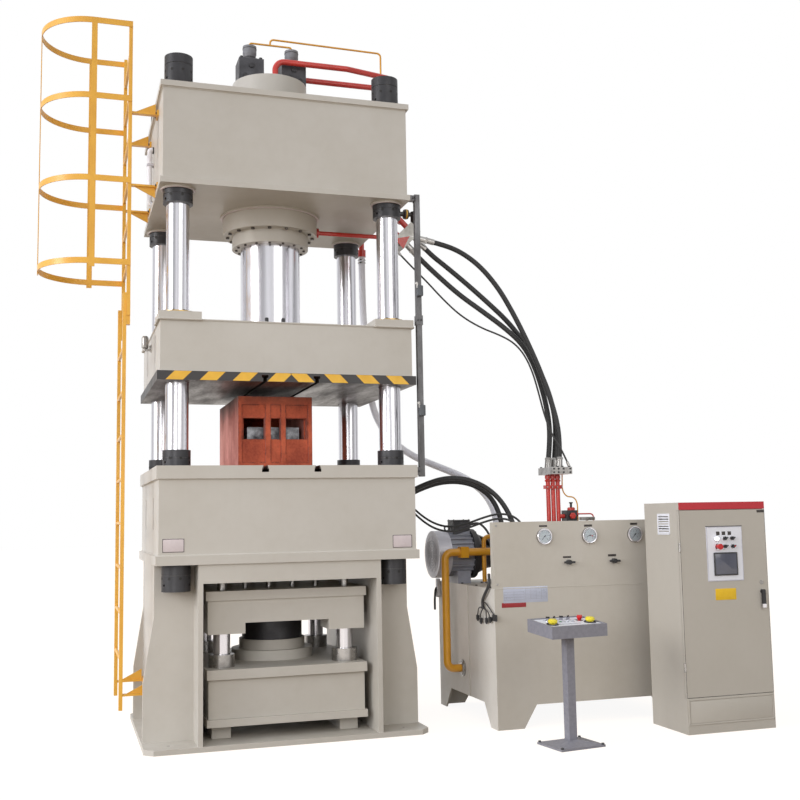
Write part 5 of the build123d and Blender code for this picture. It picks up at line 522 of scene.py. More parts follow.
RAIL_STEEL = finish(
    "oiled_tube_steel", (112, 112, 114), (78, 76, 76), rough=(0.34, 0.55), metal=0.6, cloud=8.0,
    stretch=(1, 1, 0.3), amount=0.8, wear_and_highlight=(150, 146, 140), wear_and_highlight_amount=0.6, dust=0.15)
PREFILL_GREY = finish(
    "phosphated_block", (82, 82, 86), (54, 54, 58), rough=(0.4, 0.62), metal=0.3, cloud=10.0,
    amount=0.8, grain=(160, 0.3), wear_and_highlight=(134, 132, 130), wear_and_highlight_amount=0.8, dust=0.3)
CUP_GREY = finish(
    "cast_cup_enamel", (134, 134, 138), (104, 104, 108), rough=(0.4, 0.6), cloud=14.0, amount=0.7,
    grain=(120, 0.4), dust=0.25)
MOTOR_PAINT = finish(
    "motor_enamel", (168, 170, 180), (132, 134, 144), rough=(0.3, 0.5), cloud=9.0, amount=0.6,
    grain=(180, 0.2), wear_and_highlight=(164, 164, 166), wear_and_highlight_amount=0.6, dust=0.35)
COWL_PAINT = finish(
    "cowl_enamel", (206, 206, 214), (184, 184, 194), rough=(0.28, 0.46), metal=0.2, cloud=5.0,
    amount=0.6, grain=(240, 0.12), dust=0.2)
PUMP_PAINT = finish(
    "pump_casting", (78, 78, 80), (48, 48, 50), rough=(0.36, 0.6), metal=0.3, cloud=12.0, amount=0.8,
    grain=(140, 0.4), wear_and_highlight=(140, 136, 130), wear_and_highlight_amount=0.8, dust=0.3)
HOSE_BLACK = finish(
    "wrapped_rubber", (34, 34, 35), (52, 51, 50), rough=(0.42, 0.62), cloud=20.0, amount=0.6,
    grain=(900, 0.5))
HOSE_CLEAR = finish(
    "ribbed_grey_hose", (236, 236, 242), (212, 212, 220), rough=(0.22, 0.38), cloud=9.0, amount=0.6,
    grain=(400, 0.1), coat=0.3)
DARK_HOLE = finish("shadowed_inside", (30, 29, 28), (44, 42, 40), rough=(0.6, 0.8), cloud=12.0)
PANEL_WHITE = finish(
    "white_legend_plate", (238, 239, 244), (226, 227, 233), rough=(0.3, 0.42), cloud=8.0, amount=0.4,
    grain=(700, 0.05))
LABEL_BLUE = finish(
    "anodised_plate", (190, 194, 208), (174, 178, 194), rough=(0.26, 0.4), metal=0.2, cloud=16.0,
    amount=0.5, grain=(600, 0.06))
LABEL_PALE = finish(
    "plain_sticker", (212, 200, 200), (196, 182, 182), rough=(0.4, 0.5), cloud=20.0, amount=0.5)
LABEL_RED = finish("red_label", (160, 44, 48), (132, 36, 42), rough=(0.36, 0.5), cloud=20.0, amount=0.6)
LABEL_YELLOW = finish(
    "yellow_label", (238, 194, 36), (222, 176, 30), rough=(0.34, 0.48), cloud=20.0, amount=0.4)
LABEL_BLACK = finish(
    "black_label", (48, 42, 40), (70, 64, 60), rough=(0.4, 0.55), cloud=30.0, amount=0.6)
BLACK_PLASTIC = finish(
    "moulded_black", (38, 38, 40), (52, 52, 54), rough=(0.3, 0.45), cloud=12.0, grain=(600, 0.15))
RED_PLASTIC = finish(
    "moulded_red", (204, 30, 34), (178, 22, 28), rough=(0.18, 0.32), cloud=12.0, grain=(400, 0.06),
    coat=0.2)
YELLOW_PLASTIC = finish(
    "moulded_yellow", (232, 214, 52), (212, 190, 40), rough=(0.18, 0.32), cloud=12.0, grain=(400, 0.06),
    coat=0.2)
GREEN_PLASTIC = finish(
    "moulded_green", (42, 132, 76), (32, 108, 62), rough=(0.18, 0.32), cloud=12.0, coat=0.2)
SWITCH_PLASTIC = finish(
    "switchgear_plastic", (92, 96, 100), (70, 73, 78), rough=(0.4, 0.55), cloud=9.0, amount=0.6)
DIAL_WHITE = finish(
    "dial_enamel", (248, 250, 255), (238, 242, 252), rough=(0.3, 0.4), cloud=20.0, amount=0.3)
DIAL_INK = finish("dial_ink", (28, 34, 48), (40, 46, 60), rough=(0.4, 0.5))
SCREEN = finish(
    "screen_glass", (88, 90, 104), (66, 68, 82), rough=(0.08, 0.16), cloud=5.0, amount=0.7,
    grain=(60, 0.02), coat=0.6)
LAMP_LIT = glowing("lit_lamp_lens", (244, 248, 255), 1.6)
GLASS = clear("gauge_glass", (0.96, 0.98, 0.98, 1), 0.02)
OIL_GLASS = clear("oiler_glass", (0.80, 0.70, 0.46, 1), 0.04)
SEAL_GREY = finish("door_seal_rubber", (70, 68, 66), (58, 56, 54), rough=(0.6, 0.75), cloud=20.0)
CABLE_BLACK = finish(
    "cable_sheath", (44, 43, 44), (60, 58, 58), rough=(0.4, 0.55), cloud=25.0, amount=0.6)


# Surfaces, worked out in millimetres as whole arrays

# Each turn's columns are a part's own X, Y and outward axis in the machine's frame
UPRIGHT = np.eye(3)
FRONT = np.array([[1, 0, 0], [0, 0, -1], [0, 1, 0]], float)
LEFT = np.array([[0, 0, -1], [-1, 0, 0], [0, 1, 0]], float)
RIGHT = np.array([[0, 0, 1], [1, 0, 0], [0, 1, 0]], float)
BACK = np.array([[-1, 0, 0], [0, 0, 1], [0, 1, 0]], float)
DOWN = np.array([[1, 0, 0], [0, -1, 0], [0, 0, -1]], float)


def about_z(angle):
    """Turn about Z by an angle in radians."""
    cosine, sine = math.cos(angle), math.sin(angle)
    return np.array([[cosine, -sine, 0], [sine, cosine, 0], [0, 0, 1]])


def towards(direction):
    """Turn whose third column is the direction, with the other two square to it."""
    out = np.asarray(direction, float) / np.linalg.norm(direction)
    helper = np.array([0, 0, 1.0]) if abs(out[2]) < 0.9 else np.array([1.0, 0, 0])
    across = np.cross(helper, out)
    across /= np.linalg.norm(across)
    return np.stack([across, np.cross(out, across), out], 1)


def on_circle(centre, radius, count, phase=0.0, turn=UPRIGHT):
    """Places at equal angles round a centre, in the XY plane of a turn."""
    angle = np.arange(count)[:, None] * 2 * np.pi / count + phase
    return radius * (np.cos(angle) * turn[:, 0] + np.sin(angle) * turn[:, 1]) + centre


def skin(points, along=False):
    """Quads over a grid of points: columns run around the form, rows run along it and meet again
    where along is set. Elsewhere the two ends are capped with flat faces."""
    rows, columns = points.shape[:2]
    a, b = np.meshgrid(np.arange(rows if along else rows - 1), np.arange(columns), indexing="ij")
    c, d = (a + 1) % rows, (b + 1) % columns
    quads = np.stack([a * columns + b, a * columns + d, c * columns + d, c * columns + b], -1)
    faces = [quads.reshape(-1, 4)]
    if not along:
        faces.append(np.arange(columns)[::-1][None])
        faces.append((np.arange(columns) + (rows - 1) * columns)[None])
    return points.reshape(-1, 3), faces


def revolved(section, sides):
    """Section turned about Z: the point at (r, h) and angle a is (r cos a, r sin a, h)."""
    radius, height = np.array(section, float).T[:, :, None]
    angle = np.linspace(0, 2 * np.pi, sides, endpoint=False)
    return np.stack(np.broadcast_arrays(radius * np.cos(angle), radius * np.sin(angle), height), -1)


def turned(profile, sides=40):
    """Turned form with flat ends."""
    return skin(revolved(profile, sides))


def rounded_outline(width, height, radius, steps=5):
    """Rectangle whose corner at quarter q is an arc: centre plus radius times (cos a, sin a)."""
    angle = np.linspace(0, np.pi / 2, steps)[None] + (np.arange(4) * np.pi / 2)[:, None]
    side = np.array([[1, 1], [-1, 1], [-1, -1], [1, -1]])
    centre = side * (np.array([width, height]) / 2 - radius)
    arc = np.stack([np.cos(angle), np.sin(angle)], -1) * radius
    return (centre[:, None] + arc).reshape(-1, 2)


def inset(outline, distance):
    """Outline moved inwards: each corner goes along the sum of its two sides' normals."""
    before = outline - np.roll(outline, 1, 0)
    after = np.roll(outline, -1, 0) - outline
    normals = [np.stack([-run[:, 1], run[:, 0]], 1) / np.linalg.norm(run, axis=1)[:, None]
               for run in (before, after)]
    share = 1 + (normals[0] * normals[1]).sum(1)
    return outline + distance * (normals[0] + normals[1]) / share[:, None]


def rings_of(outline, steps):
    """Grid of rings: an outline inset and lifted by each step's (distance, level)."""
    return np.stack([np.column_stack([inset(outline, distance), np.full(len(outline), level)])
                     for distance, level in steps])


def plate(outline, low, high, edge=1.0, steps=3):
    """Flat plate with quarter round rims: at angle t the lower one is inset by edge (1 - sin t)
    and stands edge (1 - cos t) over its foot, and the upper one mirrors it."""
    t = np.linspace(0, np.pi / 2, steps)
    by_sine, by_cosine = edge * (1 - np.sin(t)), edge * (1 - np.cos(t))
    rims = [*zip(by_sine, low + by_cosine), *zip(by_cosine, high - by_sine)]
    return skin(rings_of(np.asarray(outline, float), rims))


def sheet(width, height, corner, thick, edge=0.3, steps=5, rim_steps=3):
    """Rounded rectangular plate that stands on its own XY plane."""
    return plate(rounded_outline(width, height, corner, steps), 0, thick, edge, rim_steps)


def frame_ring(width, height, depth, bar, edge=1.0, corner=4.0):
    """Picture frame: a bar's section, as (inset, level) steps, carried round a rounded rectangle."""
    section = [(0, 0), (0, depth - edge), (edge, depth), (bar - edge, depth), (bar, depth - edge), (bar, 0)]
    return skin(rings_of(rounded_outline(width, height, corner), section), along=True)


def swept(path, radius, sides=12, upright=(0, 0, 1)):
    """Round bar along a path: the ring at each point is radius (a cos t + b sin t), where b is
    square to the path and to a fixed direction, and a is square to both."""
    path = np.asarray(path, float)
    way = np.gradient(path, axis=0)
    way /= np.linalg.norm(way, axis=1)[:, None]
    across = np.cross(np.broadcast_to(upright, way.shape), way)
    across /= np.linalg.norm(across, axis=1)[:, None]
    over = np.cross(way, across)
    t = np.linspace(0, 2 * np.pi, sides, endpoint=False)
    size = np.broadcast_to(radius, (len(path),))[:, None, None]
    ring = across[:, None] * np.cos(t)[None, :, None] + over[:, None] * np.sin(t)[None, :, None]
    return skin(path[:, None] + size * ring)


def evenly(points, step):
    """Points at equal steps along a line, by its running length."""
    points = np.asarray(points, float)
    length = np.concatenate([[0], np.cumsum(np.linalg.norm(np.diff(points, axis=0), axis=1))])
    where = np.linspace(0, length[-1], max(2, int(length[-1] / step) + 1))
    return np.stack([np.interp(where, length, points[:, k]) for k in range(3)], 1)


def weld(start, end, radius=7.0, pitch=11.0):
    """Weld bead along a straight joint: a half buried bar whose radius at phase p is
    r (1 + 0.12 cos p) (1 + 0.05 sin 0.37 p), where p makes a full turn at each ripple."""
    path = evenly([start, end], pitch / 3)
    phase = np.arange(len(path)) * 2 * np.pi / 3
    swell = radius * (1 + 0.12 * np.cos(phase)) * (1 + 0.05 * np.sin(0.37 * phase))
    swell[0] = swell[-1] = radius * 0.6
    upright = (0, 0, 1) if abs(path[-1][2] - path[0][2]) < 1 else (1, 0, 0)
    return swept(path, swell, 6, upright)


def bent(points, radius, steps=8):
    """Path through corners, each rounded by a parabola from radius before it to radius after it."""
    points = np.asarray(points, float)
    t = np.linspace(0, 1, steps)[:, None]
    path = [points[:1]]
    for before, corner, after in zip(points, points[1:], points[2:]):
        back, on = before - corner, after - corner
        start = corner + back * min(radius / np.linalg.norm(back), 0.48)
        end = corner + on * min(radius / np.linalg.norm(on), 0.48)
        path.append((1 - t) ** 2 * start + 2 * t * (1 - t) * corner + t ** 2 * end)
    path.append(points[-1:])
    return np.concatenate(path)


def tube(points, bend, radius, sides=12, upright=(0.1, 1, 0.1)):
    """Pipe through corners, each rounded over the bend's length."""
    return swept(bent(points, bend), radius, sides, upright)


def moved(part, turn=UPRIGHT, at=(0, 0, 0)):
    """Part turned and carried to a place."""
    points, faces = part
    return points @ np.asarray(turn).T + np.asarray(at, float), faces


def repeated(part, places, turn=UPRIGHT):
    """One part at one or more places, computed as one array."""
    points, faces = moved(part, turn)
    places = np.reshape(np.asarray(places, float), (-1, 3))
    shift = (np.arange(len(places)) * len(points))[:, None, None]
    return ((points[None] + places[:, None]).reshape(-1, 3),
            [(f[None] + shift).reshape(-1, f.shape[1]) for f in faces])


def make_piece(name, parts, material, body="press", sharp=38.0):
    """Mesh object from parts in millimetres, riding on a body. Edges over the sharp angle stay hard."""
    points = np.concatenate([p for p, _ in parts]) * MM
    starts = np.cumsum([0] + [len(p) for p, _ in parts[:-1]])
    loops = np.concatenate([(f + start).reshape(-1) for (_, faces), start in zip(parts, starts)
                            for f in faces])
    totals = np.concatenate([np.full(len(f), f.shape[1]) for _, faces in parts for f in faces])
    mesh = bpy.data.meshes.new(name)
    mesh.vertices.add(len(points))
    mesh.vertices.foreach_set("co", points.astype(np.float32).ravel())
    mesh.loops.add(len(loops))
    mesh.loops.foreach_set("vertex_index", loops.astype(np.int32))
    mesh.polygons.add(len(totals))
    mesh.polygons.foreach_set("loop_start", np.concatenate([[0], np.cumsum(totals)[:-1]]).astype(np.int32))
    mesh.update(calc_edges=True)
    mesh.validate()
    mesh.shade_smooth()
    mesh.set_sharp_from_angle(angle=math.radians(sharp))
    mesh.materials.append(material)
    made = add_object(name, mesh)
    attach(made, body)
    return made


def fit(name, part, places, material, turn=UPRIGHT, body="press"):
    """Piece made of one part at one or more places."""
    return make_piece(name, [repeated(part, places, turn)], material, body)


def add_object(name, data):
    """New object in the scene."""
    made = bpy.data.objects.new(name, data)
    bpy.context.scene.collection.objects.link(made)
    return made


# CAD nodes

ANYWHERE = (-math.inf, math.inf)


def dress(name, base, *rules):
    """Material of a CAD node, and of those of its faces that a rule picks by centre and normal."""
    mesh = NODES[name].data
    mesh.materials.clear()
    mesh.materials.append(base)
    if not rules:
        return
    centre, normal = (np.empty(len(mesh.polygons) * 3, np.float32) for _ in range(2))
    mesh.polygons.foreach_get("center", centre)
    mesh.polygons.foreach_get("normal", normal)
    centre = centre.reshape(-1, 3) / MM
    normal = normal.reshape(-1, 3)
    index = np.zeros(len(centre), np.int32)
    for number, (material, chosen) in enumerate(rules, 1):
        mesh.materials.append(material)
        index[chosen(centre, normal)] = number
    mesh.polygons.foreach_set("material_index", index)


def between(x=ANYWHERE, y=ANYWHERE, z=ANYWHERE):
    """Rule for faces whose centre is between two limits along each axis."""
    low, high = np.transpose([x, y, z])
    return lambda centre, normal: np.all((centre > low) & (centre < high), axis=1)


def near_axis(point, way, radius, start, end):
    """Rule for faces whose centre is within a radius of a line, between two distances along it."""
    way = np.asarray(way, float) / np.linalg.norm(way)

    def chosen(centre, normal):
        along = (centre - point) @ way
        off = np.linalg.norm(centre - point - along[:, None] * way, axis=1)
        return (off <= radius) & (along >= start) & (along <= end)
    return chosen


def facing(axis, sense, least=0.6):
    """Rule for faces whose normal looks along an axis (0 to 2), up it or down it."""
    return lambda centre, normal: normal[:, axis] * sense > least


def both(first, painted_shade_tone):
    """Rule for faces that two rules pick."""
    return lambda centre, normal: first(centre, normal) & painted_shade_tone(centre, normal)


def off_middle(axis, middle, reach):
    """Rule for faces whose centre lies within reach of a distance to either side of 0."""
    return lambda centre, normal: np.abs(np.abs(centre[:, axis]) - middle) < reach


def hose_end(name, last):
    """End point of a hose in millimetres and the way out of it."""
    points = np.array(HOSE_ROUTES[name]) / MM
    tip, inner = (points[-1], points[-2]) if last else (points[0], points[1])
    way = tip - inner
    return tip, way / np.linalg.norm(way)


PLAIN_FINISHES = (
    (PRESS_PAINT, ("base_frame", "crown", "slide", "cushion_beam", "cushion_cylinder", "cushion_platen")),
    (CHROME, ("columns", "main_ram", "cushion_posts")),
    (NUT_BLACK, ("column_nuts", "cushion_ram")),
    (BRONZE, ("guide_bushes",)),
    (FITTING_STEEL, ("oil_cup", "cushion_post_nuts", "cushion_pins", "pressure_gauges", "motor_shaft")),
    (ROUGH_STEEL, ("die_insert",)),
    (LADDER_YELLOW, ("ladder_upper", "ladder_lower", "ladder_cage")),
    (RAIL_STEEL, ("switch_rail",)),
    (PIPE_YELLOW, ("pilot_pipe",)),
    (PIPE_RED, ("crown_pipes",)),
    (STATION_PAINT, ("gauge_panel",)),
    (BLACK_PLASTIC, ("gauge_valve_left", "gauge_valve_right", "door_handle")),
    (YELLOW_PLASTIC, ("palm_button_left", "palm_button_right")),
    (PUMP_PAINT, ("bell_housing", "pump")),
    (RED_PLASTIC, ("door_stop_button", "emergency_stop")),
    (STAND_PAINT, ("console_stand",)))


def dress_press():
    """Nodes of the press whose faces differ by place or by the way they look."""
    # T-slot walls and floors take the dark steel: partly oiled steel, partly painted shade in the recess
    slots = both(between(z=(SLOT_FLOOR, BOLSTER_TOP - 0.5)), off_middle(0, SLOT_X, SLOT_REACH))
    table = both(facing(2, 1, 0.9), between(z=(BOLSTER_TOP - 1, math.inf)))
    dress("bolster", PRESS_PAINT, (MACHINED, table), (DARK_STEEL_AND_SHADE, slots))
    dress("main_cylinder", PRESS_PAINT, (DARK_STEEL_AND_SHADE, between(z=CYLINDER_NECK)))
    dress("gland_ring", PRESS_PAINT, (DARK_STEEL_AND_SHADE, between(z=(0, GLAND_FACE))))
    # The slide's underside takes the dark steel: partly oiled steel, partly painted shade
    dress("slide_face_plate", EDGE_BLACK, (DARK_STEEL_AND_SHADE, facing(2, -1)))
    # The die's faces that look left take the paler copy: painted light
    dress("die_block", DIE_PAINT, (DIE_PAINTED_LIGHT_SIDE, facing(0, -1)))
    dress("prefill_valves", PREFILL_GREY, (CUP_GREY, between(z=(PREFILL_CUP, math.inf))),
          (NUT_BLACK, both(between(z=(PREFILL_CUP, PREFILL_CUP + 16.5)), off_middle(1, 90, 50))))
    rules = [(PIPE_RED, near_axis((1179, 0, 3844), (1, 0, 1), 46, -26, 40)),
             (EDGE_BLACK, between((1140, 1230), (-40, 40), (3880, 4010))),
             (PIPE_RED, between((1000, 1078), (-200, 200), (3700, 3800)))]
    rules += [(FITTING_STEEL, near_axis(*hose_end(name, False), 27, -2, 200))
              for name in (*UPPER_HOSES, "hose_pilot")]
    dress("hose_manifold", MACHINED, *rules)
    dress("bolster_ports", FITTING_STEEL, (PRESS_PAINT, between(x=(0, PORT_PLATE))))


def dress_station():
    """Nodes of the power station and the cabinet whose faces differ."""
    dress("station_pipes", PIPE_RED, (FITTING_STEEL, between(z=(FLANGE_FOOT, math.inf))),
          (NUT_BLACK, between((2195, 2295), (-540, -440), (1459, 1546))))
    dress("pump_pipes", PIPE_YELLOW, (FITTING_STEEL, between((1430, 1456), (-240, -120), (300, 410))))
    # The tank's wall that looks left takes the paler copy: painted light
    dress("oil_tank", STATION_PAINT, (STATION_PAINTED_LIGHT, facing(0, -1)))
    dress("drive_motor", MOTOR_PAINT, (COWL_PAINT, between(x=(0, 1400.5))),
          (PUMP_PAINT, between(x=(1455, math.inf), z=(1392, math.inf))),
          (NUT_BLACK, between(x=(1599.5, math.inf))))
    dress("valve_block", FITTING_STEEL,
          (NUT_BLACK, between((1900, math.inf), (-math.inf, -555), (1160.5, math.inf))))
    dress("cabinet_shell", CABINET_PAINT,
          (STRIP_RED, both(facing(1, -1, 0.9), between(y=(-math.inf, DOOR_FRONT + 1), z=(1535, math.inf)))))
    dress("cabinet_door", CABINET_PAINT, (PANEL_WHITE, between(y=(DOOR_FRONT - 4, DOOR_FRONT - 0.5))),
          (BLACK_PLASTIC, between(y=(-math.inf, DOOR_FRONT - 4))))
    dress("mounting_plate", FITTING_STEEL, (SWITCH_PLASTIC, between(y=(-math.inf, -1060))))


# Hoses

def hose_curve(name, bevel):
    """NURBS centreline of a hose through its route's control points, with a round section."""
    route = HOSE_ROUTES[name]
    data = bpy.data.curves.new(name + "_line", "CURVE")
    data.dimensions = "3D"
    data.resolution_u = 14
    data.bevel_depth = bevel
    data.bevel_resolution = 6
    data.use_fill_caps = True
    spline = data.splines.new("NURBS")
    spline.points.add(len(route) - 1)
    spline.points.foreach_set("co", np.concatenate([np.array(route), np.ones((len(route), 1))], 1).ravel())
    spline.order_u = 3
    spline.use_endpoint_u = True
    return add_object("dressed_" + name, data)


def read_mesh(owner):
    """Points and faces of the mesh that a curve or text object makes. The object is removed."""
    data = owner.data
    mesh = bpy.data.meshes.new_from_object(owner)
    points = np.empty(len(mesh.vertices) * 3, np.float32)
    mesh.vertices.foreach_get("co", points)
    faces = [np.array([face.vertices[:]]) for face in mesh.polygons]
    bpy.data.objects.remove(owner)
    bpy.data.curves.remove(data)
    bpy.data.meshes.remove(mesh)
    return points.reshape(-1, 3).astype(float), faces


def centreline(name):
    """Points in millimetres along a hose, read from its NURBS curve with no section."""
    bare = hose_curve(name, 0.0)
    bare.data.resolution_u = 24
    return read_mesh(bare)[0] / MM


def tie_hose(made, name, slot, **more):
    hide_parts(name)


def plain_hoses():
    """Wrapped rubber hoses, each one NURBS curve."""
    for name, (radius, _) in HOSE_FACTS.items():
        if name != "hose_return":
            made = hose_curve(name, radius)
            made.data.materials.append(HOSE_BLACK)
            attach(made, "press")
            tie_hose(made, name, "hose_black")


def return_hose():
    """Ribbed suction hose: its radius is r (0.965 + 0.035 cos t), with a full turn of t at each rib."""
    radius = HOSE_FACTS["hose_return"][0]
    path = evenly(centreline("hose_return"), 4.0)
    swell = radius / MM * (0.965 + 0.035 * np.cos(2 * np.pi * np.arange(len(path)) / 4))
    made = make_piece("dressed_hose_return", [swept(path, swell, 28, (0.35, 0.9, 0.25))], HOSE_CLEAR,
                      sharp=80.0)
    tie_hose(made, "hose_return", "hose_clear", path=[tuple(p) for p in path * MM])


# Studio

def camera():
    """Camera at the photograph's place: forward, right and up from yaw, pitch and roll."""
    yaw, pitch, roll = (math.radians(a) for a in (CAMERA_YAW, CAMERA_PITCH, CAMERA_ROLL))
    forward = Vector((math.sin(yaw) * math.cos(pitch), math.cos(yaw) * math.cos(pitch), math.sin(pitch)))
    level = Vector((math.cos(yaw), -math.sin(yaw), 0))
    above = level.cross(forward)
    right = math.cos(roll) * level + math.sin(roll) * above
    up = -math.sin(roll) * level + math.cos(roll) * above
    data = bpy.data.cameras.new("camera")
    data.lens = LENS
    data.sensor_width = SENSOR
    data.clip_end = VIEW_END
    made = add_object("camera", data)
    made.matrix_world = Matrix.Translation(CAMERA_AT) @ Matrix((right, up, -forward)).transposed().to_4x4()
    bpy.context.scene.camera = made


def lamp(name, at, aim, size, power, tint):
    """Soft square area lamp that looks at a point."""
    data = bpy.data.lights.new(name, "AREA")
    data.size = size
    data.energy = power
    data.color = tint
    made = add_object(name, data)
    made.location = at
    made.visible_camera = False
    made.rotation_euler = (Vector(aim) - Vector(at)).to_track_quat("-Z", "Y").to_euler()


def surroundings():
    """White air with a few grey flags for the chrome, and brighter from the left."""
    world = bpy.data.worlds.new("studio_air")
    bpy.context.scene.world = world
    tree = fresh_tree(world)
    path = node(tree, "LightPath").outputs
    sky = node(tree, "TexCoord").outputs["Generated"]
    parts = node(tree, "SeparateXYZ", {0: sky}).outputs
    azimuth = maths(tree, "ARCTAN2", parts["X"], parts["Y"])
    turn = node(tree, "MapRange", {"Value": azimuth, "From Min": -math.pi, "From Max": math.pi})
    flags = node(tree, "ValToRGB", {0: turn.outputs["Result"]})
    flags.color_ramp.interpolation = "EASE"
    for place, grey in FLAG_STOPS:
        flags.color_ramp.elements.new(place).color = (grey, grey, grey * 1.01, 1)
    for stop in (flags.color_ramp.elements[0], flags.color_ramp.elements[-1]):
        stop.color = (FLAG_ENDS, FLAG_ENDS, FLAG_ENDS, 1)
    level = ramp(tree, maths(tree, "ABSOLUTE", parts["Z"]), 0.35, 0.7)
    seen = blend_colours(tree, level, flags.outputs["Color"], WHITE)
    leftward = ramp(tree, parts["X"], 0.0, -0.9)
    air_tone = blend_colours(tree, leftward, (SKY_LEVEL, SKY_LEVEL, SKY_LEVEL, 1), LEFT_SKY)
    soft = blend_colours(tree, path["Is Glossy Ray"], air_tone, seen)
    clear_way = maths(tree, "MAXIMUM", path["Is Camera Ray"], path["Is Transmission Ray"])
    colour = blend_colours(tree, clear_way, soft, WHITE)
    air = node(tree, "Background", {"Color": colour, "Strength": 1.0})
    node(tree, "OutputWorld", {"Surface": air.outputs[0]})


def studio_floor():
    """Pale floor that gives back brown light to the machine's underside."""
    mesh = bpy.data.meshes.new("studio_floor")
    corners = [(x * FLOOR_REACH, y * FLOOR_REACH, 0) for x, y in ((-1, -1), (1, -1), (1, 1), (-1, 1))]
    mesh.from_pydata(corners, [], [(0, 1, 2, 3)])
    floor = add_object("studio_floor", mesh)
    cover = bpy.data.materials.new("studio_floor_cover")
    tree = fresh_tree(cover)
    path = node(tree, "LightPath").outputs
    seen = maths(tree, "MAXIMUM", path["Is Camera Ray"], path["Is Glossy Ray"])
    lift = maths(tree, "MULTIPLY", seen, FLOOR_LIFT)
    plain = node(tree, "BsdfDiffuse", {"Color": FLOOR_COLOUR}).outputs[0]
    glow = node(tree, "Emission", {"Color": WHITE, "Strength": lift}).outputs[0]
    shared = node(tree, "AddShader", {0: plain, 1: glow}).outputs[0]
    node(tree, "OutputMaterial", {"Surface": shared})
    mesh.materials.append(cover)


camera()
bpy.context.scene.view_settings.view_transform = "Standard"
surroundings()
studio_floor()
for lamp_settings in LAMPS:
    lamp(*lamp_settings)
for plain_material, plain_names in PLAIN_FINISHES:
    for plain_name in plain_names:
        dress(plain_name, plain_material)
dress_press()
dress_station()
plain_hoses()
return_hose()


# Small parts, in their own frames: they stand on XY and look along +Z

def bolt(radius, height, sides=6):
    """Bolt head: a short prism whose rim is chamfered."""
    return turned([(radius * 0.93, 0), (radius, height * 0.12), (radius, height * 0.8),
                   (radius * 0.84, height)], sides)


def cap_screw(radius, height):
    """Socket screw: a low cylinder whose middle is sunk."""
    return turned([(radius, 0), (radius, height - radius * 0.12), (radius * 0.88, height),
                   (radius * 0.52, height), (radius * 0.46, height * 0.45)], 18)


def disc(radius, height, edge=0.6, sides=32):
    """Round plate with a small rim chamfer."""
    return turned([(radius, 0), (radius, height - edge), (radius - edge, height)], sides)


def collar(inner, outer, height, edge=0.8, sides=40):
    """Flat ring: its section is a rectangle with two broken corners, carried round a circle."""
    return skin(revolved([(inner, 0), (outer, 0), (outer, height - edge), (outer - edge, height),
                          (inner + edge, height), (inner, height - edge)], sides), along=True)


def sealant(radius, width, height, seed):
    """Trowelled ring: it reaches out from its radius by width (1 + sum of three sines of the angle),
    and its section is half a wave."""
    angle = np.linspace(0, 2 * np.pi, 150, endpoint=False)
    wander = 1 + 0.16 * np.sin(5 * angle + seed) + 0.13 * np.sin(11 * angle + 2 * seed)
    wander += 0.1 * np.sin(23 * angle + 3 * seed)
    t = np.linspace(0, np.pi, 6)[:, None]
    out = radius + width * wander * (1 + np.cos(t)) / 2
    rise = np.broadcast_to(height * np.sin(t), out.shape)
    return skin(np.stack([out * np.cos(angle), out * np.sin(angle), rise], -1), along=True)


def bars(angles, inner, outer, width, height):
    """Flat radial bars: each one's corners are along (cos a, sin a) and across (-sin a, cos a)."""
    angles = np.asarray(angles, float)[:, None]
    out = np.array([inner, outer, outer, inner] * 2)
    side = np.array([-0.5, -0.5, 0.5, 0.5] * 2) * np.full((len(angles), 1), width)
    rise = np.broadcast_to(np.array([0.0] * 4 + [height] * 4), side.shape)
    points = np.stack([out * np.cos(angles) - side * np.sin(angles),
                       out * np.sin(angles) + side * np.cos(angles), rise], -1)
    quads = np.array([[3, 2, 1, 0], [4, 5, 6, 7], [0, 1, 5, 4], [1, 2, 6, 5], [2, 3, 7, 6], [3, 0, 4, 7]])
    faces = quads[None] + (np.arange(len(angles)) * 8)[:, None, None]
    return points.reshape(-1, 3), [faces.reshape(-1, 4)]


def numeral(text, size):
    """Flat outline of a plain number, centred."""
    data = bpy.data.curves.new("numeral", "FONT")
    data.body = text
    data.size = size
    data.align_x = "CENTER"
    data.align_y = "CENTER"
    return read_mesh(add_object("numeral", data))


def slab_between(low, high, edge=1.0):
    """Rounded block between two corners in the machine's frame."""
    low, high = np.asarray(low, float), np.asarray(high, float)
    size = high - low
    corner = min(edge * 1.5, size[0] / 3, size[1] / 3)
    middle = (low + high) / 2
    part = sheet(size[0], size[1], corner, size[2], edge, 3, 2)
    return moved(part, UPRIGHT, (middle[0], middle[1], low[2]))


def front_plate(name, x, z, size, y, material, thick=1.2, corner=2.0, body="press"):
    """Thin bare plate on a face that looks to the front, given by its left and lower edges."""
    part = sheet(size[0], size[1], corner, thick, min(0.5, thick / 3), 4)
    return fit(name, part, (x + size[0] / 2, y, z + size[1] / 2), material, FRONT, body)


# Press details

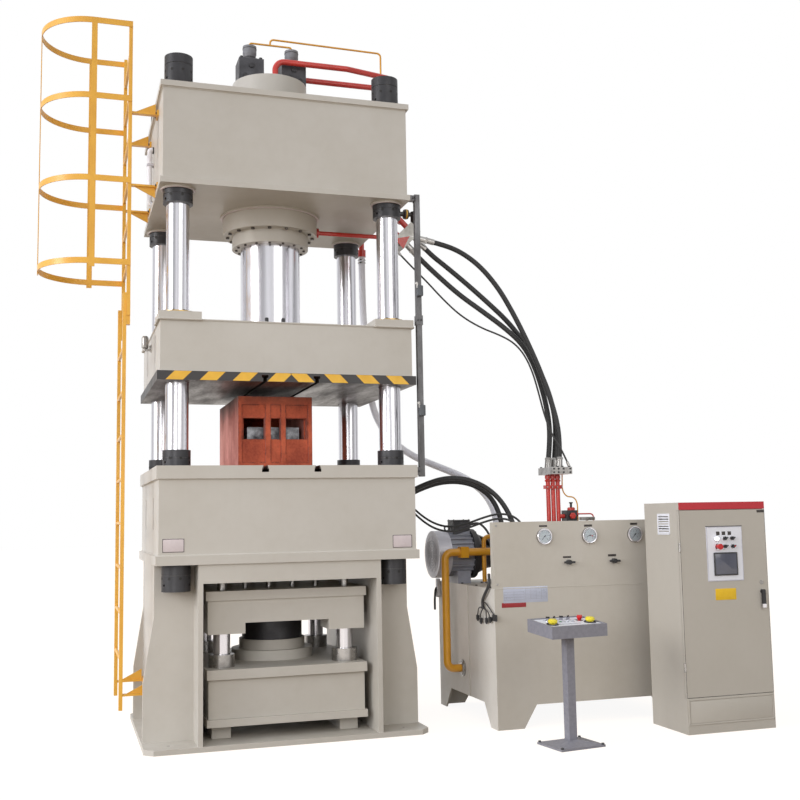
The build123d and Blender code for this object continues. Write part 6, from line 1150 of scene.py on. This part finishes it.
def slide_details():
    """Hazard stripes, caps, bush screws and weld beads that ride on the slide."""
    stripes = []
    wide, tall = STRIPE_HALF
    for centre in STRIPE_CENTRES:
        lean = math.copysign(STRIPE_LEAN, -centre)
        outline = [(-wide - lean, -tall), (wide - lean, -tall), (wide + lean, tall), (-wide + lean, tall)]
        stripes.append(moved(plate(outline, 0, 0.7, 0.3, 2), FRONT, (centre, *SLIDE_EDGE)))
    make_piece("slide_hazard_stripes", stripes, STRIPE_YELLOW, SLIDE)
    fit("slide_lift_caps", turned([(14, 0), (14, 30), (11, 36), (6, 38)], 24),
        [(x, y, SLIDE_TOP) for x, y in LIFT_CAPS], BLACK_PLASTIC, body=SLIDE)
    places = [on_circle((x, y, BUSH_TOP), *BUSH_SCREWS) for x, y in COLUMNS]
    fit("bush_screws", cap_screw(8, 7), places, NUT_BLACK, body=SLIDE)
    beads = box_welds(SLIDE_HALF, SLIDE_LOW) + box_welds(SLIDE_HALF, SLIDE_TOP)
    for centre in product(PAD_XS, PAD_YS):
        beads += box_welds(PAD_HALF, SLIDE_TOP, centre)
    make_piece("slide_weld_beads", beads, PRESS_PAINT, SLIDE)
    fit("oiler_boss", turned([(30, 0), (30, 6), (22, 9), (22, 16)], 28), (-SLIDE_HALF[0], 0, OILER_Z),
        FITTING_STEEL, LEFT, SLIDE)
    fit("oiler_sight_glass", collar(20, 24.5, 44, 1.5), (-SLIDE_HALF[0] - 46, 0, OILER_Z + 13), OIL_GLASS,
        body=SLIDE)


def box_welds(half, z, centre=(0, 0)):
    """Beads along the four edges where a box meets a plate."""
    corners = [(centre[0] + a * half[0], centre[1] + b * half[1], z)
               for a, b in ((-1, -1), (1, -1), (1, 1), (-1, 1))]
    return [weld(start, end) for start, end in zip(corners, corners[1:] + corners[:1])]


def frame_details():
    """Beads, sealant rings, plates, nut holes and bolts of the fixed frame."""
    beads = []
    for half, levels in ((CROWN_HALF, CROWN_LEVELS), (BOLSTER_HALF, BOLSTER_LEVELS)):
        for level in levels:
            beads += box_welds(half, level)
    make_piece("frame_weld_beads", beads, PRESS_PAINT)
    rings = [moved(sealant(COLUMN_SEALANT, 17, 3.5, seed), DOWN, (x, y, CROWN_UNDER))
             for seed, (x, y) in enumerate(COLUMNS)]
    rings.append(moved(sealant(CYLINDER_SEALANT, 18, 4, 5.0), DOWN, (0, 0, CROWN_UNDER)))
    make_piece("crown_sealant_rings", rings, LABEL_PALE)
    holes = []
    for (x, y), (radius, z), angle in product(COLUMNS, NUT_RINGS, np.arange(8) * np.pi / 4 + 0.2):
        way = np.array([math.cos(angle), math.sin(angle), 0])
        place = np.array([x, y, z]) + (radius - 1.0) * way
        holes.append(moved(collar(6, 10, 2.2, 0.6, 16), towards(way), place))
        holes.append(moved(disc(6.4, 1.4, 0.2, 12), towards(way), place))
    make_piece("nut_spanner_holes", holes, DARK_HOLE)
    front = -BOLSTER_HALF[1]
    width, height = BOLSTER_PLATE
    rim = frame_ring(width - 2, height - 2, 0.6, 4.0, 0.3, 2)
    for side, x, z in BOLSTER_PLATES_AT:
        front_plate("bolster_plate_" + side, x, z, BOLSTER_PLATE, front, LABEL_PALE)
        middle = np.array([x + width / 2, front - 1.2, z + height / 2])
        fit("bolster_plate_rim_" + side, rim, middle, LABEL_BLACK, FRONT)
        fit("bolster_plate_rivets_" + side, turned([(3, 0), (2.6, 1.2), (1.2, 1.8)], 12),
            [middle + (a, 0, b) for a, b in product((-66, 66), (-39, 39))], FITTING_STEEL, FRONT)
    fit("ladder_bracket_bolts", bolt(9, 9),
        [(BRACKET_FACE, y + a, z) for y, z, a in product(BRACKET_YS, BRACKET_ZS, (-40, 40))],
        NUT_BLACK, LEFT)
    low, high = SIDE_PIPE_ENDS
    wall, y = -CROWN_HALF[0], SIDE_PIPE_Y
    corners = [(wall - 2, y, low), (wall - 31, y, low), (wall - 31, y, high), (wall - 2, y, high)]
    make_piece("crown_side_pipe", [tube(corners, 18, 19, 18)], PANEL_WHITE)
    fit("crown_side_pipe_ends", collar(12, 26, 9, 2), [(wall - 1, y, z) for z in SIDE_PIPE_ENDS],
        NUT_BLACK, LEFT)
    clips = [slab_between((wall - 53, y - 24, z - 9), (wall, y + 24, z + 9), 2) for z in SIDE_PIPE_CLIPS]
    make_piece("crown_side_pipe_clips", clips, COWL_PAINT)
    rail = [slab_between((941, -768, 3835), (944.5, -702, 3880), 1.2),
            repeated(bolt(9, 8), [(x, -755, z) for x, z in RAIL_BOLTS], FRONT),
            moved(bolt(8, 7), FRONT, (930, -766, 1840))]
    make_piece("switch_rail_bolts", rail, NUT_BLACK)
    switch = [slab_between((938, -792, z), (982, -757, z + 78), 4) for z in SWITCH_FEET]
    make_piece("travel_switches", switch, SWITCH_PLASTIC)
    levers = [repeated(disc(11, 9, 1.5, 20), [(934, -776, z + 92) for z in SWITCH_FEET], FRONT)]
    levers += [slab_between((930, -786, z + 56), (944, -779, z + 100), 2) for z in SWITCH_FEET]
    make_piece("travel_switch_levers", levers, FITTING_STEEL)


def valve_details():
    """Screws, seams and ports of the prefill valves and the manifold."""
    fit("prefill_screw_sockets", disc(6, 0.6, 0.2, 6),
        [(x + dx, y, PREFILL_TOP) for x, y, dx in product(PREFILL_XS, (-74, 74), (-73, 73))], DARK_HOLE)
    fit("prefill_cup_seams", collar(53, 56, 5, 1),
        [(x, 0, z) for x, z in product(PREFILL_XS, CUP_SEAMS)], EDGE_BLACK)
    sides = [(x + dx, PREFILL_FRONT, SIDE_PLUG_Z) for x, dx in product(PREFILL_XS, (-52, 52))]
    middles = [(x, PREFILL_FRONT, MIDDLE_PLUG_Z) for x in PREFILL_XS]
    plugs = [repeated(bolt(17, 9), sides, FRONT), repeated(bolt(22, 12), middles, FRONT)]
    make_piece("prefill_plugs", plugs, NUT_BLACK)
    nuts = []
    sleeve = turned([(23, 0), (24.5, 6), (24.5, 60), (22, 66)], 28)
    for name, last in product(UPPER_HOSES, (False, True)):
        tip, way = hose_end(name, last)
        nuts.append(moved(bolt(28, 20), towards(way), tip - way * 4))
        if not last:
            nuts.append(moved(sleeve, towards(way), tip - way * 66))
    make_piece("hose_ferrules", nuts, FITTING_STEEL)
    knob = turned([(20, -34), (20, 0), (37, 3), (40, 10), (40, 34), (36, 40), (20, 42), (16, 60), (8, 62)],
                  32)
    fit("manifold_valve_knob", knob, (1094, 0, KNOB_LEVEL), EDGE_BLACK, RIGHT)
    fit("manifold_valve_band", collar(36, 41.5, 12, 2), (1110, 0, KNOB_LEVEL), STRIPE_YELLOW, RIGHT)
    stub = tube([(1128, 0, KNOB_LEVEL), (1165, 0, KNOB_LEVEL), (1185, 0, KNOB_LEVEL - 37)], 20, 15, 14)
    make_piece("manifold_valve_stub", [stub], EDGE_BLACK)
    flange = [moved(collar(24, 44, 16, 2), towards((1, 0, 1)), (1040, 0, 3905)),
              moved(collar(26, 52, 18, 2), RIGHT, (1022, 0, 3740))]
    make_piece("manifold_flanges", flange, PIPE_RED)


# Station details

def dial(x, pointer, red_mark=False):
    """Pressure gauge face: chrome rim, enamel dial, marks, numbers, pointer, hub and glass."""
    def at(out, across=0.0, up=0.0):
        return x + across, DIAL_FRONT - out, GAUGE_Z + up

    rim = turned([(58.2, -3), (59.5, 1), (58.5, 6), (54, 9), (49, 7), (46.8, 2.5), (46.8, 0.6)], 56)
    angles = np.radians(225 - 270 * np.arange(DIAL_MARKS + 1) / DIAL_MARKS)
    long_ones = np.arange(DIAL_MARKS + 1) % 5 == 0
    ink = [moved(bars(angles[~long_ones], 38.5, 43, 0.7, 0.3), FRONT, at(1.2)),
           moved(bars(angles[long_ones], 35.5, 43, 1.3, 0.3), FRONT, at(1.2))]
    ink += [moved(numeral(number, 8.5), FRONT, at(1.5, 28 * math.cos(angle), 28 * math.sin(angle)))
            for number, angle in zip(DIAL_NUMBERS, angles[long_ones][::2])]
    needle = plate([(-12, -2.6), (0, -2.2), (36, -0.5), (36, 0.5), (0, 2.2), (-12, 2.6)], 0, 0.8, 0.2, 2)
    ink.append(moved(needle, FRONT @ about_z(math.radians(pointer)), at(2.6)))
    ink.append(moved(disc(4.6, 3, 0.8, 20), FRONT, at(2.4)))
    fit(f"gauge_rim_{x}", rim, at(0), CHROME, FRONT)
    fit(f"gauge_dial_{x}", disc(46.7, 1.2, 0.2, 48), at(0), DIAL_WHITE, FRONT)
    make_piece(f"gauge_ink_{x}", ink, DIAL_INK)
    fit(f"gauge_glass_{x}", disc(46.6, 1.0, 0.3, 48), at(6), GLASS, FRONT)
    if red_mark:
        red = [moved(disc(6, 1.2, 0.4, 20), FRONT, at(2.2, 21, -4)),
               moved(bars([math.radians(-12)], 0, 30, 2.4, 0.7), FRONT, at(2))]
        make_piece(f"gauge_red_pointer_{x}", red, RED_PLASTIC)


def ruled(across, up, rows, columns):
    """Lines of a table on the data plate: rows over its width, columns over its height."""
    face, back = PANEL_FRONT - 1.4, PANEL_FRONT - 0.9
    return ([slab_between((across[0], face, z), (across[1], back, z + 1.4), 0.2) for z in rows]
            + [slab_between((x, face, up[0]), (x + 1.2, back, up[1]), 0.2) for x in columns])


def panel_details():
    """Gauges, bare strips and plates on the gauge panel, and its edge fold."""
    for x, pointer in zip(GAUGE_XS, DIAL_POINTERS):
        dial(x, pointer, x == GAUGE_XS[1])
    for number, (x, z, width, height) in enumerate(PANEL_STRIPS):
        front_plate(f"panel_strip_{number}", x, z, (width, height), PANEL_FRONT, LABEL_BLACK, 0.8, 1.0)
    front_plate("station_data_plate", 1521, 886, (350, 113), PANEL_FRONT, LABEL_BLUE, 1.0, 3.0)
    lines = ruled((1694, 1863), (907, 990), range(911, 990, 10), range(1694, 1863, 42))
    lines += ruled((1526, 1684), (906, 964), range(906, 964, 19), (1526, 1604, 1683))
    make_piece("station_plate_lines", lines, STAND_PAINT)
    front_plate("station_red_strip", 1507, 854, (190, 34), PANEL_FRONT, LABEL_RED, 0.8, 1.5)
    washers = [repeated(collar(9, 22, 5, 1.2), [(x, PANEL_FRONT, VALVE_Z) for x in VALVE_XS], FRONT),
               repeated(bolt(14, 9), [(x, PANEL_FRONT - 4, VALVE_Z) for x in VALVE_XS], FRONT)]
    make_piece("gauge_valve_bushes", washers, FITTING_STEEL)
    fit("panel_screws", cap_screw(8, 5), [*product((1478, 2972), (PANEL_FRONT,), (1020, 1440))],
        FITTING_STEEL, FRONT)
    x, y = TANK_LEFT + 1, PANEL_FRONT + 2
    beads = [weld((TANK_LEFT, PANEL_FRONT, TANK_LID - 2), (TANK_RIGHT, PANEL_FRONT, TANK_LID - 2), 2.5, 9),
             weld((x, y, 170), (x, y, TANK_LID - 5), 3, 9)]
    make_piece("tank_seams", beads, STATION_PAINT)


def tank_details():
    """Fittings on the oil tank's lid and left wall."""
    filler = turned([(62, 0), (62, 8), (52, 10), (52, 44), (60, 48), (60, 78), (50, 86), (14, 88)], 40)
    fit("tank_air_filter", filler, (*FILTER_AT, TANK_LID), BLACK_PLASTIC)
    x, y = TANK_COVER_AT
    covers = [moved(part, UPRIGHT, (x, y, TANK_LID))
              for part in (collar(130, 175, 10, 2), disc(150, 14, 3, 48))]
    make_piece("tank_cleaning_cover", covers, STATION_PAINT)
    rim = product(LID_BOLT_XS, LID_BOLT_YS, (TANK_LID,))
    fit("tank_cover_bolts", bolt(10, 8), [*on_circle((x, y, TANK_LID + 10), 158, 12), *rim], NUT_BLACK)
    flange = [moved(collar(31, 62, 16, 2), LEFT, (TANK_LEFT, *SUCTION_AT)),
              repeated(bolt(9, 8), on_circle((TANK_LEFT - 16, *SUCTION_AT), 47, 6, turn=RIGHT), LEFT),
              moved(collar(17, 34, 12, 2), UPRIGHT, (1662, -150, TANK_LID))]
    make_piece("suction_flange", flange, FITTING_STEEL)
    make_piece("tank_rear_junction_box", [slab_between((1424, 300, 860), (TANK_LEFT, 345, 1012), 6)],
               PANEL_WHITE)
    elbow = tube([(1440, 322, 945), (1416, 322, 930), (1408, 322, 842), (1408, 322, 760)], 30, 9, 14,
                 (0, 1, 0.1))
    make_piece("tank_rear_conduit", [elbow], CABLE_BLACK)
    clamps = []
    for last, back in product((False, True), (28, 52)):
        tip, way = hose_end("hose_return", last)
        screw_way, screw_side = np.cross(way, (0.3, 0.9, 0.1)), np.cross(way, (0.9, -0.3, 0.2))
        clamps.append(moved(collar(29.5, 34, 12, 1.4), towards(way), tip - way * (back + 6)))
        clamps.append(moved(bolt(6, 18), towards(screw_way), tip - way * back + screw_side * 34))
    make_piece("return_hose_clamps", clamps, FITTING_STEEL)


def drive_details():
    """Fan grille, lid, gland and bolts of the motor, its bell and the pump."""
    rings = [collar(r, r + 5, 6, 1.4, 48) for r in range(30, 141, 22)]
    rings.append(bars(np.arange(12) * np.pi / 6, 28, 146, 5, 4))
    make_piece("motor_fan_grille", [moved(ring, LEFT, (GRILLE_X, *SHAFT)) for ring in rings], COWL_PAINT)
    fit("motor_fan_shadow", disc(112, 1.2, 0.3, 48), (GRILLE_X - 2, *SHAFT), MOTOR_PAINT, LEFT)
    fit("motor_flange_bolts", bolt(11, 10), on_circle((MOTOR_FLANGE_X, *SHAFT), 180, 8, 0.39, RIGHT),
        NUT_BLACK, RIGHT)
    fit("motor_cowl_screws", bolt(7, 6), on_circle((COWL_EDGE_X, *SHAFT), 172, 6, 0.2, RIGHT),
        FITTING_STEEL, RIGHT)
    lid = slab_between((1456, -19, TERMINAL_LID - 14), (1604, 119, TERMINAL_LID), 4)
    make_piece("terminal_box_lid", [lid], PUMP_PAINT)
    fit("terminal_box_screws", cap_screw(6, 4), [*product((1466, 1594), (-9, 109), (TERMINAL_LID,))],
        FITTING_STEEL)
    gland = turned([(22, 0), (22, 14), (16, 18), (16, 30), (11, 34)], 6)
    fit("terminal_box_gland", gland, (1598, 50, 1446), BLACK_PLASTIC, RIGHT)
    eye = [moved(collar(14, 25, 12, 3), FRONT, (1430, 60, 1420)),
           moved(turned([(12, 0), (12, 10)], 16), UPRIGHT, (1430, 54, 1390))]
    make_piece("motor_eye_bolt", eye, NUT_BLACK)
    fit("pump_bolts", bolt(9, 9), on_circle((PUMP_FACE_X, *SHAFT), 72, 6, turn=RIGHT), FITTING_STEEL, RIGHT)
    lead = bent([(1626, 50, 1446), (1700, 44, 1462), (1752, 20, 1410), (1786, 10, 1340), (1790, -60, 1200),
                 (1800, -180, 1060), (1800, -200, 992)], 60)
    free_cable("motor_lead", evenly(lead, 6.0), 9)


def pipe_details():
    """Bolts, clamp, relief valve and thin pipes of the delivery pipes."""
    fit("flange_block_bolts", cap_screw(9, 9), [*product(BLOCK_XS, BLOCK_YS, (BLOCK_TOP,))], NUT_BLACK)
    fit("flange_block_plugs", bolt(8, 6), [*product((2054, *BLOCK_XS[1:]), (-645,), (1834, 1861))],
        NUT_BLACK, FRONT)
    collars = [repeated(part, [(x, DELIVERY_Y, z) for x in DELIVERY_XS])
               for part, z in ((collar(17.4, 23, 26, 2), 1790), (bolt(26, 16), 1768))]
    make_piece("delivery_collars", collars, PIPE_RED)
    fit("pipe_clamp_screws", bolt(6, 6), [(x, -520, 1726) for x in (2052, 2092, 2134, 2174)], FITTING_STEEL,
        FRONT)
    body = [moved(bolt(26, 20), FRONT, (2245, -540, 1502)),
            moved(bolt(19, 30), RIGHT, (2288, DELIVERY_Y, 1514)),
            moved(turned([(30, 0), (30, 18), (22, 24)], 24), UPRIGHT, (2262, DELIVERY_Y, 1544))]
    make_piece("relief_valve_hexagons", body, PIPE_RED)
    fit("relief_valve_stem", turned([(9, 0), (9, 30), (15, 34), (15, 42)], 20), (2262, DELIVERY_Y, 1566),
        NUT_BLACK)
    for name, bend, radius, material, corners in THIN_PIPES:
        make_piece(name, [tube([(x, DELIVERY_Y, z) for x, z in corners], bend, radius)], material)
    block = [slab_between((2300, -540, 1250), (2470, -440, 1312), 4),
             slab_between((2334, -512, 1466), (2456, -468, 1492), 3),
             slab_between((2388, -500, 1312), (2402, -480, 1466), 1)]
    make_piece("pilot_valve_plates", block, FITTING_STEEL)


def free_cable(name, path, radius):
    """Sheathed cable along a path."""
    made = make_piece(name, [swept(path, radius, 14, (0.9, 0.2, 0.25))], CABLE_BLACK)


def cable_details():
    """Loose end of the switch cables on the tank's left wall: a sheath that parts into leads."""
    tie = fit("switch_cable_tie", collar(9, 15, 14, 1.5), SPLICE - (0, 0, 2), BLACK_PLASTIC)
    trunk = bent([(1450, -760, 1092), (1437, -800, 1020), (1432, -720, 950), (1436, -655, 900), SPLICE], 50)
    free_cable("switch_cable", evenly(trunk, 5.0), 11)
    for number, (over, end) in enumerate(LEADS):
        boxes = [((-9, -13, -30), (11, 13, 6), 3), ((-5, -6, -38), (7, 6, -28), 1)]
        if number == len(LEADS) - 1:
            boxes = [((-3, -38, -44), (11, 38, 2), 3)]
        plug = [slab_between(np.array(end) + low, np.array(end) + high, edge) for low, high, edge in boxes]
        made = make_piece(f"switch_plug_{number}", plug, BLACK_PLASTIC)
        lead = evenly(bent([SPLICE, over, end], 55), 4.0)
        free_cable(f"switch_lead_{number}", lead, 4.2)


def cabinet_details():
    """Control plate frame, lamp, selectors, bezel, plates, vent, plinth and lock of the cabinet."""
    fit("control_plate_frame", frame_ring(292, 382, 4, 8, 1.2, 4), (2945, DOOR_FRONT, 1219.5),
        COWL_PAINT, FRONT, DOOR)
    hood = slab_between((2798, -1497, 1408), (3092, -1490, 1413), 1)
    make_piece("control_plate_hood", [hood], EDGE_BLACK, DOOR)
    rings = [moved(collar(12, 18.5, 4, 1.2), FRONT, (x, CONTROL_FRONT, z)) for x, z in SELECTORS]
    rings.append(moved(collar(12, 20, 5, 1.2), FRONT, (LAMP_AT[0], CONTROL_FRONT, LAMP_AT[1])))
    rings.append(moved(collar(13, 24, 0.6, 0.2), FRONT, (STOP_AT[0], CONTROL_FRONT, STOP_AT[1])))
    make_piece("selector_rings", rings, CHROME, DOOR)
    lens = turned([(13.4, 0), (13.4, 14), (11, 18), (5, 20)], 28)
    fit("white_lamp_lens", lens, (LAMP_AT[0], CONTROL_FRONT - 2, LAMP_AT[1]), LAMP_LIT, FRONT, DOOR)
    fit("selector_grips", sheet(30, 8, 3, 12, 1.5), [(x, -1513, z) for x, z in SELECTORS], BLACK_PLASTIC,
        FRONT @ about_z(SELECTOR_TURN), DOOR)
    fit("selector_red_mark", disc(5, 2, 0.5, 16), (3011, -1524.5, 1271), RED_PLASTIC, FRONT, DOOR)
    for number, x in enumerate(LAMP_STRIP_XS):
        front_plate(f"lamp_strip_{number}", x, LAMP_STRIP_Z, (28, 26), CONTROL_FRONT, LABEL_BLACK, 0.8, 1.0,
                    DOOR)
    fit("screen_bezel", frame_ring(190, 160, 7, 9, 1.6, 5), (SCREEN_AT[0], CONTROL_FRONT - 2, SCREEN_AT[1]),
        BLACK_PLASTIC, FRONT, DOOR)
    fit("screen_pane", sheet(173, 143, 2, 1.2), (SCREEN_AT[0], CONTROL_FRONT - 5.6, SCREEN_AT[1]),
        SCREEN, FRONT, DOOR)
    front_plate("yellow_plate", 2854, 898, (168, 79), DOOR_FRONT, LABEL_YELLOW, 0.9, 3.0, DOOR)
    front_plate("cabinet_badge", 3225, 1503, (62, 18), DOOR_FRONT, LABEL_BLACK, 1.2, 3.0, DOOR)
    fit("vent_frame", frame_ring(159, 148, 6, 9, 1.2, 4), (2589, -1291.5, 1431), PANEL_WHITE, LEFT)
    slats = [slab_between((2584, -1363, z), (2589, -1220, z + 10), 1.5) for z in range(1368, 1488, 17)]
    make_piece("vent_slats", slats, PANEL_WHITE)
    lower = [moved(part, FRONT, (CABINET_X, DOOR_FRONT, LOWER_PANEL_Z))
             for part in (frame_ring(685, 174, 4, 10, 1.5, 4), sheet(655, 146, 3, 3, 1))]
    make_piece("cabinet_lower_panel", lower, CABINET_PAINT)
    fit("cabinet_door_gap", frame_ring(700, 1284, 1.0, 2.4, 0.3, 4), (CABINET_X, DOOR_FRONT, DOOR_Z),
        SEAL_GREY, FRONT, DOOR)
    make_piece("door_handle_sleeve", [slab_between((3219, -1518.5, 833), (3251, -1504, 862), 3)], CHROME,
               "door_latch")
    fit("cabinet_hinges", turned([(9, 0), (9, 60)], 20), [(*HINGE_AT, z) for z in HINGE_ZS],
        FITTING_STEEL)
    lock = [moved(part, FRONT, (LOCK_AT[0], DOOR_FRONT, LOCK_AT[1]))
            for part in (collar(6, 15, 4, 1), disc(6, 3, 0.5, 20))]
    make_piece("cabinet_lock", lock, FITTING_STEEL, DOOR)


def on_panel(part, x, y, lift, turn=None):
    """Part on the stand's sloped panel: (x, y) along it, lift over its rim."""
    flat = np.array([x, y, STAND_RIM + (y + STAND_FRONT) * math.tan(CONSOLE_TILT)])
    place = CONSOLE_LEVEL @ flat + CONSOLE_AT + lift * CONSOLE_TURN[:, 2]
    return moved(part, CONSOLE_TURN if turn is None else turn, place)


def console_details():
    """White panel, collars, selector grips, small buttons, legend plates and screws of the stand."""
    white = sheet(400, 268, 4, 0.5, 0.2, rim_steps=2)
    make_piece("stand_panel", [on_panel(white, 0, 0, -6.2)], PANEL_WHITE)
    rings = [on_panel(collar(33.5, 41, 7, 2.5), x, PALM_ROW, -5.8) for x in PALM_XS]
    rings.append(on_panel(collar(12.5, 26, 0.5, 0.2), 118, 28, -5.7))
    make_piece("stand_button_collars", rings, BLACK_PLASTIC)
    grips, chrome = [], []
    for x, spin in zip(STAND_SELECTORS, (-30, 35, -30, 35)):
        own = CONSOLE_TURN @ about_z(math.radians(spin))
        grips.append(on_panel(sheet(26, 8, 3, 12, 1.5), x, SELECTOR_ROW, 13, own))
        chrome.append(on_panel(collar(10.6, 16, 4, 1), x, SELECTOR_ROW, -5))
    chrome += [on_panel(collar(8.2, 13, 4, 1), x, BUTTON_ROW, -5) for x in STAND_BUTTONS]
    make_piece("stand_selector_grips", grips, BLACK_PLASTIC)
    make_piece("stand_button_rings", chrome, CHROME)
    shades = ((GREEN_PLASTIC, "green"), (DIAL_WHITE, "white"), (LABEL_BLUE, "blue"))
    for x, (shade, name) in zip(STAND_BUTTONS, shades):
        button = on_panel(turned([(8.4, 0), (8.4, 2), (7, 3.2)], 24), x, BUTTON_ROW, 0.5)
        make_piece("stand_button_" + name, [button], shade)
    legends = [*product(STAND_SELECTORS, (SELECTOR_ROW + 30,)), *product(STAND_BUTTONS, (BUTTON_ROW + 26,)),
               *LONE_LEGENDS]
    plates = [on_panel(sheet(34, 12, 1.5, 0.8, 0.2, 3, 2), x, y, -5) for x, y in legends]
    make_piece("stand_legend_plates", plates, LABEL_BLUE)
    line = sheet(58, 2.2, 0.6, 0.5, 0.2)
    ink = [on_panel(line, x, y, -4.9) for x, y in product((-90, -28, 34), (-60, -74))]
    make_piece("stand_legend_lines", ink, STAND_PAINT)
    screws = [on_panel(cap_screw(5, 3), x, y, -5) for x, y in product((-190, 190), (-124, 124))]
    make_piece("stand_panel_screws", screws, FITTING_STEEL)
    red = turned([(12, 0), (12, 16), (9, 21)], 20)
    make_piece("stand_red_lamp", [on_panel(red, 176, 96, -5)], RED_PLASTIC)
    fit("stand_anchor_bolts", bolt(11, 10),
        [CONSOLE_LEVEL @ (x, y, 14) + CONSOLE_AT for x, y in product((-158, 158), (-134, 134))], NUT_BLACK,
        CONSOLE_LEVEL)


def rear_details():
    """Rear cover of the cabinet, drain and lugs of the tank, gauge connections behind the panel."""
    cover = [moved(part, BACK, (CABINET_X, CABINET_BACK, 800))
             for part in (frame_ring(640, 1400, 4, 14, 1.5, 6), sheet(600, 1360, 4, 2.5, 1))]
    make_piece("cabinet_rear_cover", cover, CABINET_PAINT)
    fit("cabinet_rear_screws", cap_screw(7, 4),
        [*product(REAR_SCREW_XS, (CABINET_BACK + 4,), REAR_SCREW_ZS)], FITTING_STEEL, BACK)
    slats = [slab_between((2780, CABINET_BACK + 2, z), (3100, CABINET_BACK + 7, z + 9), 2)
             for z in range(1240, 1400, 18)]
    make_piece("cabinet_rear_slats", slats, CABINET_PAINT)
    drain = [moved(part, BACK, (x, TANK_BACK, z)) for part, x, z in (
        (bolt(26, 18), 1700, 230), (collar(26, 40, 8, 2), 1700, 230), (bolt(20, 14), 1760, 330))]
    make_piece("tank_drain_plugs", drain, FITTING_STEEL)
    lug = collar(16, 36, 14, 3)
    lugs = [repeated(lug, [(TANK_RIGHT, y, LUG_Z) for y in (-640, 150)], RIGHT),
            repeated(lug, [(x, TANK_BACK, LUG_Z) for x in (1640, 2800)], BACK)]
    make_piece("tank_lifting_lugs", lugs, STATION_PAINT)
    fit("gauge_connections", turned([(20, 0), (20, 14), (13, 16), (13, 40), (9, 46)], 6),
        [(x, -789, GAUGE_Z) for x in GAUGE_XS], BRASS, BACK)
    lines = [tube([(x, -742, GAUGE_Z), (x, -715, GAUGE_Z), (x, -700, 1300), (x, -700, foot)], 30, 4, 10,
                  (1, 0.1, 0.1)) for x, foot in zip(GAUGE_XS, (1165, 1165, 1000))]
    make_piece("gauge_lines", lines, FITTING_STEEL)
    fit("base_earth_studs", bolt(9, 12), [(x, 764, 40) for x in (-820, 820)], FITTING_STEEL, BACK)


CONSOLE_LEVEL = about_z(CONSOLE_SPIN)
CONSOLE_TURN = CONSOLE_LEVEL @ np.array([[1, 0, 0], [0, math.cos(CONSOLE_TILT), -math.sin(CONSOLE_TILT)],
                                         [0, math.sin(CONSOLE_TILT), math.cos(CONSOLE_TILT)]])
# Name, bend, radius and finish of each thin pipe, and its corners as (x, z)
THIN_PIPES = (
    ("thin_red_pipe", 16, 5.5, PIPE_RED, ((2316, 1516), (2436, 1516), (2452, 1500), (2452, 1310))),
    ("thin_yellow_pipe", 40, 5, PIPE_YELLOW, ((2195, 1822), (2191, 1700), (2227, 1650), (2287, 1649),
                                              (2318, 1606), (2318, 1310))))

for add_details in (slide_details, frame_details, valve_details, panel_details, tank_details, drive_details,
                    pipe_details, cable_details, cabinet_details, console_details, rear_details):
    add_details()
